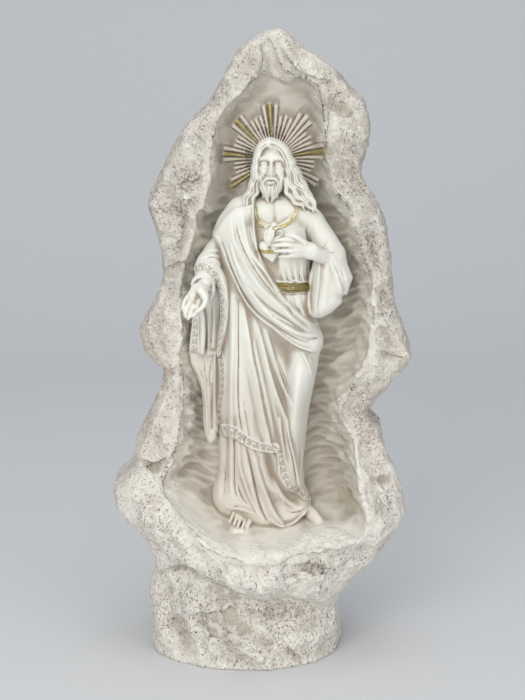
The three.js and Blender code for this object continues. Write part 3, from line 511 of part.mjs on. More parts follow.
for (const part of FIGURE) {
  const reach = [];
  for (const [, ...rows] of part.limbs) for (const r of rows) reach.push([r[0] - r[2], r[0] + r[2], r[1] - r[2], r[1] + r[2]]);
  for (const p of part.plates) for (const q of p[4]) reach.push([q[0], q[0], q[1], q[1]]);
  const i0 = Math.max(0, Math.floor((Math.min(...reach.map((r) => r[0])) - 9 - X0) / CELL)), i1 = Math.min(NX, Math.ceil((Math.max(...reach.map((r) => r[1])) + 9 - X0) / CELL));
  const k0 = Math.max(0, Math.floor((Math.min(...reach.map((r) => r[2])) - 9 - Z0) / CELL)), k1 = Math.min(NZ, Math.ceil((Math.max(...reach.map((r) => r[3])) + 9 - Z0) / CELL));
  const W = i1 - i0, T = k1 - k0, rise = new Float32Array(W * T), own = new Float32Array(W * T * NH).fill(20);
  addFolds(rise, W, T, i0, k0, part.folds); addSteps(rise, W, T, i0, k0, part.steps);
  const blend = (i, k, rho, hc, dp, scale) => {
    const m = k * W + i, c = hc + rise[m], j0 = Math.max(0, Math.floor((c - dp - part.blend - 2 - H0) / CELL)), j1 = Math.min(NH, Math.ceil((c + dp + part.blend + 2 - H0) / CELL));
    for (let j = j0; j < j1; j++) { const h = (ph(j) - c) / dp, f = (Math.sqrt(rho * rho + h * h) - 1) * scale; own[m * NH + j] = smin(own[m * NH + j], f, part.blend); }
  };
  for (const [, ...rows] of part.limbs) {
    const P = curve(rows, 5), w = Math.max(...P.map((p) => p[2])) * 1.5 + part.blend + 1, xs = P.map((p) => p[0]), zs = P.map((p) => p[1]);
    const a0 = Math.min(...xs) - w, a1 = Math.max(...xs) + w, b0 = Math.min(...zs) - w, b1 = Math.max(...zs) + w;
    for (let k = 0; k < T; k++) { const z = pz(k + k0); if (z < b0 || z > b1) continue;
      for (let i = 0; i < W; i++) { const x = px(i + i0); if (x < a0 || x > a1) continue;
        const [d, , wd, hc, dp] = nearLine(x, z, P, 5); blend(i, k, d / wd, hc, dp, Math.min(wd, dp));
      } }
  }
  for (const [, [x0, z0, h0, sx, sz], thick, edge, outline] of part.plates) {
    for (let k = 0; k < T; k++) for (let i = 0; i < W; i++) {
      const x = px(i + i0), z = pz(k + k0), d = inside(x, z, outline); if (d < -(edge * 0.6 + part.blend + 2)) continue;
      blend(i, k, clamp(1 - d / edge, 0, 9), h0 + sx * (x - x0) + sz * (z - z0), thick, Math.min(thick, edge));
    }
  }
  for (let k = 0; k < T; k++) for (let i = 0; i < W; i++) for (let j = 0; j < NH; j++) {
    const f = own[(k * W + i) * NH + j]; if (f >= 20) continue;
    const n = at(i + i0, j, k + k0); figureField[n] = smin(figureField[n], f, part.join);
  }
}
for (let n = 0; n < field.length; n++) field[n] = smin(field[n], figureField[n], 1.6);
for (let k = 0; k < NZ; k++) for (let i = 0; i < NX; i++) for (let j = 0; j < NH; j++)
  if (i === 0 || j === 0 || k === 0 || i === NX - 1 || j === NH - 1 || k === NZ - 1) field[at(i, j, k)] = Math.max(field[at(i, j, k)], 1);

// no two pockets may touch along an edge or at a corner: fill such spots before meshing
for (let pass = 0, filled = 1; pass < 60 && filled; pass++) {
  filled = 0;
  const SIDES = [[0, 1, 3, 2], [4, 5, 7, 6], [0, 1, 5, 4], [2, 3, 7, 6], [0, 2, 6, 4], [1, 3, 7, 5]];
  for (let k = 1; k < NZ - 2; k++) for (let i = 1; i < NX - 2; i++) for (let j = 1; j < NH - 2; j++) {
    const n = []; let s = 0; for (let c = 0; c < 8; c++) { n.push(at(i + (c & 1), j + ((c >> 1) & 1), k + (c >> 2))); if (field[n[c]] < 0) s |= 1 << c; }
    if (s === 0 || s === 255) continue;
    const fill = (c) => { if (field[n[c]] >= 0) { field[n[c]] = -0.08; filled++; } };
    for (const [a, b, c, d] of SIDES) {
      const A = field[n[a]] < 0, B = field[n[b]] < 0, C = field[n[c]] < 0, E = field[n[d]] < 0;
      if (A === C && B === E && A !== B) [a, b, c, d].forEach(fill);
    }
    for (let c = 0; c < 4; c++) {
      const two = (1 << c) | (1 << (7 - c));
      if (s === two) fill(c ^ 1), fill((c ^ 1) ^ 2); else if (s === 255 - two) fill(c);
    }
  }
}

// ---------- mesh the zero level: one vertex a crossed cell, one quad a crossed edge ----------
const P = [], faces = [];
{
  const id = new Int32Array(NX * NH * NZ).fill(-1), E = [[0, 1], [2, 3], [4, 5], [6, 7], [0, 2], [1, 3], [4, 6], [5, 7], [0, 4], [1, 5], [2, 6], [3, 7]];
  const v = new Float64Array(8);
  for (let k = 0; k < NZ - 1; k++) for (let i = 0; i < NX - 1; i++) for (let j = 0; j < NH - 1; j++) {
    let s = 0; for (let c = 0; c < 8; c++) { v[c] = field[at(i + (c & 1), j + ((c >> 1) & 1), k + (c >> 2))]; if (v[c] < 0) s |= 1 << c; }
    if (s === 0 || s === 255) continue;
    let n = 0, x = 0, h = 0, z = 0;
    for (const [a, b] of E) if ((v[a] < 0) !== (v[b] < 0)) {
      const t = v[a] / (v[a] - v[b]); n++;
      x += (a & 1) + t * ((b & 1) - (a & 1)); h += ((a >> 1) & 1) + t * (((b >> 1) & 1) - ((a >> 1) & 1)); z += (a >> 2) + t * ((b >> 2) - (a >> 2));
    }
    id[at(i, j, k)] = P.length / 3; P.push(px(i + x / n), -ph(j + h / n), pz(k + z / n));
  }
  const quad = (a, b, c, d, f) => { if (f) faces.push(a, b, c, a, c, d); else faces.push(a, c, b, a, d, c); };
  for (let k = 1; k < NZ - 1; k++) for (let i = 1; i < NX - 1; i++) for (let j = 1; j < NH - 1; j++) {
    const s = field[at(i, j, k)] < 0;
    if (s !== field[at(i + 1, j, k)] < 0) quad(id[at(i, j - 1, k - 1)], id[at(i, j, k - 1)], id[at(i, j, k)], id[at(i, j - 1, k)], !s);
    if (s !== field[at(i, j + 1, k)] < 0) quad(id[at(i - 1, j, k - 1)], id[at(i - 1, j, k)], id[at(i, j, k)], id[at(i, j, k - 1)], !s);
    if (s !== field[at(i, j, k + 1)] < 0) quad(id[at(i - 1, j - 1, k)], id[at(i, j - 1, k)], id[at(i, j, k)], id[at(i - 1, j, k)], !s);
  }
}
// ---------- displace the rock (never the figure) along its normals ----------
{
  const N = new Float64Array(P.length);
  for (let f = 0; f < faces.length; f += 3) {
    const [a, b, c] = [faces[f] * 3, faces[f + 1] * 3, faces[f + 2] * 3];
    const ux = P[b] - P[a], uy = P[b + 1] - P[a + 1], uz = P[b + 2] - P[a + 2], wx = P[c] - P[a], wy = P[c + 1] - P[a + 1], wz = P[c + 2] - P[a + 2];
    const n = [uy * wz - uz * wy, uz * wx - ux * wz, ux * wy - uy * wx];
    for (const q of [a, b, c]) for (let e = 0; e < 3; e++) N[q + e] += n[e];
  }
  const Q = P.slice();
  for (let q = 0; q < P.length; q += 3) {
    const x = P[q], y = P[q + 1], z = P[q + 2], i = clamp(Math.round((x - X0) / CELL), 0, NX - 1), j = clamp(Math.round((-y - H0) / CELL), 0, NH - 1), k = clamp(Math.round((z - Z0) / CELL), 0, NZ - 1);
    const own = smooth(0.5, 4, figureField[at(i, j, k)]), in_ = mouth[k * NX + i], rough = y > 30 ? 1 : 1 - 0.8 * smooth(-1, 5, in_), edge = 1 - 0.75 * (1 - smooth(3, 16, edgeOf[k * NX + i])) * (1 - smooth(30, 40, y));
    const d = (LUMP.depth * facets(x, y, z, LUMP.size, 11) + KNOB.depth * facets(x, y, z, KNOB.size, 37)) * own * rough * edge;
    const l = Math.hypot(N[q], N[q + 1], N[q + 2]) || 1; for (let e = 0; e < 3; e++) Q[q + e] = P[q + e] + d * N[q + e] / l;
  }
  for (let q = 0; q < P.length; q++) P[q] = Q[q];
}

// ---------- simplify: cheapest edge first, keeping the skin closed and its faces upright ----------
function simplify(P, F, target) {
  const nv = P.length / 3, nf = F.length / 3, Q = new Float64Array(nv * 10), vf = Array.from({ length: nv }, () => []), alive = new Uint8Array(nf).fill(1), stamp = new Int32Array(nv);
  const nrm = (a, b, c) => { const ux = b[0] - a[0], uy = b[1] - a[1], uz = b[2] - a[2], wx = c[0] - a[0], wy = c[1] - a[1], wz = c[2] - a[2]; return [uy * wz - uz * wy, uz * wx - ux * wz, ux * wy - uy * wx]; };
  const pt = (v) => [P[v * 3], P[v * 3 + 1], P[v * 3 + 2]];
  const add = (v, n, d, w) => { const o = v * 10, [a, b, c] = n; const t = [a * a, a * b, a * c, a * d, b * b, b * c, b * d, c * c, c * d, d * d]; for (let i = 0; i < 10; i++) Q[o + i] += w * t[i]; };
  for (let f = 0; f < nf; f++) {
    const v = [F[f * 3], F[f * 3 + 1], F[f * 3 + 2]], p = v.map(pt), n = nrm(...p), l = Math.hypot(...n) || 1e-12, u = n.map((q) => q / l);
    const head = p[0][2] > 292 && Math.abs(p[0][0] - 6) < 20 && p[0][1] < -9 ? 5 : 1, figure = p[0][2] > 92 && p[0][2] < 345 && p[0][1] < -6 && Math.abs(p[0][0]) < 50 ? 2.2 : 1;
    for (const q of v) { vf[q].push(f); const w = l * 0.5 * (q >= 0 ? Math.max(head, figure) : 1); add(q, u, -(u[0] * p[0][0] + u[1] * p[0][1] + u[2] * p[0][2]), w);
      for (let e = 0; e < 3; e++) { const ax = [0, 0, 0]; ax[e] = 1; add(q, ax, -P[q * 3 + e], l * 0.0015); } }
  }
  const cost = (q, x, y, z) => q[0] * x * x + 2 * q[1] * x * y + 2 * q[2] * x * z + 2 * q[3] * x + q[4] * y * y + 2 * q[5] * y * z + 2 * q[6] * y + q[7] * z * z + 2 * q[8] * z + q[9];
  const heap = [];
  const push = (e) => { heap.push(e); let i = heap.length - 1; while (i > 0) { const p = (i - 1) >> 1; if (heap[p].c <= e.c) break; heap[i] = heap[p]; i = p; } heap[i] = e; };
  const pop = () => { const top = heap[0], e = heap.pop(), n = heap.length; if (n) { let i = 0; for (;;) { let c = 2 * i + 1; if (c >= n) break; if (c + 1 < n && heap[c + 1].c < heap[c].c) c++; if (heap[c].c >= e.c) break; heap[i] = heap[c]; i = c; } heap[i] = e; } return top; };
  const candidate = (a, b) => {
    const q = new Float64Array(10); for (let i = 0; i < 10; i++) q[i] = Q[a * 10 + i] + Q[b * 10 + i];
    const A = pt(a), B = pt(b), M = A.map((v, i) => (v + B[i]) / 2);
    const det = q[0] * (q[4] * q[7] - q[5] * q[5]) - q[1] * (q[1] * q[7] - q[5] * q[2]) + q[2] * (q[1] * q[5] - q[4] * q[2]);
    let best = M, bc = cost(q, ...M);
    if (Math.abs(det) > 1e-9) {
      const r = [-q[3], -q[6], -q[8]];
      const x = (r[0] * (q[4] * q[7] - q[5] * q[5]) - q[1] * (r[1] * q[7] - q[5] * r[2]) + q[2] * (r[1] * q[5] - q[4] * r[2])) / det;
      const y = (q[0] * (r[1] * q[7] - q[5] * r[2]) - r[0] * (q[1] * q[7] - q[5] * q[2]) + q[2] * (q[1] * r[2] - r[1] * q[2])) / det;
      const z = (q[0] * (q[4] * r[2] - r[1] * q[5]) - q[1] * (q[1] * r[2] - r[1] * q[2]) + r[0] * (q[1] * q[5] - q[4] * q[2])) / det;
      const L = Math.hypot(A[0] - B[0], A[1] - B[1], A[2] - B[2]);
      if (Math.hypot(x - M[0], y - M[1], z - M[2]) < L * 1.2) { const c = cost(q, x, y, z); if (c < bc) { bc = c; best = [x, y, z]; } }
    }
    push({ c: Math.max(bc, 0), a, b, p: best, s: stamp[a], t: stamp[b] });
  };
  const ring = (v) => { const s = new Set(); for (const f of vf[v]) if (alive[f]) for (let e = 0; e < 3; e++) if (F[f * 3 + e] !== v) s.add(F[f * 3 + e]); return s; };
  for (let f = 0; f < nf; f++) for (let e = 0; e < 3; e++) { const a = F[f * 3 + e], b = F[f * 3 + (e + 1) % 3]; if (a < b) candidate(a, b); }
  let count = nf;
  while (count > target && heap.length) {
    const e = pop(), { a, b } = e; if (e.s !== stamp[a] || e.t !== stamp[b]) continue;
    const ra = ring(a), rb = ring(b); let shared = 0; for (const v of ra) if (rb.has(v)) shared++;
    if (shared !== 2 || !ra.has(b)) continue;
    let ok = true;
    for (const v of [a, b]) for (const f of vf[v]) { if (!alive[f]) continue;
      const t = [F[f * 3], F[f * 3 + 1], F[f * 3 + 2]]; if (t.includes(a) && t.includes(b)) continue;
      const n0 = nrm(...t.map(pt)), n1 = nrm(...t.map((q) => (q === v ? e.p : pt(q)))), l0 = Math.hypot(...n0), l1 = Math.hypot(...n1);
      if (l1 < 1e-4 || n0[0] * n1[0] + n0[1] * n1[1] + n0[2] * n1[2] < 0.25 * l0 * l1) { ok = false; break; }
      const q = t.map((u) => (u === v ? e.p : pt(u))), m = Math.max(Math.hypot(q[0][0] - q[1][0], q[0][1] - q[1][1], q[0][2] - q[1][2]), Math.hypot(q[1][0] - q[2][0], q[1][1] - q[2][1], q[1][2] - q[2][2]), Math.hypot(q[2][0] - q[0][0], q[2][1] - q[0][1], q[2][2] - q[0][2]));
      if (l1 / (m * m) < 0.03) { ok = false; break; }
    }
    if (!ok) continue;
    P[a * 3] = e.p[0]; P[a * 3 + 1] = e.p[1]; P[a * 3 + 2] = e.p[2]; for (let i = 0; i < 10; i++) Q[a * 10 + i] += Q[b * 10 + i];
    for (const f of vf[b]) { if (!alive[f]) continue; let both = false; for (let c = 0; c < 3; c++) if (F[f * 3 + c] === a) both = true;
      if (both) { alive[f] = 0; count--; } else { for (let c = 0; c < 3; c++) if (F[f * 3 + c] === b) F[f * 3 + c] = a; vf[a].push(f); } }
    vf[a] = vf[a].filter((f) => alive[f]); vf[b] = []; stamp[b] = -1; stamp[a]++;
    for (const v of ring(a)) candidate(a, v);
  }
  const map = new Map(), V = [], T = [];
  for (let f = 0; f < nf; f++) if (alive[f]) for (let c = 0; c < 3; c++) { const v = F[f * 3 + c]; if (!map.has(v)) { map.set(v, V.length / 3); V.push(...pt(v)); } T.push(map.get(v)); }
  return [V, T];
}
const [V, T] = simplify(P, faces, TRIANGLES);

// ---------- cut the underside flat ----------
const wasm = await Module(); wasm.setup();
const body = new wasm.Manifold(new wasm.Mesh({ numProp: 3, vertProperties: new Float32Array(V), triVerts: new Uint32Array(T) }));
const cutter = new THREE.BoxGeometry(400, 400, 100); cutter.translate(0, 0, FOOT_Z - 50);
const cornerIds = new Map(), corners = [], cutFaces = [], pos = cutter.attributes.position, idx = cutter.index;
for (let i = 0; i < idx.count; i++) {
  const v = idx.getX(i), key = [pos.getX(v), pos.getY(v), pos.getZ(v)].join();
  if (!cornerIds.has(key)) { cornerIds.set(key, corners.length / 3); corners.push(pos.getX(v), pos.getY(v), pos.getZ(v)); } cutFaces.push(cornerIds.get(key));
}
const box = new wasm.Manifold(new wasm.Mesh({ numProp: 3, vertProperties: new Float32Array(corners), triVerts: new Uint32Array(cutFaces) }));
const cast = body.subtract(box).getMesh();
const geometry = new THREE.BufferGeometry();
geometry.setAttribute('position', new THREE.BufferAttribute(new Float32Array(cast.vertProperties), 3));
geometry.setIndex(Array.from(cast.triVerts));
geometry.computeVertexNormals();
const statuette = new THREE.Mesh(geometry, new THREE.MeshStandardMaterial({ color: '#d9d2c6', roughness: 0.75, metalness: 0 }));
statuette.name = 'statuette';
const group = new THREE.Group();
group.name = 'sacred_heart_niche_statuette';
group.add(statuette);
export default group;
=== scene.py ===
# Sacred-heart statuette in a rock niche: one cast piece, modelled as a field on a grid (rock, halo, draped figure),
# meshed, broken up where it is rock, and finished with an ivory, wash and gold-paint material; the wash is partly
# painted shade in the hollows, and ridges and edges get painted highlights.
import bpy, math, time
import numpy as np
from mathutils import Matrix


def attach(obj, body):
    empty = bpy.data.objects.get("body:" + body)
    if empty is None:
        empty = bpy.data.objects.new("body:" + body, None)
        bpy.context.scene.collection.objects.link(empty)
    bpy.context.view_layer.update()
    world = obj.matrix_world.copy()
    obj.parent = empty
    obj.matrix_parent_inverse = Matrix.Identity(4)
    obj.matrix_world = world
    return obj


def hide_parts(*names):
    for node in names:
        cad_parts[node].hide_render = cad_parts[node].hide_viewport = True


T0 = time.time()
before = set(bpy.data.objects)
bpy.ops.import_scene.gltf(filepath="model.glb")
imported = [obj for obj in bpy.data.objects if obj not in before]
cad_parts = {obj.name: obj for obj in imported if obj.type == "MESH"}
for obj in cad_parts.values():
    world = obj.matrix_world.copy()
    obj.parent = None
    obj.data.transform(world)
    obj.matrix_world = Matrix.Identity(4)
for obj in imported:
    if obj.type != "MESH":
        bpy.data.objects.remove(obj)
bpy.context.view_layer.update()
f4 = np.float32

# ------------------------------------------------------------------ tables, millimetres, h = distance towards the viewer
# (z, x) of the outline on the right and left
OUT_RIGHT = [(401, 12), (389, 27), (377, 45), (356, 65), (334, 68), (312, 63), (283, 78), (230, 86), (193, 97), (160, 69), (148, 77), (129, 82), (115, 90), (94, 94), (85, 91), (64, 75), (51, 60), (35, 51), (17, 51), (-6, 47)]
OUT_LEFT = [(401, 5), (391, -14), (359, -31), (343, -47), (318, -62), (292, -73), (271, -67), (251, -64), (236, -67), (212, -80), (196, -76), (185, -65), (177, -65), (139, -82), (125, -84), (108, -98), (94, -94), (78, -79), (62, -72), (54, -71), (40, -76), (14, -73), (-6, -68)]
# (z, x) of the niche's mouth on the right and left
MOUTH_RIGHT = [(386, 6), (375, 11), (366, 33), (339, 38), (304, 42), (290, 54), (262, 62), (241, 69), (198, 67), (163, 50), (140, 58), (114, 62), (100, 66), (88, 64)]
MOUTH_LEFT = [(386, 3), (372, -3), (354, -21), (339, -29), (293, -35), (287, -41), (234, -52), (214, -50), (196, -52), (172, -50), (137, -55), (118, -63), (108, -57), (81, -28)]
# (z, x) of the bowl's front lip
LIP = [(79, -4), (83, 21), (85, 45)]
# height, reach forward, reach back
SECTION = [(-6, 50, 38), (0, 53, 40), (20, 54, 42), (34, 46, 42), (46.5, 46, 42), (50, 57, 42), (56, 61, 42), (66, 64, 42), (82, 64, 42), (96, 60, 42), (112, 48, 42), (128, 36, 42), (150, 29, 42), (200, 28, 42), (280, 26, 40), (330, 22, 36), (370, 14, 26), (390, 9, 17), (404, 6, 10)]
# height, h of the niche's back wall
WALL = [(90, -14), (120, -15), (200, -17), (290, -15), (340, -11), (370, -5), (390, 0)]
# lower edge of the bowl's skirt: x, z
SKIRT = [(-76, 52), (-66, 60), (-49, 68), (-24, 59), (-19, 53), (0, 48), (16, 51), (37, 44), (46, 48), (58, 46), (76, 50)]
# relief lines of the rock: width left and right of travel, crest, (x, z, rise)
ROCK_RELIEF = [
 ("apex groove", 3.72, 3.72, 0.8, [(2.2, 397.8, 0), (3.4, 388.7, -2.6), (5.9, 380.2, -4.5), (10.2, 371.8, -3), (15.9, 364.4, 0)]),
 ("right brow", 9.92, 2.17, 0.6, [(12, 389.9, 0.5), (16.3, 381.4, 2.6), (22.5, 375.4, 3.4), (31.1, 371.1, 3.4), (39.8, 369.3, 2), (47.9, 366.9, 0)]),
 ("left brow", 2.17, 8.06, 0.6, [(-0.3, 389.9, 0.5), (0.3, 381.4, 2), (-4, 371.7, 2.6), (-10.2, 363.9, 2.6), (-17.6, 358.4, 2.4), (-22.5, 352.3, 1)]),
 ("temple crease", 4.34, 3.1, 0.5, [(36.6, 362.1, 0), (44.1, 354.8, -1.6), (54.1, 350.5, -1.8), (64.3, 349.8, -0.6)]),
 ("crevice", 2.48, 2.85, 0.3, [(49.2, 320, 0), (53.7, 318.7, -1.3), (57.7, 312.4, -1.9), (62.2, 306.1, -1.6), (66.7, 299.1, -1), (70.7, 293.4, 0)]),
 ("crevice ridge", 3.1, 2.48, 0.8, [(53, 323.7, 0.3), (58.1, 319.8, 1.3), (63.7, 313.2, 1.4), (68, 305.9, 0.8), (71.8, 299.7, 0)]),
 ("right crack", 2.48, 1.86, 0.3, [(69.8, 274.6, 0), (70.5, 267.7, -1.5), (71.9, 257, -1.8), (71.3, 248.9, -1.4), (69.4, 242.1, 0)]),
 ("right ledge", 2.48, 3.1, 0.5, [(60.9, 269.4, 0), (67.2, 271, -1.2), (75.1, 271.8, 0)]),
 ("right shade plane", 3.72, 2.48, 0.5, [(68.8, 243.4, 0), (74.1, 238.7, -2.4), (79.4, 233.2, -2.8), (85, 227.9, -1)]),
 ("right point ridge", 5.58, 5.58, 0.7, [(71.5, 230.6, 0.5), (78.1, 221.4, 2.4), (85.5, 208.8, 3.2), (95.2, 195.5, 2)]),
 ("point underside", 7.44, 1.86, 0.6, [(69.8, 204.2, 0.5), (78.3, 200, 2.6), (86.2, 196.2, 3), (95.2, 194.8, 1.5)]),
 ("lower pitted edge", 4.96, 2.48, 0.7, [(63.1, 193.5, 0.7), (58.1, 183.3, 2.1), (52.5, 173.6, 2.3), (47.1, 162.1, 1.3)]),
 ("right shoulder", 5.58, 5.58, 0.8, [(71.3, 159.3, 0.5), (76, 146.7, 2.2), (80.1, 132.3, 2.6), (87.2, 118.4, 1.5)]),
 ("right crease", 2.48, 4.34, 0.5, [(67.2, 120.4, 0), (75.1, 118.2, -2.9), (83.2, 117.4, -3.1), (90, 118.3, -1.3)]),
 ("right bulge", 7.44, 7.44, 1, [(80.2, 109.4, 1.5), (82.7, 102, 2.6), (78.3, 95.4, 1.6)]),
 ("right rim", 4.34, 3.72, 0.9, [(59.8, 149.5, 0.3), (60.3, 136, 1.6), (60.7, 123.2, 2.2), (62.4, 110.4, 2.6), (65.4, 98.5, 2.6), (63.2, 88.7, 2), (61.1, 83.4, 1)]),
 ("left bulge edge", 8.68, 1.61, 0.6, [(-70.7, 248.3, 0.5), (-64.9, 251.2, 2.4), (-56.9, 255.6, 3.2), (-49.2, 257.3, 3.2), (-42.8, 252.2, 1.2)]),
 ("left hollow", 8.06, 8.06, 1, [(-62.3, 241.3, -1.5), (-57.1, 231.8, -3.6), (-54.5, 220.7, -3), (-57.1, 209.3, -1)]),
 ("left point", 4.96, 4.96, 0.9, [(-73.5, 225.4, 0.5), (-72.7, 213.3, 2), (-68.3, 202, 2.2), (-63.4, 191.6, 1)]),
 ("left notch", 3.1, 3.1, 0.5, [(-65.2, 185.5, -2.6), (-59.7, 185.4, -2.6), (-52.3, 189.8, -1)]),
 ("left facet ridge", 5.58, 4.34, 0.6, [(-57.8, 178.5, 0.5), (-63.8, 166.6, 2.4), (-71, 150.8, 2.8), (-78.3, 135.1, 1.6)]),
 ("left crease", 2.48, 2.48, 0.5, [(-83.5, 127.3, -2.1), (-76.1, 127.5, -3.6), (-70.7, 125.4, -3.4), (-63.5, 128.5, -2.2), (-55.3, 133.2, -0.8)]),
 ("left bulge", 8.68, 7.44, 1, [(-88.2, 116.5, 1.2), (-81.9, 110.1, 2.2), (-70.9, 100.4, 1.6)]),
 ("bowl rim", 4.03, 4.03, 0.9, [(-63, 115.5, 0.4), (-51.7, 103.2, 2), (-39.5, 90.5, 2.6), (-28.9, 82.5, 3.1), (-12.1, 77.3, 3.1), (-0.3, 76.8, 2.6), (13.9, 80, 2.4), (29.4, 82.5, 2.2), (48.3, 82.8, 2), (59.9, 83.6, 0.9)]),
 ("strata 1", 1.86, 2.23, 0.4, [(-1.6, 68.4, 0), (5.9, 67.7, -2.2), (15.8, 66.1, -2.7), (25.8, 65, -1.4)]),
 ("strata 2", 1.86, 2.11, 0.4, [(12.1, 73.5, 0), (23.3, 71.8, -2), (34.6, 68.9, -2.4), (44.7, 67.4, 0)]),
 ("skirt facet 1", 6.82, 2.48, 0.6, [(-10.8, 76, 0.9), (-9.6, 65.5, 3), (-12.2, 54, 2.1)]),
 ("skirt facet 2", 5.58, 3.1, 0.6, [(-30.1, 77.5, 0.8), (-25.9, 67.2, 3.3), (-18.4, 57.4, 3)]),
 ("skirt facet 3", 6.2, 4.96, 0.7, [(37, 78.6, 0.6), (38.4, 65, 3.1), (36.4, 47.3, 2.8)]),
 ("left under edge", 9.3, 3.1, 0.6, [(-75.6, 84.2, 1.2), (-62.3, 78.1, 3.4), (-48.9, 71.4, 3.8), (-36.7, 66.4, 3.8), (-28.3, 55.9, 2.9), (-17.9, 54, 1.2)]),
 ("left skirt ridge", 4.96, 4.96, 0.7, [(-71.1, 105.6, 0.5), (-57.9, 92.8, 1.8), (-47.8, 82.2, 1.8), (-39.1, 73.2, 1)]),
 ("base groove", 6.82, 4.34, 0.8, [(-32, 36.2, 0), (-24.4, 33.3, -2.2), (-15.5, 28.3, -4.2), (-7.9, 24.1, -4.8), (-1.6, 20, -4.6), (4.1, 15.8, -3.4), (9.2, 9.9, -1.2)]),
 ("base bulge", 3.72, 8.06, 0.9, [(-37.1, 26.4, 1), (-26.9, 21.2, 4), (-15.5, 16.2, 5), (-5.4, 10.7, 4.2), (3.5, 4.8, 1.6)]),
 ("base left plane", 10.54, 10.54, 1, [(-62.3, 44.8, -2), (-57.3, 31, -5), (-51.6, 12.8, -4.6), (-46.5, 1.1, -2)]),
 ("base left ridge", 6.82, 3.1, 0.6, [(-39.2, 47.5, 1), (-37.7, 35.5, 3.6), (-35.9, 21.1, 3.8), (-31.5, 9.2, 2)]),
 ("base crease", 3.72, 3.1, 0.5, [(13.7, 19.8, 0), (16.2, 12.6, -4.2), (19.5, 7.3, -4.5), (24, 2.2, -2.6)]),
 ("base right bulge", 6.2, 6.2, 1, [(27.9, 23.2, 0.7), (35.7, 18, 3.1), (43.8, 16.2, 2)]),
 ("base upper ridge", 6.2, 3.72, 0.8, [(-55.3, 42.4, 0.4), (-46.1, 40.6, 1.4), (-34.6, 38.4, 2), (-21.9, 37.7, 1.2)]),
 ("base strata", 1.86, 2.48, 0.6, [(-15.6, 36.6, 0), (-4.1, 35.2, -1.4), (4.8, 33.5, -1.6), (13.7, 32.1, 0)]),
]
# halo: centre, lean to the left and spacing of the rays in degrees, length at the top and at the sides, short ray as a share, relief
HALO = dict(x=7.0, z=320.1, lean=4.3, left=6.6, right=7.0, top=34.6, side=31.0, short=0.81, relief=2.2)
LUMP, KNOB = (32, 0.85), (14, 0.7)      # size of the broken facets, depth
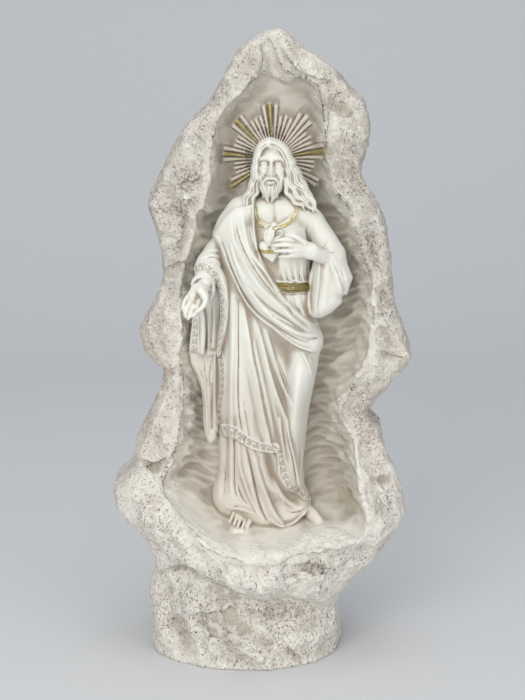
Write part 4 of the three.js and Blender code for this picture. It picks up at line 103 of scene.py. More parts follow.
# limbs: rows of (x, z, half width, h of the axis, half depth) | plates: (x, z, h, slope x, slope z), thickness, edge, outline | folds: width each side, crest, rows of (x, z, height)
FIGURE = [
 ("robe and mantle", dict(k=7, kj=2, limbs=[
  ("chest", [(6.6, 285.7, 15.1, 1, 14.5), (9.1, 270.8, 20.1, 1, 18.5), (11.7, 242.2, 19.5, 0, 19), (11.1, 225, 22.1, 0, 20)]),
  ("shoulders", [(-17.3, 278.5, 6.9, 0, 11), (-7.2, 287.5, 7.5, 1, 13), (7.8, 289.4, 7.5, 1, 13), (22.2, 288.1, 8.2, 1, 13), (31.1, 281.7, 7.9, 0, 12)]),
  ("skirt", [(10.4, 229.4, 22.7, 0, 20), (5.7, 203.8, 30.2, 0, 22), (1, 167.8, 29, -1, 22), (-1, 141.5, 27.8, -1, 23), (-1.9, 121.6, 27.1, -1, 24), (-1, 102.8, 29.6, -1, 24)]),
  ("thigh", [(17.4, 217.2, 10, 4, 18), (24.3, 198.6, 8.8, 8, 17), (23.1, 184.4, 8.4, 11, 18), (20.3, 168.4, 8.1, 9, 17.5), (18.5, 153.1, 7.8, 8, 17), (16.7, 132.5, 7.8, 5, 17), (16.8, 117.2, 7.8, 5, 17)]),
  ("hem", [(-16.5, 103.9, 14.5, 2, 20), (-0.3, 96.3, 13.8, 5, 22), (14.5, 94.5, 11.3, 6, 21), (24.2, 98.7, 6.9, 5, 19)]),
  ("sash", [(-14, 289.7, 6.9, 5, 13), (-15.9, 278.6, 11.9, 5, 16), (-14, 265.1, 11.3, 7, 16.5), (-8.4, 250.8, 10, 8, 17), (-0.3, 236.8, 10, 7, 18), (11.7, 223.2, 11.3, 5, 19), (23.7, 212, 9.4, 4, 18), (30.8, 207.2, 6.9, 3, 16)]),
  ("side fall", [(-24.3, 270.2, 4.4, 0, 8), (-19.9, 256.6, 5.7, 1, 12), (-16.8, 232.6, 9.4, 1, 16), (-15, 200.4, 12.6, 0, 19), (-13.8, 167.6, 12.6, -1, 20)]),
  ("mantle shoulder", [(-9.7, 291.3, 5, 3, 9), (-15.3, 287.7, 5.7, 4, 10), (-20, 282.7, 5, 4, 9.5), (-24.5, 277.8, 3.8, 3, 8.5), (-27.7, 274.4, 2.3, 2, 6.5)]),
 ], plates=[
 ], folds=[
  ("neck hollow", 10.54, 10.54, 1, [(8.4, 296.3, -2.4), (8.3, 289.8, -2.4), (8.4, 284.8, -1.6)]),
  ("chest form", 8.68, 8.68, 1, [(18.3, 279.1, 0.6), (19.2, 274.9, 1.2), (18, 268.8, 0)]),
  ("belt", 2.85, 2.85, 0.9, [(9, 242.9, 0.6), (13.4, 242.2, 1.2), (20.3, 241.8, 1.2), (29.1, 241.7, 1)]),
  ("belt line 1", 0.5, 0.5, 0.2, [(10.3, 243.9, -0.4), (15.2, 243.1, -0.6), (21.5, 243.1, -0.6), (29.1, 242.9, -0.4)]),
  ("belt line 2", 0.5, 0.5, 0.2, [(11.5, 241.5, -0.4), (17.1, 240.8, -0.6), (23.4, 240.7, -0.6), (29.1, 240.7, -0.4)]),
  ("under belt", 0.62, 1.61, 0.3, [(12.8, 238.7, -0.8), (18.4, 238.1, -1.4), (23.4, 238, -1.3), (29.1, 238.1, -1)]),
  ("throat", 2.48, 2.48, 1, [(7.1, 294.5, -0.5), (7.4, 289.8, -1), (7.4, 284.8, -0.9)]),
  ("column fold", 2.98, 2.6, 0.9, [(-18.4, 236.6, 0.4), (-18.7, 224.7, 1.6), (-18.9, 209, 2.6), (-19.6, 189.8, 3), (-20.2, 170.4, 3.2), (-20.1, 155.4, 2.8), (-19.7, 145.6, 2)]),
  ("column crease", 0.93, 0.74, 0.2, [(-14.9, 234.2, -0.4), (-15.1, 215.5, -2.2), (-15.1, 196.6, -2.8), (-15.4, 176.1, -2.8), (-14.6, 161, -2.4), (-12.4, 146, -1.6), (-11.8, 140.9, -0.4)]),
  ("second crease", 0.74, 0.74, 0.3, [(-12, 174.2, 0), (-11.1, 164.5, -1.2), (-9.6, 154.6, -1.6), (-7.7, 143.8, -1)]),
  ("long fold 2", 0.93, 6.82, 0.5, [(-12.2, 231.7, 0.4), (-9.7, 220.5, 2.2), (-8.2, 211.8, 3.2), (-6.1, 198, 4), (-3, 183.9, 4.4), (0.2, 165.8, 4.6), (3.4, 151.6, 4.2), (6, 139.9, 3.2)]),
  ("long valley 2", 2.17, 2.17, 0.9, [(-4.1, 213.1, 0), (-2.6, 203.1, -1.2), (0.8, 187.2, -1.6), (4.4, 171, -1.6), (7.7, 154.7, -1.2), (9.2, 141.2, 0)]),
  ("long fold 3", 0.93, 4.96, 0.5, [(-5.3, 223.1, 0.4), (-1.6, 214.5, 1.8), (2.6, 198.2, 3), (7.5, 180.3, 3.6), (13.1, 164.7, 3.2), (15.4, 158.7, 2.2), (17, 148.4, 0.8)]),
  ("long fold 4", 0.87, 2.85, 0.6, [(1.6, 216, 0.3), (4, 210.3, 1.8), (7.5, 198.2, 2.8), (11.7, 185.2, 3), (15.2, 176.6, 2.2), (18.1, 169.5, 0.8)]),
  ("long crease 4", 0.62, 0.87, 0.2, [(8.5, 202, 0), (11, 194.2, -1.2), (14.8, 184.2, -1.6), (17.3, 177, -1.2), (19.7, 169.7, 0)]),
  ("knee", 6.2, 6.2, 1, [(20.9, 203.8, 0), (21.2, 194.9, 1.8), (20.9, 182.9, 2.8), (20.4, 169.7, 2.2), (19.8, 156.5, 0.8), (19.3, 145.7, 0)]),
  ("thigh edge", 0.81, 1.36, 0.5, [(25.3, 201.9, 0.4), (27.2, 198, 1.6), (30, 191.9, 2), (31.6, 183.8, 2), (31.2, 174.7, 1.8), (29.5, 167.1, 1.2), (27.8, 156.9, 0.4)]),
  ("hip hollow", 1.49, 1.49, 0.9, [(30.8, 198.5, -0.6), (32.5, 193.1, -1.4), (33.3, 186.7, -1)]),
  ("hem roll 1", 0.99, 0.81, 0.9, [(-29, 148.6, 0.5), (-24.9, 146.5, 1.2), (-19.3, 147.3, 1.2), (-14.9, 145.1, 1.2), (-9.8, 142, 1.2), (-2.9, 139.4, 1.2), (4.1, 138.5, 1.2), (8.6, 137.9, 0.8)]),
  ("hem roll 2", 0.81, 0.99, 0.9, [(8.8, 137.3, 0.6), (10, 130.1, 1.2), (10, 124.9, 1.2), (11.5, 119.7, 1.2), (15, 115.6, 1.2), (21.5, 109.2, 1), (26.8, 105.4, 0.8), (32, 102.3, 0.4)]),
  ("left fold", 3.47, 3.1, 0.9, [(-26.7, 142.8, 1.4), (-27.1, 125, 2), (-28.3, 112.7, 2.2), (-28.7, 103.4, 1.2)]),
  ("under crease 0", 0.62, 0.87, 0.2, [(-23.7, 124.4, 0), (-24, 116.9, -2), (-24.6, 108.5, -1), (-24.9, 106.2, 0)]),
  ("under fold 1", 2.11, 1.49, 0.9, [(-20.5, 143.7, 1), (-20.7, 127.2, 1.6), (-20.4, 115.5, 1.8), (-19.5, 107.8, 1)]),
  ("under crease 1", 0.68, 0.68, 0.2, [(-17.9, 144, -1.8), (-17.9, 127.8, -3), (-17.8, 116.3, -3), (-16.5, 108.6, -2.6), (-13.1, 104.2, -1.2)]),
  ("under fold 2", 1.61, 1.61, 0.9, [(-15.8, 141.7, 0.8), (-14.5, 127.8, 2.2), (-11, 116.4, 2.8), (-8, 108.4, 2.6), (-4.1, 101.2, 1.6), (-2.4, 97.4, 0.6)]),
  ("pocket", 0.87, 1.24, 0.3, [(-16, 117.2, 0), (-14.6, 111.7, -2.4), (-12.2, 106.6, -2.8), (-9.6, 104, -0.6)]),
  ("under crease 2", 1.12, 1.61, 0.5, [(-10.1, 139.8, -1), (-8.3, 132.8, -2.8), (-5.8, 120.6, -3.6), (-3.2, 108.4, -3.6), (-0.3, 100, -3.2), (2.5, 94.2, -1.6)]),
  ("under fold 3", 1.36, 4.96, 0.7, [(-6.2, 138.7, 0.6), (-3.9, 131.7, 2.8), (-1.8, 123.3, 4), (1.6, 113.4, 4.6), (5.8, 103.4, 4.8), (9.2, 97.5, 4), (13.1, 92, 2.6)]),
  ("spot crease", 0.56, 0.68, 0.2, [(-3.8, 115.4, 0), (-3, 112.1, -1.6), (-1.6, 107.2, -1.2), (-0.7, 104.2, 0)]),
  ("recess", 4.96, 4.34, 1, [(2.9, 136.1, -2), (4.1, 129.6, -4.2), (6.7, 121, -4.4), (11.8, 113, -3.2), (18.3, 105, -1.6), (22.1, 101.7, 0)]),
  ("inner fold", 1.61, 2.48, 0.8, [(6, 121.7, 0), (9.5, 114.4, 1.8), (14.4, 106.6, 2.4), (20.8, 102, 2.4), (27.2, 100.9, 1.6)]),
  ("hem crease", 0.68, 0.81, 0.2, [(15, 100.5, 0), (18.4, 98.5, -2), (22.9, 98.5, -2.4), (26.5, 100.2, -2), (29.2, 101, -0.4)]),
  ("hem lobe", 1.49, 2.85, 0.8, [(5.4, 94.9, 1), (10.5, 91.3, 3), (15.6, 90.8, 3.8), (20.8, 92.9, 3.8), (25.3, 96.3, 3), (29.2, 98.9, 2), (32.5, 100.3, 0.8)]),
  ("ankle roll", 0.99, 1.12, 0.9, [(-23.4, 101.3, 0.6), (-20.1, 100.1, 1.4), (-15.6, 100.5, 1.6), (-10.5, 99.7, 1.8), (-6, 98.1, 1.2), (-3.5, 96.7, 0.4)]),
  ("ankle crease", 0.56, 0.56, 0.2, [(-23, 98.3, -0.6), (-20.8, 99.7, -1.4), (-16.9, 101.9, -1.6), (-12.4, 102.1, -1.4), (-8, 100.6, -0.6)]),
  ("end fold 1", 0.87, 1.86, 0.7, [(10.8, 159.4, 0.8), (11.7, 151.7, 2), (13.2, 141.4, 2.4), (14.5, 134.3, 1.8), (15.8, 129.7, 0.4)]),
  ("end fold 2", 0.81, 2.6, 0.6, [(14.8, 158.7, 0.6), (16.7, 149.8, 2.6), (20.3, 133.9, 3.2), (23.3, 119.5, 3.2), (26.2, 109.9, 2.8), (29.9, 103.6, 2), (33, 101.2, 0.8)]),
  ("end crease", 0.56, 0.81, 0.2, [(14.6, 156.1, -0.6), (16.1, 145.7, -2.2), (19, 134.1, -2.6), (20.9, 122.3, -2.2), (22.1, 113, -0.8)]),
  ("end edge", 1.49, 0.99, 0.9, [(26.9, 147.6, 0.6), (25.8, 134.7, 1.4), (24.8, 123.9, 1.6), (24.9, 116.9, 1.2), (27.6, 108.5, 1), (30.9, 102.5, 0.5)]),
  ("end groove", 0.74, 0.74, 0.3, [(23.4, 146.1, -0.4), (24, 133.6, -1.2), (23.7, 126, -1)]),
  ("mantle rim", 0.68, 1.49, 0.8, [(-28.6, 273.9, 0.8), (-26.1, 269.7, 1.3), (-23.4, 263.8, 1.4), (-20.3, 255.2, 1.5), (-17.2, 248.4, 1.5), (-13.5, 240, 1.5), (-8.6, 231.4, 1.6), (-1.7, 224.5, 1.7), (6.9, 218.4, 1.7), (14.4, 212.4, 1.8), (20.9, 208.1, 1.9), (27.1, 205.2, 1.9), (33, 203.4, 1.6), (37.8, 204.6, 0.8)]),
  ("rim groove", 0.99, 1.36, 0.8, [(-25.8, 273, 0), (-23, 266.4, -1), (-20.5, 259, -1.4), (-17.4, 251, -1.6), (-14, 243.4, -1.5), (-9.4, 235.6, -1.5), (-3.7, 228.4, -1.5), (4.4, 222.3, -1.5), (13.1, 216.3, -1.5), (20.8, 211.9, -1.3), (28.4, 209.1, -0.8)]),
  ("band fold left", 1.24, 1.36, 0.9, [(-22.6, 279.5, 0), (-20.4, 272.3, 0.8), (-17.9, 263.7, 1.3), (-15.1, 255.8, 1.2), (-12.3, 249, 0.8), (-10.2, 244.6, 0)]),
  ("band slit left", 0.56, 0.68, 0.3, [(-21.3, 270.3, 0), (-20.5, 266.7, -1.2), (-17.8, 258.1, -1.5), (-15.2, 251.3, -1.2), (-12.5, 244.3, -0.8), (-9, 238.7, 0)]),
  ("band fold 1", 1.36, 3.84, 0.55, [(-19.1, 286.3, 0.3), (-18.4, 280.3, 1.6), (-17.8, 274.8, 2.4), (-16, 270.2, 2.7), (-12.4, 263, 3), (-8.7, 255.8, 3), (-4.4, 248.8, 3), (1.8, 241.2, 3), (8, 235.4, 3), (14.2, 229.6, 3), (20.5, 223.1, 2.6), (25.2, 218.7, 1.6), (29.1, 215.7, 0.6)]),
  ("band crease 1", 1.05, 0.93, 0.4, [(-16.1, 284, -0.4), (-15.1, 276.6, -1.6), (-12.3, 268.4, -2), (-8.5, 260.9, -2), (-4.1, 253.5, -2), (0.7, 246.5, -1.8), (5.9, 240.4, -1.2), (10.9, 235.1, 0)]),
  ("band fold 2", 1.36, 2.23, 0.8, [(-11.6, 288.2, 0.4), (-11.2, 282, 1.5), (-9.8, 274, 2), (-7.4, 266.5, 2.2), (-3.2, 259.8, 2.2), (1.7, 252.9, 2.2), (5.5, 246.8, 1.8), (8.8, 241.5, 1.2), (12.7, 236.2, 0.3)]),
  ("band crease 2", 0.68, 0.81, 0.3, [(-8.4, 284.2, 0), (-7.5, 275.6, -0.9), (-5, 267.6, -1.2), (-1.2, 260.1, -1.2), (3.2, 252.7, -1), (6.9, 245.9, -0.5)]),
  ("mantle inner edge", 0.62, 1.86, 0.8, [(-5.3, 292.2, 0.6), (-4.6, 284.7, 1), (-4.3, 277.9, 1.2), (-2.8, 268.1, 1.3), (-0.3, 260.3, 1.4), (4, 251.7, 1.4), (7.8, 245.5, 1.2), (10.9, 240.5, 1), (17.1, 233, 0.8), (24, 225.3, 0.8), (31.1, 218.6, 0.6)]),
  ("lower plane", 2.23, 2.23, 0.9, [(-7.7, 243.4, -0.6), (-2.4, 236.9, -1.6), (4, 231.1, -1.8), (11.5, 225.5, -1.8), (18.9, 220.5, -1.4), (25.2, 216.3, -0.6)]),
  ("gather ridge", 1.86, 2.11, 0.9, [(-2.8, 232.6, 0.3), (2.8, 227.8, 1.4), (8.4, 222.9, 2.2), (14.3, 219, 2.8), (20.8, 215.8, 3.2), (27.8, 213.3, 3.2), (33.3, 212.2, 2.8), (38.2, 209.7, 1.4)]),
  ("gather slit", 0.56, 0.87, 0.2, [(4.7, 227.9, 0), (6.8, 226, -2.4), (11.1, 223.4, -3), (15.8, 220.8, -2.4), (20.2, 218.2, -0.6)]),
  ("gather slit 2", 0.62, 0.87, 0.2, [(25.9, 211.4, 0), (29.7, 210.5, -1.6), (33.3, 210.6, -2.4), (36.8, 210.8, -2), (39.4, 208.5, -0.6)]),
  ("gather fold 2", 0.99, 1.61, 0.7, [(14.6, 228, 0.3), (18.3, 224.6, 1.4), (22.7, 220.9, 2), (27.8, 217.3, 2), (32.8, 215.3, 1.4), (37.2, 212.5, 0.5)]),
  ("hip pocket", 1.61, 1.61, 0.9, [(30.4, 220.1, -0.8), (33.8, 217.4, -2.2), (37.2, 214.1, -1.4)]),
  ("armpit", 0.87, 1.36, 0.4, [(27.7, 280, 0), (27.6, 276.8, -1.4), (28.3, 272.5, -2.2), (28.5, 271.1, -1)]),
  ("breast form", 7.44, 7.44, 1, [(18.3, 279.1, 0.4), (19.2, 274.9, 1), (18, 268.8, 0)]),
  ("ruffle 1", 1.05, 0.99, 0.8, [(11.5, 258.4, 0.2), (11.9, 253.4, 1.2), (13.1, 249, 1.8), (14, 246.2, 1.4)]),
  ("ruffle 2", 1.05, 0.99, 0.8, [(16.2, 258.3, 0.2), (16.2, 253.3, 1.4), (17.1, 248.9, 2), (18, 246.3, 1.4)]),
  ("ruffle 3", 1.18, 1.05, 0.8, [(20.8, 258.7, 0.2), (20.6, 253, 1.5), (20.9, 248.6, 2), (21.8, 245.7, 1.4)]),
  ("ruffle 4", 1.05, 0.93, 0.8, [(25.6, 258.8, 0.2), (24.9, 252.6, 1.5), (25.2, 248.3, 1.9), (25.7, 245.3, 1.3)]),
  ("ruffle crease 1", 0.56, 0.56, 0.2, [(13.8, 257.1, 0), (14.4, 252.1, -1.2), (15.6, 247.6, -1.6)]),
  ("ruffle crease 2", 0.56, 0.56, 0.2, [(18.6, 256.9, 0), (18.6, 251.9, -1.5), (19.5, 247.5, -1.8)]),
  ("ruffle crease 3", 0.56, 0.56, 0.2, [(23, 257.2, 0), (22.8, 251.6, -1.5), (23.3, 247.2, -1.8)]),
  ("side crease", 0.74, 0.87, 0.3, [(28.3, 259.7, -0.6), (28.2, 253.4, -2), (28.4, 246, -2.2)]),
  ("over belt", 1.05, 0.56, 0.7, [(9, 246.5, 0.6), (11.5, 245.9, 1.2), (14.4, 246.3, 1.6), (17.5, 245.6, 1.8), (20.3, 246.4, 1.5), (23.4, 245.4, 1.8), (26.4, 245.4, 1.4), (29.2, 244.5, 0.8)]),
  ("belly fold 1", 1.61, 1.86, 0.8, [(15.5, 239.1, 0.4), (16.7, 233.6, 1.3), (19.4, 228.1, 1), (22.1, 223.7, 0)]),
  ("belly fold 2", 1.61, 1.49, 0.8, [(21.9, 238.7, 0.5), (23.2, 232.5, 1.4), (25.3, 226.3, 1), (27.2, 222.5, 0)]),
  ("belly crease", 0.74, 0.74, 0.3, [(19.3, 238.3, -0.4), (20.3, 232.8, -1.2), (22.8, 227.1, -0.8)]),
 ], steps=[
  ("sash", 1.5, 0.9, [(-12.2, 292.8), (-16.5, 292), (-20.5, 289.1), (-24.5, 284.3), (-27.9, 279.1), (-30.7, 274.6), (-29.8, 273.1), (-27, 269.2), (-24.2, 262.9), (-21.1, 254.3), (-18, 247.5), (-14.2, 239.4), (-9.2, 230.5), (-2.3, 223.4), (6.4, 217.1), (13.9, 211.1), (20.5, 206.8), (27.2, 203.7), (33.7, 201), (40.4, 200.6), (40.2, 216.1), (32.4, 218.9), (25.9, 224), (19.6, 230), (14.6, 235.1), (10.5, 240.5), (7.6, 245.1), (3.8, 251.2), (-0.4, 259.6), (-3, 267.5), (-4.7, 278.5), (-5.3, 289.1), (-5.5, 294.1)]),
  ("mantle", 1.5, 1, [(-12.2, 292.8), (-16.5, 292), (-20.5, 289.1), (-24.5, 284.3), (-27.9, 279.1), (-30.7, 274.6), (-29.8, 273.1), (-29.4, 268.3), (-29.5, 260.6), (-28.9, 253.5), (-29.3, 233.2), (-29.5, 200.9), (-28.7, 194.2), (-28.1, 185), (-28.3, 175.2), (-28.9, 165.5), (-29.2, 156.2), (-29.5, 148.7), (-28.1, 145.3), (-25, 145.6), (-19.3, 146.4), (-14.9, 144.2), (-9.8, 141.1), (-2.9, 138.4), (4.1, 137.5), (8.6, 137), (9.9, 130.1), (9.6, 124.9), (11.1, 119.4), (14.7, 115), (21.3, 108.5), (26, 105.2), (31.3, 101.2), (34.8, 95.6), (44.2, 99.2), (43.1, 198.6), (40.2, 216.1), (32.4, 218.9), (25.9, 224), (19.6, 230), (14.6, 235.1), (10.5, 240.5), (7.6, 245.1), (3.8, 251.2), (-0.4, 259.6), (-3, 267.5), (-4.7, 278.5), (-5.3, 289.1), (-5.5, 294.1)]),
  ("collar", 0.7, 0.8, [(-6.5, 292.8), (-5.5, 284.8), (-3.1, 280.5), (2.5, 279.1), (11.1, 278.6), (18.4, 282.3), (21.8, 287.1), (23.9, 292.4), (21.1, 292.5), (19, 288.4), (16, 285), (10.3, 281.8), (3.3, 281.4), (-1.3, 283.4), (-3.2, 285.8), (-3.7, 292.7)]),
  ("belt band", 1, 0.6, [(8.1, 244.7), (11.5, 245.9), (17.1, 245.1), (23.4, 244.9), (29.7, 244.7), (29.7, 239.4), (23.4, 238.8), (15.9, 238.8), (11.5, 240.2), (9.6, 241.6)]),
 ])),
 ("neck", dict(k=3, kj=1.2, limbs=[
  ("neck", [(5, 303.1, 6, 3, 8), (5.6, 293.7, 6.3, 2, 8.5), (6.3, 284.9, 8.8, 1, 9)]),
 ], plates=[
 ], folds=[
  ("throat tendon L", 0.99, 0.99, 0.8, [(1.6, 295.6, 0.2), (3.4, 290.4, 0.8), (5.3, 286.1, 0.3)]),
  ("throat tendon R", 0.99, 0.99, 0.8, [(10.2, 296.3, 0.2), (8.3, 291, 0.8), (6.8, 286.1, 0.3)]),
 ], steps=[
 ])),
 ("outstretched arm", dict(k=4, kj=1, limbs=[
  ("upper arm", [(-24.9, 270.1, 5, -1, 8.5), (-29.3, 264.9, 6.2, 2, 10), (-32, 259.7, 6.9, 6, 10.5), (-33.6, 255.1, 7.5, 10, 10.5), (-34, 251, 7.8, 12, 9.4)]),
  ("sleeve end", [(-33.8, 255.3, 7.2, 11, 10), (-34.7, 249.6, 6.9, 16.5, 8.2)]),
 ], plates=[
 ], folds=[
  ("bunch 1", 1.12, 0.81, 0.8, [(-35.3, 263.8, 0.2), (-31.5, 265.3, 0.9), (-27.2, 264.3, 1.1), (-22.7, 262.6, 0.6)]),
  ("bunch 2", 1.18, 0.81, 0.8, [(-37, 260.8, 0.3), (-32.6, 262.4, 1.4), (-27.7, 261.5, 1.5), (-23.3, 259, 1), (-21.4, 255.8, 0.2)]),
  ("bunch 3", 1.18, 0.81, 0.8, [(-38.4, 258, 0.4), (-34.4, 259.6, 1.6), (-29.5, 259, 1.7), (-25.5, 255.5, 1.4), (-22.8, 250.7, 0.6)]),
  ("crease 1", 0.56, 0.56, 0.2, [(-35.8, 262.3, -0.3), (-32.1, 263.6, -1.1), (-27.8, 262.8, -1.2), (-23.3, 260.8, -0.4)]),
  ("crease 2", 0.56, 0.56, 0.2, [(-37.6, 259.1, -0.4), (-33.5, 261, -1.3), (-28.9, 260.4, -1.4), (-24.9, 256.7, -1.2), (-22.1, 253.6, -0.3)]),
  ("crease 3", 0.56, 0.56, 0.2, [(-39.2, 256.3, -0.4), (-35.6, 258, -1.2), (-30.9, 257.6, -1.4), (-27, 254.2, -1.3), (-24.3, 250, -0.6)]),
  ("cuff mouth", 2.11, 3.1, 0.7, [(-40.7, 245.5, -0.8), (-38.4, 247.9, -2.6), (-35.4, 248.5, -3.2), (-32.6, 246.4, -3.2), (-31.8, 239.6, -1.8)]),
 ], steps=[
 ])),
 ("cloth hanging from the outstretched arm", dict(k=1.6, kj=0.8, limbs=[
  ("outer band", [(-30, 254.1, 4, 12.5, 7), (-25.7, 246.7, 3.7, 14, 6.2), (-23.9, 237.9, 2.9, 14.5, 5.4), (-23.7, 228.4, 2.6, 14.5, 5.2), (-24.4, 218.7, 2.6, 14, 5), (-25.8, 209.6, 2.4, 13, 5), (-27.2, 201.7, 1.7, 12, 4.6), (-28, 197.6, 0.8, 11.5, 3)]),
  ("strip fold", [(-39, 228.7, 1.4, 13.6, 3), (-37.6, 222.6, 1.6, 14.6, 3.3), (-37.4, 212.4, 1.6, 14.8, 3.3), (-37.9, 200.4, 1.4, 14.4, 3.1)]),
  ("undersleeve", [(-43.5, 244.7, 1.2, 21, 2.8), (-42, 247.6, 1.4, 21, 3.1), (-38.7, 249.6, 1.5, 21.5, 3.3), (-35, 249.5, 1.5, 21.5, 3.3), (-32, 246.8, 1.5, 20.5, 3.2), (-30.7, 242.5, 1.4, 19.5, 3), (-31.1, 238, 1.1, 18.6, 2.7), (-33, 234.4, 0.7, 18, 2)]),
  ("undersleeve ring", [(-41.7, 243.3, 0.7, 22.6, 2), (-39.9, 245.9, 0.7, 23, 2.1), (-36.8, 246.7, 0.8, 23, 2.2), (-34.1, 245.2, 0.8, 22.6, 2.1), (-33, 241.3, 0.7, 21.6, 2)]),
 ], plates=[
  ("sleeve hollow", (-30, 217.8, 5, -0.05, 0.05), 5, 3.4, [(-37.6, 237.7), (-27.5, 241.5), (-25, 232.6), (-25.3, 219.7), (-26, 200.4), (-31.6, 196.5), (-37.3, 196.5)]),
  ("strip", (-41.2, 212.4, 11.5, 0, 0), 4.4, 2.4, [(-44.1, 221.4), (-41.2, 225.9), (-37.7, 227.8), (-36.6, 214.4), (-37.6, 199), (-40.2, 199.2), (-46.6, 201.3), (-45.6, 210.6)]),
  ("lower tail", (-36.1, 169.1, 2.6, 0.06, 0), 6, 3.4, [(-47.2, 199.3), (-36, 202.6), (-27.4, 201.3), (-26.9, 177.1), (-27.7, 154.1), (-29.4, 141.4), (-32.6, 138.1), (-35.2, 138.5), (-37.4, 144.8), (-38.5, 154.1), (-38.4, 165.9), (-39.7, 175.1), (-42.6, 183.7), (-46, 190.9)]),
 ], folds=[
  ("tail fold", 0.99, 1.49, 0.9, [(-44.3, 194.1, 0.6), (-40.1, 185.1, 1.4), (-37, 174.7, 1.6), (-35.8, 161.6, 1.8), (-35.5, 148.3, 1.4), (-34, 141.8, 0.5)]),
  ("tail groove 1", 0.62, 0.74, 0.3, [(-37.4, 196.9, -0.8), (-36.8, 186.5, -1.4), (-34.9, 177.4, -0.6)]),
  ("tail crease", 0.56, 0.74, 0.3, [(-32.1, 195.6, 0), (-33.2, 189.1, -1.8), (-33.7, 182.6, -1.6), (-33.3, 173.5, -0.4)]),
  ("tail valley", 1.49, 1.49, 0.9, [(-32.5, 178.7, -0.6), (-32.6, 165, -1.8), (-32.4, 149.8, -1.2)]),
  ("tail fold 2", 1.12, 1.12, 0.9, [(-29.9, 199.6, 0.6), (-30.6, 186.6, 1.6), (-30.6, 171.6, 1.4), (-30.3, 155.1, 1.2)]),
  ("lace column", 1.49, 1.12, 0.9, [(-27.1, 202.3, 0.8), (-26.1, 194.9, 1.8), (-25.3, 187.4, 1.8), (-25.9, 176, 1.8), (-26.9, 165.7, 1.6), (-28, 155.7, 1.6), (-28.5, 147.3, 1.2)]),
  ("column groove", 0.5, 0.5, 0.2, [(-23.7, 200.6, -0.8), (-23.7, 189, -1.2), (-24.1, 176, -1.2), (-25, 162.4, -1.2), (-25.4, 151.5, -0.6)]),
  ("band roll", 0.74, 0.99, 0.9, [(-25.8, 249.7, 0.5), (-22.6, 242.1, 1), (-21.8, 233.2, 1.1), (-22.2, 222.9, 1), (-23.8, 212.7, 0.6)]),
  ("band groove", 0.5, 0.5, 0.3, [(-24.9, 244.7, -0.6), (-23, 236.5, -0.9), (-22.9, 227.6, -0.9), (-23.7, 218, -0.6)]),
  ("hollow fold 1", 0.93, 0.93, 0.8, [(-34.4, 225.5, 0), (-34.1, 216.5, 1), (-34.3, 204.2, 1.2), (-34.9, 198.3, 0.6)]),
  ("hollow fold 2", 0.93, 1.24, 0.8, [(-30.3, 236.6, 0.2), (-30, 225.5, 1), (-30.3, 213.9, 1), (-31.2, 203.5, 0.5)]),
  ("hollow groove", 0.74, 0.74, 0.4, [(-32.2, 230.7, -0.4), (-31.9, 219.1, -1.2), (-32.7, 206.1, -0.9)]),
  ("strip groove", 0.5, 0.62, 0.3, [(-39.4, 225.3, -0.4), (-39.4, 213.8, -0.9), (-39.8, 200.9, -0.8)]),
  ("strip edge", 0.5, 0.74, 0.8, [(-44, 220.8, 0.4), (-45.2, 210.8, 0.8), (-46, 201.8, 0.8)]),
  ("strip hem", 0.56, 0.68, 0.8, [(-46.4, 201.6, 0.8), (-43, 198.8, 1), (-37.7, 200.1, 0.9)]),
 ], steps=[
 ])),
 ("bent arm and its wide sleeve", dict(k=5, kj=1.2, limbs=[
  ("upper arm", [(30.4, 283.6, 7.2, 0, 12), (34.8, 276.9, 7.5, 2, 12), (38.9, 269.6, 8.2, 4, 12), (42.6, 262.2, 9.1, 6, 11.5)]),
 ], plates=[
  ("hanging sleeve", (41.5, 242.2, 9, -0.06, 0), 12, 9, [(31.6, 256.3), (35.9, 265.1), (43.4, 267.6), (50.3, 262.6), (53.5, 255.6), (57, 247.4), (55, 241.7), (53.3, 236.3), (50.2, 236), (50.1, 231.3), (43.7, 225.5), (36.8, 222), (31.8, 222), (28.4, 225.2), (27.3, 231.6), (28.3, 241.1), (29.5, 249.3)]),
 ], folds=[
  ("elbow crease", 0.56, 0.81, 0.3, [(41.4, 273.4, 0), (40.5, 271, -1.6), (38.6, 268, -1.7), (37, 266.6, -0.4)]),
  ("seam ridge", 0.56, 1.36, 0.7, [(36, 266.6, 0.4), (40, 265.7, 1), (44.3, 265, 1.2), (48.2, 263.6, 1.2), (51.5, 261.1, 0.8)]),
  ("seam groove", 0.43, 0.5, 0.2, [(36.6, 265.6, -0.4), (40.6, 264.9, -1.2), (45, 263.9, -1.6), (48.6, 262.4, -1.6), (51.4, 260, -0.4)]),
  ("shoulder form", 2.17, 1.86, 0.9, [(30.8, 287.4, 0), (32.6, 281.3, 0.7), (33.9, 274, 0.5), (33.8, 269.4, 0)]),
  ("front edge", 0.87, 3.1, 0.7, [(35.9, 265.5, 0.6), (35.5, 256.6, 2), (35, 247.3, 2.4), (34.2, 237.9, 2.4), (33.7, 229.7, 2), (34.2, 223.3, 1.2)]),
  ("sleeve inside", 2.23, 1.61, 0.9, [(32.5, 257.4, -0.8), (31.4, 249.8, -2.8), (30.6, 240.7, -3.4), (30.5, 232.6, -3), (31.5, 226.1, -1.4)]),
  ("inner rim", 0.81, 0.81, 0.9, [(29.5, 245.8, 0.6), (28.5, 236.5, 1.4), (28.7, 230.3, 1.6), (30.7, 224.3, 1.2)]),
  ("soft fold", 2.48, 2.48, 0.9, [(38.9, 261.5, 0.4), (39.8, 250.5, 0.9), (39.1, 238, 0.9), (37.8, 228.3, 0.4)]),
  ("layer ridge", 0.74, 2.73, 0.6, [(40.8, 262.5, 0.4), (45, 253.6, 1.3), (48, 244.8, 1.8), (49.8, 236.9, 1.6), (50.1, 231.9, 0.8)]),
  ("layer shadow", 0.99, 0.62, 0.3, [(43.7, 258.6, 0), (47.2, 251, -0.9), (50.1, 242.7, -1.6), (51.4, 236.8, -1.2)]),
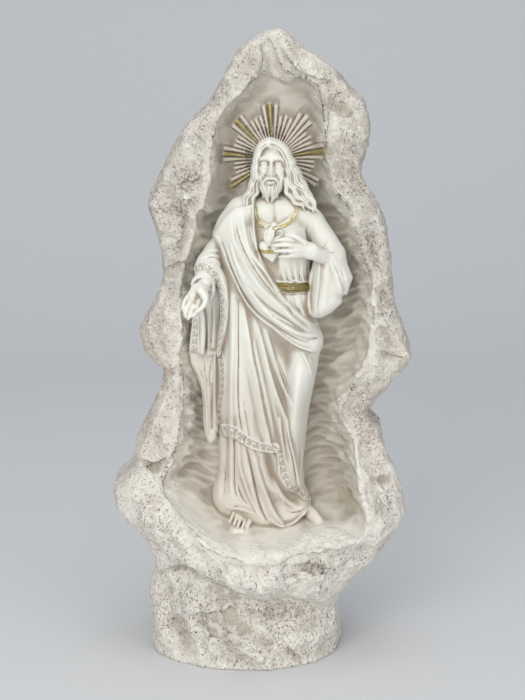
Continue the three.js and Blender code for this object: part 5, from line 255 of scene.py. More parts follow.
  ("outer fold", 1.36, 1.61, 0.9, [(47.5, 258.4, 0.4), (51.6, 250.6, 1.2), (53.1, 242.9, 1.2), (52.2, 238.4, 0.7)]),
  ("sleeve hem", 0.56, 0.93, 0.8, [(31.1, 222.6, 0.8), (36.8, 222.8, 1.2), (43.8, 225.8, 1.2), (51.2, 227.4, 0.9)]),
 ], steps=[
  ("layer", 1, 0.8, [(35.3, 264.5), (40.4, 263.5), (44.3, 262.2), (48.1, 254.7), (50.3, 245.9), (50.7, 236.8), (52.7, 227), (46.5, 219.2), (38.1, 214.5), (26.6, 220.7), (23.4, 234.4), (26, 252.5), (31.6, 262.1)]),
 ])),
 ("forearm and hand over the heart", dict(k=2.5, kj=0.8, limbs=[
  ("forearm R", [(44.1, 258.1, 5.6, 9, 9), (38.7, 260.9, 5, 17, 7.5), (33.6, 263.7, 4.4, 23, 6.2), (29.5, 266, 4.5, 27, 4.8)]),
  ("hand R", [(29.7, 266, 4.7, 27, 4.4), (25.7, 267.4, 5.4, 28.5, 4), (21.7, 268.1, 5.8, 30, 3.5), (19.5, 268.3, 5.6, 30.6, 3)]),
 ], plates=[
 ], folds=[
  ("knuckle 1", 0.87, 0.87, 1, [(20.7, 272.7, 0.5), (21.9, 272.7, 0.3)]),
  ("knuckle 2", 0.87, 0.87, 1, [(20.4, 270.2, 0.6), (21.6, 270, 0.3)]),
  ("knuckle 3", 0.87, 0.87, 1, [(20.4, 267.1, 0.6), (21.6, 267, 0.3)]),
  ("knuckle 4", 0.87, 0.87, 1, [(21.5, 262, 0.5), (22.7, 262, 0.3)]),
  ("tendon 1", 0.62, 0.62, 0.8, [(21.6, 270, 0.3), (26.5, 267.7, 0.35), (29.6, 266.8, 0.1)]),
  ("tendon 2", 0.62, 0.62, 0.8, [(21.6, 266.9, 0.3), (26.6, 266.5, 0.3)]),
  ("wrist crease", 0.56, 0.56, 0.3, [(29.9, 270, -0.2), (30.6, 266.7, -0.4), (30.3, 262.9, -0.2)]),
 ], steps=[
 ])),
 ("fingers over the heart", dict(k=0.8, kj=0.4, limbs=[
  ("index", [(20.5, 272.6, 1.5, 30, 2.7), (15.5, 273.8, 1.4, 32.2, 2.4), (11.3, 273.7, 1.2, 32.4, 2.1), (8, 273, 0.9, 31.4, 1.7)]),
  ("middle", [(20.4, 269.9, 1.6, 31, 2.8), (14.9, 270.7, 1.5, 33.2, 2.5), (10, 270.5, 1.3, 33, 2.2), (6.6, 269.9, 1, 31.8, 1.7)]),
  ("ring", [(20.5, 266.9, 1.6, 31, 2.8), (15.5, 267.1, 1.4, 33, 2.4), (11, 267, 1.2, 32.8, 2.1), (7.6, 266.5, 0.9, 31.6, 1.7)]),
  ("little", [(21.1, 263.7, 1.4, 29.6, 2.6), (16.8, 263.6, 1.3, 31.4, 2.2), (12.9, 263.3, 1.1, 31.2, 1.9), (10.3, 262.9, 0.8, 30.4, 1.5)]),
  ("thumb", [(26, 271.3, 1.9, 30, 3), (21.6, 274.7, 1.6, 32, 2.6), (17.6, 276.3, 1.4, 32, 2.2), (14.6, 276.6, 1, 31.2, 1.7)]),
 ], plates=[
 ], folds=[
 ], steps=[
 ])),
 ("heart", dict(k=1, kj=0.6, limbs=[
  ("lobe L", [(1.2, 268.5, 3.3, 21, 5.2), (3.1, 264, 3, 21, 4.8), (5.6, 259.7, 1.1, 20.6, 3.2)]),
  ("lobe R", [(7.7, 268.5, 3.3, 21, 5.2), (7.3, 264, 2.8, 21, 4.8), (6.2, 259.7, 1.1, 20.6, 3.2)]),
 ], plates=[
 ], folds=[
 ], steps=[
  ("heart band", 0.4, 0.6, [(-4, 266.3), (3.4, 266.9), (11.9, 268.2), (12.1, 264.4), (3.4, 264.7), (-4, 264.1)]),
 ])),
 ("flame of the heart", dict(k=0.7, kj=0.4, limbs=[
  ("flame core", [(4.3, 270.7, 2.5, 22.5, 3.8), (4.2, 273.8, 2.7, 22.6, 4), (4.9, 276.9, 2.6, 22.6, 3.8), (6.2, 279.7, 2.7, 22.4, 3.4), (7.1, 281.4, 2, 22, 2.6)]),
  ("flame left", [(2.2, 272.1, 1, 24, 2.2), (1.4, 274.9, 0.9, 24.4, 1.8), (2.3, 278, 0.9, 24.6, 1.6), (4.2, 280.4, 0.7, 24.4, 1.4), (6.4, 281.7, 0.5, 24, 1)]),
  ("flame right", [(6.8, 271.8, 1.1, 24, 2.2), (8.7, 274, 1, 24.6, 1.8), (11, 275, 0.8, 24.8, 1.5), (12, 276.6, 0.7, 24.6, 1.2), (10.9, 278.3, 0.6, 24.4, 1.1), (9.3, 277.6, 0.5, 24.4, 0.9)]),
  ("flame front", [(5.1, 272.4, 0.8, 25.4, 1.6), (6.6, 275.4, 0.8, 25.8, 1.5), (6.7, 278.2, 0.8, 25.6, 1.4), (8.6, 279.9, 0.6, 25.2, 1.1), (9.9, 280.9, 0.4, 24.4, 0.8)]),
 ], plates=[
 ], folds=[
 ], steps=[
 ])),
 ("outstretched hand", dict(k=1.2, kj=0.5, limbs=[
  ("wrist L", [(-35.5, 246, 3.8, 23, 6), (-37.5, 243, 4.6, 28, 5.6), (-38.7, 240.4, 5.5, 31.5, 5)]),
  ("palm", [(-39, 241.6, 5.6, 31, 5), (-40.4, 237.8, 6.5, 35, 4.2), (-42, 234.3, 5.7, 38.5, 3.4), (-42.7, 232.3, 4.5, 40, 2.6)]),
  ("thumb mound", [(-38, 243, 2.7, 35.4, 4), (-35.5, 239.6, 2.4, 37.6, 3.6)]),
  ("thumb L", [(-35.4, 240.7, 2, 38, 3.4), (-34.7, 237.2, 1.7, 41, 2.9), (-36.5, 233.8, 1.5, 43, 2.5), (-39.4, 231.4, 1.1, 44, 1.9)]),
 ], plates=[
 ], folds=[
  ("palm hollow", 2.6, 2.6, 1, [(-39.6, 240.4, -0.8), (-40.9, 237.6, -2), (-41.9, 235, -1.4)]),
  ("palm line 1", 0.37, 0.37, 0.3, [(-37.7, 241, -0.3), (-38.4, 238.1, -0.8), (-38.5, 234.8, -0.5)]),
  ("palm line 2", 0.37, 0.37, 0.3, [(-39, 237.7, -0.3), (-42, 238.7, -0.6), (-45, 238.7, -0.3)]),
 ], steps=[
 ])),
 ("fingers of the outstretched hand", dict(k=0.7, kj=0.4, limbs=[
  ("index L", [(-39.6, 233.8, 1.4, 40.4, 2.2), (-40.2, 231.2, 1.3, 42.4, 2.1), (-41.5, 229.2, 1.1, 43.6, 1.9), (-43, 228.1, 0.9, 43.4, 1.5)]),
  ("middle L", [(-42, 234, 1.4, 40.8, 2.2), (-43.5, 230.7, 1.3, 43, 2.1), (-44.6, 228.3, 1.2, 44.4, 1.9), (-45.1, 226.6, 0.9, 44, 1.5)]),
  ("ring L", [(-44.6, 235.6, 1.4, 40.2, 2.2), (-46.2, 232.5, 1.3, 42.6, 2.1), (-47, 229.8, 1.1, 43.8, 1.9), (-46.8, 227.9, 0.9, 43.4, 1.5)]),
  ("little L", [(-45.9, 239.4, 1.3, 38.4, 2.1), (-47.6, 236.5, 1.2, 40.8, 2), (-48.4, 233.6, 1.1, 42.2, 1.8), (-48.2, 231.3, 0.8, 42, 1.4)]),
 ], plates=[
 ], folds=[
 ], steps=[
 ])),
 ("feet", dict(k=1.2, kj=0.6, limbs=[
  ("foot L", [(-10.3, 99.6, 5, 10, 7), (-12.2, 96.6, 5.5, 16, 6), (-13.3, 94.7, 5.5, 20, 4.6)]),
  ("foot R", [(25.5, 98.2, 4, 10, 7), (29.3, 96.1, 4.3, 15, 6.6), (32.6, 94.3, 4.3, 19.5, 5.4), (35.2, 92.9, 3.3, 23, 4)]),
 ], plates=[
 ], folds=[
  ("foot L ridge", 1.61, 1.61, 1, [(-9.2, 102.8, 0.4), (-9.9, 96.1, 0.5)]),
 ], steps=[
 ])),
 ("toes", dict(k=0.8, kj=0.8, limbs=[
  ("toe 0", [(-7.4, 94.5, 1.7, 21.5, 2.7), (-8.4, 92.4, 1.6, 24.6, 2.7), (-9.7, 90.1, 1.4, 27.6, 2.2)]),
  ("toe 1", [(-10.6, 95.2, 1.1, 21.5, 1.8), (-11.5, 92.3, 1.1, 24.6, 1.8), (-12.8, 89.4, 0.9, 27.6, 1.4)]),
  ("toe 2", [(-13.4, 95.9, 1.1, 21.5, 1.8), (-14.4, 93.1, 1.1, 24.6, 1.8), (-15.7, 90.3, 0.9, 27.6, 1.4)]),
  ("toe 3", [(-15.9, 96.4, 1.1, 21.5, 1.7), (-16.8, 94, 1, 24.6, 1.7), (-18, 91.5, 0.9, 27.6, 1.4)]),
  ("toe 4", [(-18.5, 96.9, 1, 21.5, 1.6), (-19.6, 95.1, 1, 24.6, 1.6), (-20.9, 93.2, 0.8, 27.6, 1.3)]),
  ("right toe 0", [(37, 93.8, 1, 22.6, 1.5), (38, 92.7, 0.9, 24.2, 1.3)]),
  ("right toe 1", [(35.1, 93.3, 1, 23, 1.4), (35.9, 92, 0.9, 24.6, 1.2)]),
  ("right toe 2", [(33.2, 92.7, 0.9, 23.4, 1.4), (33.9, 91.3, 0.8, 25, 1.1)]),
 ], plates=[
 ], folds=[
 ], steps=[
 ])),
 ("head", dict(k=3, kj=1, limbs=[
  ("skull", [(5.6, 323.6, 9.8, 3, 12), (5.4, 317.6, 9.5, 4, 12.6), (5.1, 310.6, 8.3, 5, 11.8), (5, 305.6, 6.4, 6, 10.4)]),
  ("brow", [(-1, 321.4, 2.6, 11, 3.6), (5.5, 321.6, 2.8, 12.4, 3.6), (12, 321, 2.6, 11, 3.6)]),
  ("cheek 1", [(10.6, 314.8, 3.2, 10.4, 4.4), (10.1, 310.9, 3, 10, 4.4)]),
  ("cheek 2", [(0, 315.2, 3.2, 10.4, 4.4), (0.1, 311.3, 3, 10, 4.4)]),
  ("jaw", [(-1.5, 309.3, 2.6, 8, 5), (0.3, 304.3, 3, 10, 5), (4.8, 301.6, 3.4, 11.4, 5.2), (9.5, 303.9, 3, 10, 5), (11.7, 308.9, 2.6, 8, 5)]),
 ], plates=[
 ], folds=[
  ("nose bridge", 2.1, 2.1, 0.8, [(5.5, 322, 0.3), (5.4, 319.6, 1.3), (5.3, 316.1, 2.6), (5.2, 313.6, 3.6), (5.2, 312.2, 3.4), (5.2, 311.4, 1.4)]),
  ("nose tip", 2, 2, 1, [(5.2, 313.4, 0.2), (5.2, 312.4, 1.2)]),
  ("mouth line", 0.7, 0.9, 0.3, [(2, 308.1, -0.3), (3.6, 308.6, -1.2), (5, 308.3, -1), (6.5, 308.5, -1.2), (8, 307.9, -0.3)]),
  ("lower lip", 1, 1.2, 1, [(3, 307.4, 0.3), (5, 307, 1.2), (7, 307.2, 0.3)]),
  ("under lip", 1, 1.2, 0.8, [(3.1, 305.7, -0.3), (4.9, 305.4, -1), (6.8, 305.6, -0.3)]),
  ("philtrum", 0.6, 0.6, 0.5, [(5.1, 310.4, -0.4), (5.1, 309.4, -0.3)]),
  ("socket -1", 2.9, 2.9, 1, [(2.9, 318.9, -2.3), (1, 319.1, -2.2), (-1.5, 318.6, -1)]),
  ("eyebrow -1", 0.9, 0.9, 0.8, [(3.6, 321.3, 0.2), (1.9, 322.1, 0.6), (-0.1, 322.3, 0.55), (-2.1, 321.2, 0.2)]),
  ("eyeball -1", 1.8, 1.8, 1, [(2, 318.2, 1.5), (0.2, 318.3, 1.5)]),
  ("upper lid -1", 0.55, 0.55, 0.8, [(3.3, 318, 0.2), (2.3, 319.2, 0.7), (1, 319.6, 0.8), (-0.3, 319.1, 0.7), (-1.3, 318.1, 0.3)]),
  ("lid crease -1", 0.45, 0.45, 0.3, [(3, 319.1, -0.2), (2, 320.2, -0.6), (0.7, 320.6, -0.7), (-0.9, 319.8, -0.4)]),
  ("eye slit -1", 0.5, 0.5, 0.3, [(3.2, 317.7, -0.3), (2, 318.1, -0.9), (0.8, 318.2, -1), (-0.4, 318, -0.8), (-1.2, 317.7, -0.3)]),
  ("lower lid -1", 0.6, 0.6, 0.8, [(3, 317.2, 0.2), (1.1, 316.9, 0.6), (-0.8, 317.2, 0.3)]),
  ("under eye -1", 0.9, 0.9, 0.5, [(2.9, 316.1, -0.2), (1.3, 315.6, -0.6), (-0.9, 316.2, -0.3)]),
  ("nostril wing -1", 1.2, 1.2, 1, [(3.7, 312.9, 0.8), (3.3, 312.1, 1.3)]),
  ("nostril -1", 0.5, 0.5, 0.3, [(4.5, 311.1, -0.7), (3.9, 311.4, -0.7)]),
  ("nose side -1", 1.8, 1.8, 1, [(3.4, 319.3, -0.6), (2.9, 316.7, -0.9), (2.2, 313.5, -0.8), (2, 311.7, -0.8)]),
  ("cheek line -1", 1.6, 1.6, 0.8, [(1.6, 311.7, -0.7), (0.1, 309.8, -0.6)]),
  ("moustache -1", 1.7, 1.5, 0.9, [(4.8, 310, 1.2), (2.9, 309.5, 2.1), (0.9, 307.8, 1.9), (-0.3, 305.2, 1.1), (-0.7, 303.2, 0.3)]),
  ("moustache gap -1", 0.4, 0.4, 0.3, [(4.1, 309.5, -0.3), (2.2, 308.5, -0.7), (0.6, 306.4, -0.6)]),
  ("beard edge -1", 1.8, 1.2, 0.8, [(-2.7, 315.5, 0.3), (-2.4, 312.4, 0.9), (-1.5, 309.3, 1.1), (-0.9, 306.8, 0.9)]),
  ("beard lock -1 0", 0.8, 0.8, 0.7, [(3.5, 305.9, 0.2), (3.8, 303.1, 1.2), (4, 299.8, 1.1), (4.2, 296.4, 0.4)]),
  ("beard gap -1 0", 0.45, 0.45, 0.3, [(4.2, 305.2, -0.3), (4.4, 302.2, -0.9), (4.5, 299, -0.8)]),
  ("beard lock -1 1", 0.8, 0.8, 0.7, [(2, 307.1, 0.2), (1.8, 303.7, 1.2), (3, 300.2, 1.1), (2.9, 297, 0.4)]),
  ("beard gap -1 1", 0.45, 0.45, 0.3, [(2.8, 306.5, -0.3), (2.5, 302.9, -0.9), (3.5, 299.5, -0.8)]),
  ("beard lock -1 2", 0.8, 0.8, 0.7, [(0.6, 308.4, 0.2), (0.9, 304.4, 1.2), (1.9, 300.5, 1.1), (2.8, 297.5, 0.4)]),
  ("beard gap -1 2", 0.45, 0.45, 0.3, [(1.4, 307.7, -0.3), (1.6, 303.5, -0.9), (2.4, 299.9, -0.8)]),
  ("beard lock -1 3", 0.8, 0.8, 0.7, [(-0.8, 309.6, 0.2), (-1, 305, 1.2), (0.9, 300.9, 1.1), (1.4, 298, 0.4)]),
  ("beard gap -1 3", 0.45, 0.45, 0.3, [(0, 309, -0.3), (-0.4, 304.2, -0.9), (1.4, 300.3, -0.8)]),
  ("beard lock -1 4", 0.8, 0.8, 0.7, [(-2.2, 310.9, 0.2), (-2, 305.6, 1.2), (-0.1, 301.2, 1.1), (1.4, 298.5, 0.4)]),
  ("beard gap -1 4", 0.45, 0.45, 0.3, [(-1.4, 310.2, -0.3), (-1.3, 304.8, -0.9), (0.4, 300.8, -0.8)]),
  ("socket 1", 2.9, 2.9, 1, [(7.9, 318.7, -2.3), (9.8, 318.9, -2.2), (12.3, 318.2, -1)]),
  ("eyebrow 1", 0.9, 0.9, 0.8, [(7.4, 321.1, 0.2), (9.1, 321.9, 0.6), (11.1, 321.9, 0.55), (13.1, 320.6, 0.2)]),
  ("eyeball 1", 1.8, 1.8, 1, [(8.8, 318, 1.5), (10.6, 317.9, 1.5)]),
  ("upper lid 1", 0.55, 0.55, 0.8, [(7.5, 317.8, 0.2), (8.5, 318.9, 0.7), (9.8, 319.3, 0.8), (11.1, 318.8, 0.7), (12.1, 317.7, 0.3)]),
  ("lid crease 1", 0.45, 0.45, 0.3, [(7.8, 318.9, -0.2), (8.8, 320, -0.6), (10.3, 320.2, -0.7), (11.7, 319.4, -0.4)]),
  ("eye slit 1", 0.5, 0.5, 0.3, [(7.6, 317.5, -0.3), (8.8, 317.9, -0.9), (10, 317.9, -1), (11.2, 317.6, -0.8), (12, 317.3, -0.3)]),
  ("lower lid 1", 0.6, 0.6, 0.8, [(7.8, 317, 0.2), (9.5, 316.6, 0.6), (11.4, 316.8, 0.3)]),
  ("under eye 1", 0.9, 0.9, 0.5, [(7.7, 315.9, -0.2), (9.3, 315.4, -0.6), (11.5, 315.8, -0.3)]),
  ("nostril wing 1", 1.2, 1.2, 1, [(6.7, 312.8, 0.8), (7.1, 311.9, 1.3)]),
  ("nostril 1", 0.5, 0.5, 0.3, [(5.7, 311.1, -0.7), (6.4, 311.3, -0.7)]),
  ("nose side 1", 1.8, 1.8, 1, [(7.4, 319.1, -0.6), (7.7, 316.5, -0.9), (8.2, 313.3, -0.8), (8.3, 311.5, -0.8)]),
  ("cheek line 1", 1.6, 1.6, 0.8, [(8.8, 311.5, -0.7), (10.1, 309.4, -0.6)]),
  ("moustache 1", 1.7, 1.5, 0.9, [(5.4, 310, 1.2), (7.3, 309.3, 2.1), (9.1, 307.5, 1.9), (10.1, 304.8, 1.1), (10.4, 302.8, 0.3)]),
  ("moustache gap 1", 0.4, 0.4, 0.3, [(6.1, 309.5, -0.3), (7.8, 308.3, -0.7), (9.4, 306.1, -0.6)]),
  ("beard edge 1", 1.8, 1.2, 0.8, [(13.3, 314.9, 0.3), (12.8, 311.8, 0.9), (11.7, 308.9, 1.1), (10.9, 306.4, 0.9)]),
  ("beard lock 1 0", 0.8, 0.8, 0.7, [(6.5, 305.8, 0.2), (6, 303, 1.2), (5.5, 299.8, 1.1), (5.1, 296.4, 0.4)]),
  ("beard gap 1 0", 0.45, 0.45, 0.3, [(5.7, 305.2, -0.3), (5.2, 302.2, -0.9), (4.9, 299, -0.8)]),
  ("beard lock 1 1", 0.8, 0.8, 0.7, [(7.9, 306.9, 0.2), (7.9, 303.5, 1.2), (6.5, 300.1, 1.1), (6.4, 296.9, 0.4)]),
  ("beard gap 1 1", 0.45, 0.45, 0.3, [(7.2, 306.3, -0.3), (7.2, 302.7, -0.9), (6, 299.4, -0.8)]),
  ("beard lock 1 2", 0.8, 0.8, 0.7, [(9.4, 308.1, 0.2), (8.9, 304.1, 1.2), (7.6, 300.3, 1.1), (6.6, 297.4, 0.4)]),
  ("beard gap 1 2", 0.45, 0.45, 0.3, [(8.7, 307.5, -0.3), (8.2, 303.3, -0.9), (7, 299.7, -0.8)]),
  ("beard lock 1 3", 0.8, 0.8, 0.7, [(10.9, 309.2, 0.2), (10.9, 304.6, 1.2), (8.7, 300.6, 1.1), (7.9, 297.8, 0.4)]),
  ("beard gap 1 3", 0.45, 0.45, 0.3, [(10.2, 308.6, -0.3), (10.1, 303.8, -0.9), (8.1, 300.1, -0.8)]),
  ("beard lock 1 4", 0.8, 0.8, 0.7, [(12.4, 310.4, 0.2), (11.8, 305.2, 1.2), (9.7, 300.8, 1.1), (8, 298.3, 0.4)]),
  ("beard gap 1 4", 0.45, 0.45, 0.3, [(11.7, 309.8, -0.3), (11.1, 304.4, -0.9), (9.2, 300.5, -0.8)]),
 ], steps=[
 ])),
 ("beard", dict(k=0.9, kj=0.5, limbs=[
  ("beard tuft -1 0", [(3.3, 302.2, 1.6, 11.3, 4.2), (2.8, 299.6, 1.9, 12, 3.9), (3, 297.2, 1.4, 12.2, 3), (3.6, 295.2, 0.4, 12.4, 1.4)]),
  ("beard tuft -1 1", [(0.9, 303.6, 1.6, 9.7, 3.9), (1.2, 301.3, 1.9, 10.3, 3.6), (0.9, 299.2, 1.4, 10.5, 2.7), (0.2, 297.5, 0.4, 10.7, 1.4)]),
  ("beard tuft -1 2", [(-1, 306.8, 1.4, 7.5, 3.6), (-0.5, 304.8, 1.7, 8.1, 3.3), (-0.9, 302.9, 1.2, 8.3, 2.4), (-1.9, 301.4, 0.4, 8.5, 1.4)]),
  ("beard tuft -1 3", [(-2.1, 310.9, 1.3, 5.7, 3.3), (-1.5, 309.1, 1.5, 6.3, 3), (-1.9, 307.4, 1.1, 6.5, 2.1), (-3, 306.1, 0.3, 6.7, 1.4)]),
  ("beard tuft 1 0", [(6.3, 302.1, 1.6, 11.3, 4.2), (6.7, 299.5, 1.9, 12, 3.9), (6.3, 297.1, 1.4, 12.2, 3), (5.5, 295.2, 0.4, 12.4, 1.4)]),
  ("beard tuft 1 1", [(8.9, 303.3, 1.6, 9.7, 3.9), (8.4, 301, 1.9, 10.3, 3.6), (8.6, 298.9, 1.4, 10.5, 2.7), (9.1, 297.2, 0.4, 10.7, 1.4)]),
  ("beard tuft 1 2", [(11, 306.4, 1.4, 7.5, 3.6), (10.3, 304.4, 1.7, 8.1, 3.3), (10.6, 302.5, 1.2, 8.3, 2.4), (11.5, 301, 0.4, 8.5, 1.4)]),
  ("beard tuft 1 3", [(12.3, 310.4, 1.3, 5.7, 3.3), (11.7, 308.6, 1.5, 6.3, 3), (12, 306.9, 1.1, 6.5, 2.1), (12.9, 305.6, 0.3, 6.7, 1.4)]),
 ], plates=[
 ], folds=[
  ("tuft strand -1 0 -1", 0.5, 0.5, 0.4, [(4.3, 302.6, -0.1), (3.8, 299.6, -0.55), (3.6, 297.2, -0.45), (3.6, 295.6, -0.1)]),
  ("tuft strand -1 0 0", 0.5, 0.5, 0.4, [(3.3, 302.7, -0.1), (2.8, 299.6, 0.45), (3, 297.2, 0.4), (3.6, 295.6, -0.1)]),
  ("tuft strand -1 0 1", 0.5, 0.5, 0.4, [(2.4, 302.7, -0.1), (1.7, 299.7, -0.55), (2.3, 297.2, -0.45), (3.6, 295.6, -0.1)]),
  ("tuft strand -1 1 -1", 0.5, 0.5, 0.4, [(1.8, 304, -0.1), (2.2, 301.3, -0.55), (1.5, 299.1, -0.45), (0.2, 297.9, -0.1)]),
  ("tuft strand -1 1 0", 0.5, 0.5, 0.4, [(0.9, 304.1, -0.1), (1.2, 301.3, 0.45), (0.9, 299.2, 0.4), (0.2, 297.9, -0.1)]),
  ("tuft strand -1 1 1", 0.5, 0.5, 0.4, [(-0.1, 304.1, -0.1), (0.1, 301.3, -0.55), (0.2, 299.2, -0.45), (0.2, 297.9, -0.1)]),
  ("tuft strand -1 2 -1", 0.5, 0.5, 0.4, [(-0.1, 307.3, -0.1), (0.5, 304.8, -0.55), (-0.3, 302.9, -0.45), (-1.9, 301.7, -0.1)]),
  ("tuft strand -1 2 0", 0.5, 0.5, 0.4, [(-1, 307.3, -0.1), (-0.5, 304.8, 0.45), (-0.9, 302.9, 0.4), (-1.9, 301.7, -0.1)]),
  ("tuft strand -1 2 1", 0.5, 0.5, 0.4, [(-1.9, 307.4, -0.1), (-1.4, 304.8, -0.55), (-1.5, 302.9, -0.45), (-1.9, 301.7, -0.1)]),
  ("tuft strand -1 3 -1", 0.5, 0.5, 0.4, [(-1.3, 311.3, -0.1), (-0.7, 309.1, -0.55), (-1.4, 307.4, -0.45), (-3, 306.4, -0.1)]),
  ("tuft strand -1 3 0", 0.5, 0.5, 0.4, [(-2.1, 311.4, -0.1), (-1.5, 309.1, 0.45), (-1.9, 307.4, 0.4), (-3, 306.4, -0.1)]),
  ("tuft strand -1 3 1", 0.5, 0.5, 0.4, [(-2.8, 311.4, -0.1), (-2.4, 309.1, -0.55), (-2.5, 307.4, -0.45), (-3, 306.4, -0.1)]),
  ("tuft strand 1 0 -1", 0.5, 0.5, 0.4, [(5.4, 302.6, -0.1), (5.6, 299.5, -0.55), (5.7, 297.1, -0.45), (5.6, 295.6, -0.1)]),
  ("tuft strand 1 0 0", 0.5, 0.5, 0.4, [(6.3, 302.6, -0.1), (6.7, 299.5, 0.45), (6.3, 297.1, 0.4), (5.6, 295.6, -0.1)]),
  ("tuft strand 1 0 1", 0.5, 0.5, 0.4, [(7.3, 302.5, -0.1), (7.7, 299.4, -0.55), (7, 297, -0.45), (5.6, 295.6, -0.1)]),
  ("tuft strand 1 1 -1", 0.5, 0.5, 0.4, [(7.9, 303.8, -0.1), (7.3, 301.1, -0.55), (7.9, 298.9, -0.45), (9.2, 297.5, -0.1)]),
  ("tuft strand 1 1 0", 0.5, 0.5, 0.4, [(8.9, 303.8, -0.1), (8.4, 301, 0.45), (8.6, 298.9, 0.4), (9.2, 297.5, -0.1)]),
  ("tuft strand 1 1 1", 0.5, 0.5, 0.4, [(9.8, 303.7, -0.1), (9.4, 301, -0.55), (9.2, 298.9, -0.45), (9.2, 297.5, -0.1)]),
  ("tuft strand 1 2 -1", 0.5, 0.5, 0.4, [(10.2, 306.9, -0.1), (9.4, 304.4, -0.55), (10, 302.5, -0.45), (11.5, 301.3, -0.1)]),
  ("tuft strand 1 2 0", 0.5, 0.5, 0.4, [(11, 306.9, -0.1), (10.3, 304.4, 0.45), (10.6, 302.5, 0.4), (11.5, 301.3, -0.1)]),
  ("tuft strand 1 2 1", 0.5, 0.5, 0.4, [(11.8, 306.9, -0.1), (11.2, 304.4, -0.55), (11.2, 302.5, -0.45), (11.5, 301.3, -0.1)]),
  ("tuft strand 1 3 -1", 0.5, 0.5, 0.4, [(11.6, 310.9, -0.1), (10.8, 308.6, -0.55), (11.4, 306.9, -0.45), (12.9, 305.8, -0.1)]),
  ("tuft strand 1 3 0", 0.5, 0.5, 0.4, [(12.3, 310.9, -0.1), (11.7, 308.6, 0.45), (12, 306.9, 0.4), (12.9, 305.8, -0.1)]),
  ("tuft strand 1 3 1", 0.5, 0.5, 0.4, [(13.1, 310.8, -0.1), (12.5, 308.6, -0.55), (12.5, 306.9, -0.45), (12.9, 305.8, -0.1)]),
 ], steps=[
 ])),
 ("hair", dict(k=1.4, kj=0.6, limbs=[
  ("crown left", [(3.4, 331.3, 2.8, 4, 10), (1.5, 330.5, 2.9, 4, 10.3), (-0.2, 329.2, 2.9, 4, 10.6), (-1.5, 327, 2.9, 4, 10.9), (-2.6, 324.2, 2.9, 4.1, 11.1), (-3.3, 321.3, 2.8, 4.2, 11.1), (-3.9, 318.1, 2.6, 4.5, 10.9), (-4.2, 314.5, 2.5, 4.8, 10.5), (-4.3, 310.8, 2.4, 5, 10)]),
  ("crown right", [(4.6, 331.4, 2.8, 4, 10), (7.1, 330.7, 3, 4, 10.3), (9.5, 329.7, 3.2, 4, 10.6), (11.7, 328, 3.3, 4, 10.9), (13.7, 325.8, 3.4, 4.1, 11.1), (15, 323.3, 3.4, 4.2, 11.1), (16, 320.5, 3.3, 4.5, 10.9), (16.7, 317.3, 3.2, 4.8, 10.5), (17.3, 313.9, 3, 5, 10)]),
  ("mass right", [(17.1, 315.6, 3.7, 3, 8.6), (18.6, 311.9, 4, 3.8, 8.4), (20.3, 308.4, 4.3, 4.5, 8.1), (22.1, 305.2, 4.3, 5.2, 7.8), (24, 302.3, 4.2, 6, 7.3), (25.9, 299.7, 3.8, 6.8, 6.7), (27.8, 297.3, 3.2, 7.5, 5.9), (29.5, 294.8, 2.4, 8.1, 5), (31.2, 292.3, 1.6, 8.6, 4)]),
  ("mass right inner", [(16.2, 310.8, 2.4, 6, 7.5), (17.1, 307.5, 2.6, 7, 7.2), (18.2, 304.3, 2.7, 8, 6.8), (19.8, 301.4, 2.6, 8.8, 6.3), (21.8, 298.9, 2.4, 9.5, 5.8), (23.9, 296.7, 2.1, 10.1, 5.2), (26.1, 294.7, 1.8, 10.6, 4.6)]),
  ("mass left", [(-4.4, 315.6, 2.6, 3, 8.5), (-4.8, 310.7, 2.7, 3.8, 8), (-5.5, 306.1, 2.7, 4.8, 7.4), (-6.7, 302.2, 2.6, 6.2, 6.8), (-8.1, 298.7, 2.4, 8.1, 6), (-9.2, 295.6, 2.1, 10.2, 5.3), (-10.1, 292.7, 1.7, 12.5, 4.6)]),
  ("crown back", [(4.7, 326.9, 7, 1, 9.5), (4.7, 324.6, 8.2, 1, 10.2), (4.7, 322.1, 9.3, 0.9, 10.8), (4.7, 318.9, 9.9, 0.5, 11), (4.7, 315.5, 10.4, 0, 11)]),
  ("brow sweep left", [(3.1, 329.4, 1.3, 10, 4.4), (1.3, 328.5, 1.6, 10.1, 4.5), (-0.2, 327.3, 1.8, 10.1, 4.6), (-1.4, 325.3, 1.9, 9.9, 4.8), (-2.5, 323, 1.9, 9.6, 5.1), (-3.5, 320.2, 1.9, 9.3, 5.5), (-3.5, 317, 1.8, 9.1, 5.9), (-3.6, 313.8, 1.7, 9, 6.2), (-3.7, 310.4, 1.6, 9, 6.5)]),
  ("brow sweep right", [(4, 329.4, 1.3, 10, 4.4), (5.8, 328.5, 1.6, 10.1, 4.5), (7.7, 327.5, 1.9, 10.1, 4.6), (9.9, 326.3, 2.1, 10, 4.8), (11.6, 324.3, 2.3, 9.8, 5.1), (12.8, 321.8, 2.3, 9.7, 5.5), (14.3, 319.2, 2.3, 9.5, 5.9), (15.3, 316.4, 2.2, 9.2, 6.2), (15.9, 313.4, 2.1, 9, 6.5)]),
  ("left lock 1", [(-4.5, 315.8, 2.4, 6, 8.5), (-4.5, 312.7, 2.4, 6.5, 8.2), (-4.1, 309.7, 2.4, 7.1, 8), (-5.6, 307, 2.4, 7.8, 7.6), (-6.2, 304.4, 2.4, 8.5, 7.2), (-6.4, 301.5, 2.3, 9.2, 6.7), (-8.3, 299.4, 2.2, 10.2, 6.2), (-9.9, 297.2, 2.1, 11.5, 5.6), (-9.8, 294.5, 2, 13.1, 5), (-10.2, 292.2, 1.8, 15, 4.4), (-11.2, 289.8, 1.6, 16.8, 3.7), (-10.5, 286.9, 1.1, 18.2, 2.8), (-10.1, 283.9, 0.5, 19.5, 1.8)]),
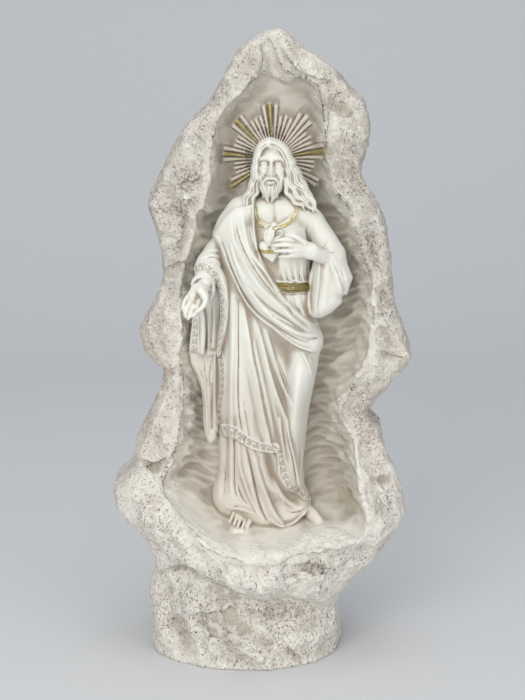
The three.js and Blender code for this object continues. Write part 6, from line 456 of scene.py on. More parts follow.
  ("left lock 2", [(-3, 312.2, 1.7, 8, 7), (-2.6, 309.1, 1.7, 8.5, 6.8), (-3.2, 306.2, 1.8, 9.1, 6.5), (-3.4, 303.4, 1.7, 10, 6.1), (-3.7, 300.6, 1.7, 11.1, 5.6), (-5.5, 298.6, 1.6, 12.2, 5), (-6.2, 296.2, 1.5, 13.6, 4.4), (-6.3, 293.8, 1.3, 15, 3.7), (-7.3, 291.8, 1.1, 16.3, 3), (-7.5, 289.7, 0.8, 17.2, 2.2), (-6.9, 287.8, 0.4, 18, 1.5)]),
  ("left lock 3", [(-6, 306.4, 1.8, 5, 7), (-7.1, 304, 1.7, 5.5, 6.6), (-7.5, 301.5, 1.7, 6.1, 6.2), (-9.1, 299.7, 1.6, 7, 5.7), (-10.8, 298.1, 1.5, 8.1, 5.2), (-11.2, 295.7, 1.3, 9.5, 4.6), (-11.9, 293.6, 1.1, 10.9, 3.8), (-13, 291.7, 0.8, 12, 2.8), (-13.1, 289.5, 0.4, 13, 1.6)]),
  ("right lock 1", [(17.8, 318.9, 3.2, 6, 8.5), (18, 315.8, 3.2, 6.2, 8.3), (19.6, 313, 3.2, 6.5, 8.2), (20.1, 310, 3.2, 6.8, 7.9), (20.7, 306.9, 3.1, 7.1, 7.6), (23.2, 305, 3, 7.5, 7.2), (25.3, 303.1, 2.9, 8, 6.8), (26.3, 300.4, 2.7, 8.5, 6.3), (27.7, 298.2, 2.4, 9, 5.8), (30, 296.7, 2.1, 9.5, 5.1), (31.9, 294.5, 1.6, 10, 4.2), (32.5, 291.5, 1.1, 10.5, 3.1), (34, 289, 0.5, 11, 1.8)]),
  ("right lock 2", [(15.9, 314.7, 2.3, 8.5, 7), (16.5, 311.7, 2.4, 9, 6.8), (16.4, 308.6, 2.4, 9.5, 6.6), (17, 305.5, 2.5, 10, 6.4), (19.3, 303.3, 2.5, 10.5, 6.2), (20.2, 300.4, 2.5, 11, 5.8), (21.9, 297.9, 2.4, 11.4, 5.4), (24.7, 297.1, 2.2, 11.8, 5), (26.7, 295.4, 1.9, 12, 4.5), (27.8, 293.2, 1.6, 12.2, 3.9), (29.2, 291.8, 1.2, 12.4, 3.2), (31, 290.5, 0.8, 12.5, 2.3), (31.7, 288.6, 0.4, 12.5, 1.4)]),
  ("right lock 3", [(14.3, 309.1, 1.6, 9, 6.4), (14.5, 306.4, 1.7, 9.8, 6.2), (15.1, 303.8, 1.8, 10.5, 5.9), (15.1, 301, 1.8, 11.2, 5.6), (17.2, 299.1, 1.8, 11.9, 5.2), (18.8, 297.3, 1.7, 12.5, 4.8), (20, 294.9, 1.6, 12.9, 4.4), (22.2, 294, 1.4, 13.2, 3.8), (24.2, 293.4, 1.1, 13.4, 3.1), (25.2, 291.8, 0.7, 13.5, 2.3), (26, 290.4, 0.4, 13.5, 1.4)]),
  ("right lock 4", [(20.8, 314.9, 1.9, 3, 7), (22.4, 312.7, 1.9, 3.2, 6.7), (23.4, 310.3, 1.8, 3.6, 6.4), (24.2, 307.9, 1.7, 4, 6), (26, 306, 1.6, 4.6, 5.5), (26.7, 303.9, 1.4, 5.2, 5), (27.6, 301.9, 1.2, 5.9, 4.2), (29.3, 300.7, 0.8, 6.5, 3.2), (30.5, 299.3, 0.5, 7, 2)]),
 ], plates=[
 ], folds=[
  ("crown left strand 1", 0.86, 0.86, 0.5, [(4.2, 329.6, -0.21), (2.5, 328.8, -0.62), (1.3, 328, -0.62), (0.2, 326.3, -0.62), (-0.7, 323.8, -0.62), (-1.6, 321, -0.62), (-2.1, 318, -0.62), (-2.4, 314.6, -0.39), (-2.5, 310.9, 0)]),
  ("crown left strand 2", 0.86, 0.86, 0.5, [(3.8, 330.6, 0.21), (2, 329.7, 0.62), (0.6, 328.6, 0.62), (-0.4, 326.7, 0.62), (-1.3, 324.1, 0.62), (-2, 321.3, 0.62), (-2.6, 318.2, 0.62), (-2.9, 314.7, 0.39), (-3.1, 311.1, 0)]),
  ("crown left strand 3", 0.86, 0.86, 0.5, [(3.6, 331.1, -0.21), (1.8, 330.2, -0.62), (0.2, 329, -0.62), (-1, 327, -0.62), (-2, 324.4, -0.62), (-2.8, 321.5, -0.62), (-3.5, 318.3, -0.62), (-3.8, 314.8, -0.39), (-4.1, 311.2, 0)]),
  ("crown left strand 4", 0.86, 0.86, 0.5, [(3.3, 331.8, 0.21), (1.3, 331, 0.62), (-0.6, 329.7, 0.62), (-2, 327.5, 0.62), (-3.1, 324.7, 0.62), (-3.9, 321.7, 0.62), (-4.4, 318.5, 0.62), (-4.6, 314.9, 0.39), (-4.7, 311.2, 0)]),
  ("crown left strand 5", 0.86, 0.86, 0.5, [(2.8, 332.8, -0.21), (0.7, 331.9, -0.62), (-1.3, 330.3, -0.62), (-2.8, 327.8, -0.62), (-3.8, 324.9, -0.62), (-4.5, 321.8, -0.62), (-4.9, 318.5, -0.62), (-5, 314.9, -0.39), (-5.1, 311.1, 0)]),
  ("crown left strand 6", 0.86, 0.86, 0.5, [(2.6, 333.2, 0.21), (0.4, 332.3, 0.62), (-1.7, 330.5, 0.62), (-3.3, 327.9, 0.62), (-4.4, 324.9, 0.62), (-5.1, 321.8, 0.62), (-5.6, 318.4, 0.62), (-5.9, 314.8, 0.39), (-6.1, 311, 0)]),
  ("crown right strand 1", 0.86, 0.86, 0.5, [(5.2, 333.5, -0.21), (7.8, 332.8, -0.62), (10.6, 331.7, -0.62), (13.3, 329.7, -0.62), (15.5, 327.2, -0.62), (17.1, 324.3, -0.62), (18.2, 321.2, -0.62), (19, 317.9, -0.39), (19.6, 314.4, 0)]),
  ("crown right strand 2", 0.86, 0.86, 0.5, [(4.9, 332.7, 0.21), (7.5, 332.2, 0.62), (10.2, 331.2, 0.62), (12.8, 329.3, 0.62), (15, 326.9, 0.62), (16.6, 324.2, 0.62), (17.7, 321.2, 0.62), (18.4, 317.9, 0.39), (18.9, 314.4, 0)]),
  ("crown right strand 3", 0.86, 0.86, 0.5, [(4.8, 332.4, -0.21), (7.4, 331.8, -0.62), (9.9, 330.8, -0.62), (12.4, 328.9, -0.62), (14.4, 326.6, -0.62), (15.8, 323.9, -0.62), (16.7, 321, -0.62), (17.3, 317.7, -0.39), (17.8, 314.3, 0)]),
  ("crown right strand 4", 0.86, 0.86, 0.5, [(4.6, 331.7, 0.21), (7.1, 331, 0.62), (9.4, 329.9, 0.62), (11.6, 328.2, 0.62), (13.4, 325.9, 0.62), (14.8, 323.5, 0.62), (15.7, 320.7, 0.62), (16.5, 317.6, 0.39), (17.2, 314.2, 0)]),
  ("crown right strand 5", 0.86, 0.86, 0.5, [(4.4, 330.7, -0.21), (6.8, 330.1, -0.62), (9, 329.2, -0.62), (11, 327.6, -0.62), (12.9, 325.5, -0.62), (14.2, 323.2, -0.62), (15.3, 320.6, -0.62), (16.1, 317.5, -0.39), (16.7, 314.1, 0)]),
  ("crown right strand 6", 0.86, 0.86, 0.5, [(4.3, 330.2, 0.21), (6.6, 329.6, 0.62), (8.7, 328.7, 0.62), (10.7, 327.2, 0.62), (12.4, 325.1, 0.62), (13.6, 322.9, 0.62), (14.5, 320.3, 0.62), (15.2, 317.2, 0.39), (15.7, 313.9, 0)]),
  ("crown right strand 7", 0.86, 0.86, 0.5, [(4.1, 329.6, -0.21), (6.4, 328.9, -0.62), (8.3, 327.9, -0.62), (10, 326.3, -0.62), (11.5, 324.4, -0.62), (12.6, 322.3, -0.62), (13.5, 319.9, -0.62), (14.2, 316.9, -0.39), (14.9, 313.6, 0)]),
  ("brow sweep left strand 1", 1.09, 1.09, 0.5, [(3.4, 328.8, -0.19), (1.8, 327.9, -0.62), (0.4, 326.7, -0.62), (-0.6, 324.9, -0.62), (-1.7, 322.8, -0.62), (-2.6, 320.2, -0.62), (-2.6, 317.1, -0.62), (-2.7, 313.9, -0.39), (-2.7, 310.5, 0)]),
  ("brow sweep left strand 2", 1.09, 1.09, 0.5, [(3, 329.6, 0.19), (1.3, 328.8, 0.62), (-0.3, 327.5, 0.62), (-1.4, 325.5, 0.62), (-2.5, 323.1, 0.62), (-3.4, 320.4, 0.62), (-3.4, 317.2, 0.62), (-3.5, 313.9, 0.39), (-3.5, 310.6, 0)]),
  ("brow sweep left strand 3", 1.09, 1.09, 0.5, [(2.7, 330, -0.19), (0.9, 329.3, -0.62), (-0.8, 327.9, -0.62), (-2.2, 325.8, -0.62), (-3.4, 323.4, -0.62), (-4.4, 320.5, -0.62), (-4.5, 317.2, -0.62), (-4.7, 313.9, -0.39), (-4.7, 310.5, 0)]),
  ("brow sweep right strand 1", 0.96, 0.96, 0.5, [(4.3, 330.2, -0.19), (6.2, 329.5, -0.62), (8.3, 328.5, -0.62), (10.7, 327.3, -0.62), (12.6, 325.2, -0.62), (14, 322.5, -0.62), (15.5, 319.8, -0.62), (16.5, 316.9, -0.39), (17.1, 313.9, 0)]),
  ("brow sweep right strand 2", 0.96, 0.96, 0.5, [(4.1, 329.6, 0.19), (5.9, 328.8, 0.62), (7.8, 327.9, 0.62), (10.1, 326.8, 0.62), (12, 324.8, 0.62), (13.3, 322.2, 0.62), (14.8, 319.6, 0.62), (15.9, 316.8, 0.39), (16.4, 313.8, 0)]),
  ("brow sweep right strand 3", 0.96, 0.96, 0.5, [(3.9, 329.3, -0.19), (5.7, 328.4, -0.62), (7.5, 327.4, -0.62), (9.6, 326.3, -0.62), (11.3, 324.3, -0.62), (12.5, 321.8, -0.62), (13.8, 319.2, -0.62), (14.7, 316.5, -0.39), (15.3, 313.5, 0)]),
  ("brow sweep right strand 4", 0.96, 0.96, 0.5, [(3.7, 328.7, 0.19), (5.4, 327.7, 0.62), (7, 326.5, 0.62), (8.9, 325.3, 0.62), (10.3, 323.4, 0.62), (11.3, 321.1, 0.62), (12.7, 318.7, 0.62), (13.7, 316.1, 0.39), (14.4, 313.2, 0)]),
  ("left lock 1 strand 1", 0.94, 0.94, 0.5, [(-2.9, 315.9, -0.21), (-3, 312.8, -0.62), (-2.7, 309.7, -0.62), (-4.2, 306.9, -0.62), (-4.9, 304.1, -0.62), (-5.2, 301.1, -0.62), (-7.1, 299, -0.62), (-8.6, 296.8, -0.62), (-8.5, 294.3, -0.62), (-8.9, 292.2, -0.62), (-10, 289.9, -0.62), (-9.7, 287.1, -0.28), (-9.7, 284, 0)]),
  ("left lock 1 strand 2", 0.94, 0.94, 0.5, [(-4.2, 316, 0.21), (-4.1, 313, 0.62), (-3.6, 309.9, 0.62), (-5, 307.2, 0.62), (-5.6, 304.4, 0.62), (-5.8, 301.5, 0.62), (-7.7, 299.4, 0.62), (-9.2, 297.2, 0.62), (-9.2, 294.6, 0.62), (-9.6, 292.4, 0.62), (-10.8, 289.9, 0.62), (-10.3, 287.1, 0.28), (-10, 284, 0)]),
  ("left lock 1 strand 3", 0.94, 0.94, 0.5, [(-4.9, 316, -0.21), (-4.9, 313, -0.62), (-4.4, 310, -0.62), (-5.9, 307.4, -0.62), (-6.5, 304.7, -0.62), (-6.8, 301.9, -0.62), (-8.7, 299.8, -0.62), (-10.3, 297.6, -0.62), (-10.4, 294.9, -0.62), (-10.7, 292.5, -0.62), (-11.7, 289.9, -0.62), (-10.9, 287, -0.28), (-10.2, 284, 0)]),
  ("left lock 1 strand 4", 0.94, 0.94, 0.5, [(-6, 315.9, 0.21), (-6.1, 312.9, 0.62), (-5.7, 310, 0.62), (-7.2, 307.5, 0.62), (-7.8, 305.1, 0.62), (-8, 302.4, 0.62), (-9.7, 300.2, 0.62), (-11.2, 297.9, 0.62), (-11.2, 295, 0.62), (-11.4, 292.5, 0.62), (-12.1, 289.8, 0.62), (-11.1, 287, 0.28), (-10.3, 284, 0)]),
  ("left lock 2 strand 1", 0.88, 0.88, 0.5, [(-2, 312.4, -0.21), (-1.6, 309.3, -0.62), (-2.4, 306.3, -0.62), (-2.6, 303.3, -0.62), (-2.9, 300.5, -0.62), (-4.8, 298.4, -0.62), (-5.5, 296.1, -0.62), (-5.5, 293.8, -0.56), (-6.7, 291.8, -0.45), (-7.1, 289.8, -0.2), (-6.7, 287.9, 0)]),
  ("left lock 2 strand 2", 0.88, 0.88, 0.5, [(-3.2, 312.4, 0.21), (-2.7, 309.4, 0.62), (-3.3, 306.4, 0.62), (-3.4, 303.6, 0.62), (-3.6, 300.8, 0.62), (-5.4, 298.7, 0.62), (-6.1, 296.3, 0.62), (-6.1, 293.9, 0.56), (-7.2, 291.9, 0.45), (-7.5, 289.8, 0.2), (-6.9, 287.9, 0)]),
  ("left lock 2 strand 3", 0.88, 0.88, 0.5, [(-3.9, 312.3, -0.21), (-3.4, 309.3, -0.62), (-4.1, 306.4, -0.62), (-4.3, 303.7, -0.62), (-4.5, 301, -0.62), (-6.3, 299, -0.62), (-7, 296.6, -0.62), (-7, 294.1, -0.56), (-8, 291.9, -0.45), (-8, 289.8, -0.2), (-7.2, 287.8, 0)]),
  ("left lock 3 strand 1", 0.84, 0.84, 0.5, [(-5, 306.2, -0.21), (-6.2, 303.8, -0.62), (-6.8, 301.2, -0.62), (-8.4, 299.4, -0.62), (-10.1, 297.9, -0.62), (-10.6, 295.6, -0.56), (-11.4, 293.6, -0.47), (-12.6, 291.7, -0.21), (-12.9, 289.5, 0)]),
  ("left lock 3 strand 2", 0.84, 0.84, 0.5, [(-6.2, 306.7, 0.21), (-7.2, 304.3, 0.62), (-7.6, 301.7, 0.62), (-9.1, 299.9, 0.62), (-10.7, 298.3, 0.62), (-11.1, 295.9, 0.56), (-11.8, 293.8, 0.47), (-12.9, 291.8, 0.21), (-13.1, 289.6, 0)]),
  ("left lock 3 strand 3", 0.84, 0.84, 0.5, [(-6.9, 306.9, -0.21), (-7.9, 304.5, -0.62), (-8.2, 302, -0.62), (-9.8, 300.2, -0.62), (-11.4, 298.6, -0.62), (-11.8, 296.1, -0.56), (-12.5, 293.9, -0.47), (-13.5, 291.8, -0.21), (-13.4, 289.6, 0)]),
  ("right lock 1 strand 1", 0.78, 0.78, 0.5, [(20, 319.3, -0.21), (20.2, 316.3, -0.62), (21.6, 313.7, -0.62), (22, 311, -0.62), (22.5, 308.1, -0.62), (24.8, 306.3, -0.62), (26.8, 304.5, -0.62), (27.7, 301.7, -0.62), (29, 299.4, -0.62), (31.3, 297.7, -0.62), (33, 295.3, -0.62), (33.2, 292, -0.29), (34.4, 289.2, 0)]),
  ("right lock 1 strand 2", 0.78, 0.78, 0.5, [(18.9, 319.2, 0.21), (19.2, 316.2, 0.62), (20.8, 313.6, 0.62), (21.3, 310.8, 0.62), (21.9, 307.9, 0.62), (24.3, 306.1, 0.62), (26.3, 304.2, 0.62), (27.2, 301.5, 0.62), (28.5, 299.1, 0.62), (30.8, 297.4, 0.62), (32.4, 295.1, 0.62), (32.8, 291.8, 0.29), (34.2, 289.1, 0)]),
  ("right lock 1 strand 3", 0.78, 0.78, 0.5, [(18.2, 319.2, -0.21), (18.6, 316.1, -0.62), (20.1, 313.4, -0.62), (20.6, 310.5, -0.62), (21.2, 307.5, -0.62), (23.5, 305.5, -0.62), (25.5, 303.6, -0.62), (26.4, 300.8, -0.62), (27.7, 298.5, -0.62), (30.1, 296.9, -0.62), (31.8, 294.7, -0.62), (32.5, 291.7, -0.29), (34, 289.1, 0)]),
  ("right lock 1 strand 4", 0.78, 0.78, 0.5, [(17.3, 319, 0.21), (17.5, 315.9, 0.62), (19, 313.1, 0.62), (19.5, 310, 0.62), (20.1, 306.9, 0.62), (22.5, 304.9, 0.62), (24.7, 303, 0.62), (25.8, 300.3, 0.62), (27.2, 298.1, 0.62), (29.7, 296.7, 0.62), (31.6, 294.6, 0.62), (32.3, 291.6, 0.29), (34, 289, 0)]),
  ("right lock 1 strand 5", 0.78, 0.78, 0.5, [(16.1, 318.8, -0.21), (16.4, 315.7, -0.62), (18.1, 312.8, -0.62), (18.7, 309.6, -0.62), (19.5, 306.5, -0.62), (22.1, 304.5, -0.62), (24.3, 302.6, -0.62), (25.4, 300, -0.62), (26.9, 297.8, -0.62), (29.4, 296.4, -0.62), (31.3, 294.4, -0.62), (32, 291.4, -0.29), (33.8, 288.9, 0)]),
  ("right lock 1 strand 6", 0.78, 0.78, 0.5, [(15.5, 318.6, 0.21), (15.8, 315.4, 0.62), (17.5, 312.5, 0.62), (18.1, 309.3, 0.62), (18.9, 306, 0.62), (21.4, 303.9, 0.62), (23.7, 302, 0.62), (24.7, 299.3, 0.62), (26.2, 297.1, 0.62), (28.7, 295.8, 0.62), (30.7, 293.9, 0.62), (31.6, 291.1, 0.29), (33.7, 288.8, 0)]),
  ("right lock 2 strand 1", 0.73, 0.73, 0.5, [(17.5, 314.9, -0.21), (18, 311.9, -0.62), (17.9, 309, -0.62), (18.4, 306.1, -0.62), (20.7, 304.1, -0.62), (21.4, 301.5, -0.62), (22.9, 299.1, -0.62), (25.6, 298.4, -0.62), (27.5, 296.6, -0.62), (28.5, 294.1, -0.62), (29.9, 292.4, -0.49), (31.5, 290.8, -0.2), (32, 288.7, 0)]),
  ("right lock 2 strand 2", 0.73, 0.73, 0.5, [(16.5, 314.9, 0.21), (17.1, 311.9, 0.62), (17.1, 308.9, 0.62), (17.8, 306, 0.62), (20.1, 304, 0.62), (21, 301.2, 0.62), (22.5, 298.9, 0.62), (25.3, 298, 0.62), (27.1, 296.2, 0.62), (28.1, 293.8, 0.62), (29.5, 292.1, 0.49), (31.2, 290.7, 0.2), (31.8, 288.7, 0)]),
  ("right lock 2 strand 3", 0.73, 0.73, 0.5, [(15.9, 314.9, -0.21), (16.6, 311.9, -0.62), (16.5, 308.8, -0.62), (17.1, 305.8, -0.62), (19.4, 303.6, -0.62), (20.2, 300.6, -0.62), (21.8, 298.1, -0.62), (24.6, 297.2, -0.62), (26.5, 295.5, -0.62), (27.6, 293.2, -0.62), (29.1, 291.8, -0.49), (30.9, 290.5, -0.2), (31.7, 288.6, 0)]),
  ("right lock 2 strand 4", 0.73, 0.73, 0.5, [(15.1, 314.8, 0.21), (15.6, 311.8, 0.62), (15.4, 308.6, 0.62), (16, 305.4, 0.62), (18.3, 303, 0.62), (19.4, 299.9, 0.62), (21.1, 297.4, 0.62), (24.1, 296.6, 0.62), (26.2, 295, 0.62), (27.3, 292.9, 0.62), (28.9, 291.7, 0.49), (30.7, 290.5, 0.2), (31.6, 288.6, 0)]),
  ("right lock 2 strand 5", 0.73, 0.73, 0.5, [(14.1, 314.6, -0.21), (14.6, 311.6, -0.62), (14.5, 308.3, -0.62), (15.2, 305, -0.62), (17.8, 302.5, -0.62), (18.9, 299.5, -0.62), (20.8, 297, -0.62), (23.9, 296.1, -0.62), (25.9, 294.6, -0.62), (27.1, 292.6, -0.62), (28.6, 291.4, -0.49), (30.5, 290.3, -0.2), (31.5, 288.5, 0)]),
  ("right lock 3 strand 1", 0.67, 0.67, 0.5, [(15.3, 309.3, -0.21), (15.6, 306.6, -0.62), (16.1, 304.2, -0.62), (16, 301.5, -0.62), (18, 299.8, -0.62), (19.5, 298, -0.62), (20.5, 295.7, -0.62), (22.6, 294.8, -0.58), (24.7, 294, -0.46), (25.5, 292.2, -0.19), (26.2, 290.6, 0)]),
  ("right lock 3 strand 2", 0.67, 0.67, 0.5, [(14.4, 309.4, 0.21), (14.7, 306.7, 0.62), (15.4, 304.1, 0.62), (15.4, 301.4, 0.62), (17.5, 299.6, 0.62), (19.1, 297.8, 0.62), (20.3, 295.5, 0.62), (22.4, 294.5, 0.58), (24.4, 293.8, 0.46), (25.3, 292.1, 0.19), (26.1, 290.5, 0)]),
  ("right lock 3 strand 3", 0.67, 0.67, 0.5, [(14, 309.3, -0.21), (14.3, 306.6, -0.62), (14.9, 304, -0.62), (14.8, 301.1, -0.62), (16.9, 299.2, -0.62), (18.6, 297.3, -0.62), (19.7, 294.8, -0.62), (21.9, 293.9, -0.58), (24, 293.3, -0.46), (25, 291.8, -0.19), (25.9, 290.4, 0)]),
  ("right lock 3 strand 4", 0.67, 0.67, 0.5, [(13.3, 309.2, 0.21), (13.4, 306.4, 0.62), (13.9, 303.7, 0.62), (13.9, 300.6, 0.62), (16, 298.5, 0.62), (17.8, 296.5, 0.62), (19.2, 294.1, 0.62), (21.6, 293.3, 0.58), (23.7, 292.9, 0.46), (24.8, 291.5, 0.19), (25.8, 290.3, 0)]),
  ("right lock 4 strand 1", 0.9, 0.9, 0.5, [(21.8, 315.7, -0.21), (23.2, 313.4, -0.62), (24.2, 310.8, -0.62), (24.9, 308.3, -0.62), (26.6, 306.5, -0.62), (27.2, 304.3, -0.59), (28, 302.3, -0.5), (29.6, 301.1, -0.23), (30.7, 299.5, 0)]),
  ("right lock 4 strand 2", 0.9, 0.9, 0.5, [(20.6, 315.1, 0.21), (22.2, 312.9, 0.62), (23.2, 310.4, 0.62), (24.1, 308.1, 0.62), (25.9, 306.3, 0.62), (26.7, 304.1, 0.59), (27.6, 302.1, 0.5), (29.3, 300.9, 0.23), (30.5, 299.4, 0)]),
  ("right lock 4 strand 3", 0.9, 0.9, 0.5, [(19.9, 314.6, -0.21), (21.5, 312.4, -0.62), (22.5, 310, -0.62), (23.4, 307.7, -0.62), (25.2, 305.8, -0.62), (26, 303.6, -0.59), (27, 301.6, -0.5), (28.9, 300.5, -0.23), (30.3, 299.2, 0)]),
  ("parting", 0.7, 0.9, 0.3, [(3.6, 328.9, -0.9), (3.4, 330.9, -1), (3.5, 332.9, -0.6)]),
 ], steps=[
 ])),
]
# places where the rock is closely pitted: x, z, reach across, reach up, how much
PITTED = [
 ("left wall", -49, 280, 12, 24, 0.95),
 ("left wall top", -43, 308, 12, 12, 0.8),
 ("left wall low", -41, 252, 9, 13, 0.7),
 ("upper left", -30, 346, 8, 12, 0.6),
 ("crown right", 36, 367, 10, 8, 0.6),
 ("upper right", 55, 327, 7, 21, 0.6),
 ("right wall", 67, 265, 8, 21, 0.85),
 ("right point", 77, 227, 9, 15, 0.7),
 ("left point", -68, 215, 9, 15, 0.5),
 ("left lower", -52, 169, 8, 21, 0.5),
 ("right lower", 70, 140, 8, 20, 0.55),
 ("right bulge", 79, 104, 8, 15, 0.6),
 ("skirt right", 30, 68, 21, 6, 0.9),
 ("under skirt", 11, 37, 32, 9, 0.75),
 ("skirt left", -36, 63, 16, 7, 0.7),
 ("bowl left", -65, 92, 15, 15, 0.6),
 ("base left", -51, 30, 11, 15, 0.35),
]
# gold rays, counted clockwise from the top
GOLD_RAYS = (0, -6, -12, 12, -18)
# gold lines: half width, offset to each side (0 for one line), depth over which it holds, (x, z, h); half width 0: a closed patch
GOLD_LINES = [
 ("neckline", 0.50, 0.82, 3.2, [(-4.5, 291.9, 16.6), (-4.1, 286.7, 16.7), (-2.4, 282.5, 15.4), (0.6, 280.4, 16.3), (3.7, 280.4, 25.9), (7.1, 280.1, 25.5), (10.8, 279.8, 17.5), (15.5, 281.8, 17.2), (19.1, 285.7, 15.5), (21.9, 291.7, 13.8)]),
 ("heart band", 1.25, 0, 3.5, [(-2.5, 265.3, 20.2), (0.9, 265.6, 25.9), (5.8, 265.5, 25.4), (10.3, 265.7, 23.3)]),
 ("belt", 0, 0, 4.5, [(8.4, 245.0, 22.1), (11.5, 245.8, 20.9), (17.1, 245.1, 20.0), (23.4, 244.8, 16.7), (29.3, 244.5, 15.7), (29.3, 239.4, 16.1), (23.4, 239.2, 18.4), (15.8, 239.3, 21.5), (11.5, 240.7, 22.4)]),
]
# lace bands: (x, z, half width, h)
LACE = [
 ("cuff", [(-40.7, 254.1, 2.6, 18.1), (-37.7, 255.9, 2.9, 20.7), (-33.4, 254.3, 3.0, 22.6), (-29.4, 250.0, 2.8, 22.1), (-26.9, 243.2, 2.2, 18.4), (-25.4, 236.3, 1.8, 18.5), (-24.9, 229.5, 1.6, 19.2), (-25.1, 222.2, 1.5, 19.1), (-26.0, 212.7, 1.4, 17.8), (-27.0, 203.6, 1.4, 17.0)]),
 ("strip", [(-42.0, 220.7, 2.3, 15.7), (-42.3, 211.1, 2.6, 15.9), (-42.8, 202.1, 2.8, 15.9)]),
 ("column", [(-27.1, 201.1, 1.9, 17.1), (-25.8, 191.4, 2.0, 13.8), (-25.6, 178.4, 1.8, 13.4), (-27.3, 164.6, 1.6, 10.0), (-28.4, 151.9, 1.6, 6.3)]),
 ("hem1", [(-26.2, 148.7, 3.8, 9.3), (-21.3, 150.1, 4.5, 16.1), (-16.8, 148.8, 4.1, 19.0), (-12.1, 146.0, 3.5, 20.7)]),
 ("hem2", [(-11.3, 146.1, 3.2, 21.6), (-6.0, 142.9, 3.2, 23.0), (0.3, 141.2, 3.2, 23.7), (7.7, 140.3, 3.4, 22.8)]),
 ("hem3", [(12.0, 134.6, 2.6, 23.5), (12.8, 127.4, 2.9, 23.6), (14.7, 120.9, 3.1, 24.0), (18.8, 114.4, 2.5, 22.9), (26.1, 107.1, 1.6, 13.8), (30.7, 103.3, 1.4, 12.6)]),
]

# ------------------------------------------------------------------ curves, outlines, blends
def cr(rows, n=6):
    P = np.array(rows, float)
    if len(P) < 3:
        t = np.linspace(0, 1, n + 1)[:, None]
        return P[0] * (1 - t) + P[-1] * t
    Q = np.vstack([2 * P[0] - P[1], P, 2 * P[-1] - P[-2]])
    out = []
    for i in range(1, len(Q) - 2):
        a, b, c, d = Q[i - 1], Q[i], Q[i + 1], Q[i + 2]
        for j in range(n):
            t = j / n
            out.append(0.5 * (2 * b + (c - a) * t + (2 * a - 5 * b + 4 * c - d) * t * t + (3 * b - a - 3 * c + d) * t ** 3))
    out.append(P[-1])
    return np.array(out)

def closed(P, n=4):
    P = np.array(P, float); out = []
    for i in range(len(P)):
        a, b, c, d = P[i - 1], P[i], P[(i + 1) % len(P)], P[(i + 2) % len(P)]
        for j in range(n):
            t = j / n
            out.append(b + 0.3 * ((c - a) * t + (2 * a - 5 * b + 4 * c - d) * t * t + (3 * b - a - 3 * c + d) * t ** 3) + 0.4 * (c - b) * t)
    return np.array(out)

def line(X, Z, P):
    best = np.full(X.shape, 1e9); sg = np.zeros(X.shape); val = [np.zeros(X.shape) for _ in range(P.shape[1] - 2)]
    for a, b in zip(P[:-1], P[1:]):
        ex, ez = b[0] - a[0], b[1] - a[1]
        t = np.clip(((X - a[0]) * ex + (Z - a[1]) * ez) / (ex * ex + ez * ez + 1e-12), 0, 1)
        dx = X - a[0] - t * ex; dz = Z - a[1] - t * ez; d = dx * dx + dz * dz; m = d < best
        best = np.where(m, d, best); sg = np.where(m, ex * (Z - a[1]) - ez * (X - a[0]), sg)
        for i in range(len(val)):
            val[i] = np.where(m, a[2 + i] + t * (b[2 + i] - a[2 + i]), val[i])
    return np.sqrt(best), np.sign(sg), val

def outline(X, Z, P):
    best = np.full(X.shape, 1e9); ins = np.zeros(X.shape, bool); Q = np.vstack([P, P[:1]])
    for a, b in zip(Q[:-1], Q[1:]):
        ex, ez = b[0] - a[0], b[1] - a[1]
        t = np.clip(((X - a[0]) * ex + (Z - a[1]) * ez) / (ex * ex + ez * ez + 1e-12), 0, 1)
        dx = X - a[0] - t * ex; dz = Z - a[1] - t * ez; best = np.minimum(best, dx * dx + dz * dz)
        if a[1] != b[1]:
            ins ^= ((a[1] > Z) != (b[1] > Z)) & (X < (b[0] - a[0]) * (Z - a[1]) / (b[1] - a[1]) + a[0])
    return np.where(ins, 1, -1) * np.sqrt(best)

def smin(a, b, k):
    h = np.maximum(k - np.abs(a - b), 0) / k
    return np.minimum(a, b) - h * h * k * f4(0.25)

def smax(a, b, k):
    return -smin(-a, -b, k)

def step(a, b, x):
    t = np.clip((x - a) / (b - a), 0, 1)
    return t * t * (3 - 2 * t)

# ------------------------------------------------------------------ grid: fine over the figure, finest over the head
def axis(stops):
    out = [stops[0][0]]
    for (a, s), (b, _) in zip(stops[:-1], stops[1:]):
        n = max(1, int(round((b - a) / s)))
        out += list(a + (b - a) * (np.arange(1, n + 1) / n))
    return np.array(out, f4)

Q = 1.0
XS = axis([(-105, 1.3 * Q), (-58, 0.85 * Q), (-50, 0.62 * Q), (-22, 0.5 * Q), (-11, 0.36 * Q), (27, 0.5 * Q), (42, 0.62 * Q), (54, 1.3 * Q), (105, 1)])
HS = axis([(-58, 1.6 * Q), (-20, 0.7 * Q), (-6, 0.5 * Q), (30, 0.62 * Q), (54, 0.9 * Q), (72, 1)])
ZS = axis([(-6, 1.3 * Q), (76, 0.8 * Q), (84, 0.62 * Q), (236, 0.52 * Q), (284, 0.36 * Q), (340, 0.6 * Q), (358, 1.3 * Q), (410, 1)])
X, Z = np.meshgrid(XS.astype(float), ZS.astype(float))
NZ, NX, NH = len(ZS), len(XS), len(HS)

def win(x0, x1, z0, z1):
    i0, i1 = np.searchsorted(XS, [x0, x1]); k0, k1 = np.searchsorted(ZS, [z0, z1])
    return slice(k0, k1), slice(i0, i1)

def hwin(a, b):
    j0, j1 = np.searchsorted(HS, [a, b])
    return slice(j0, j1)

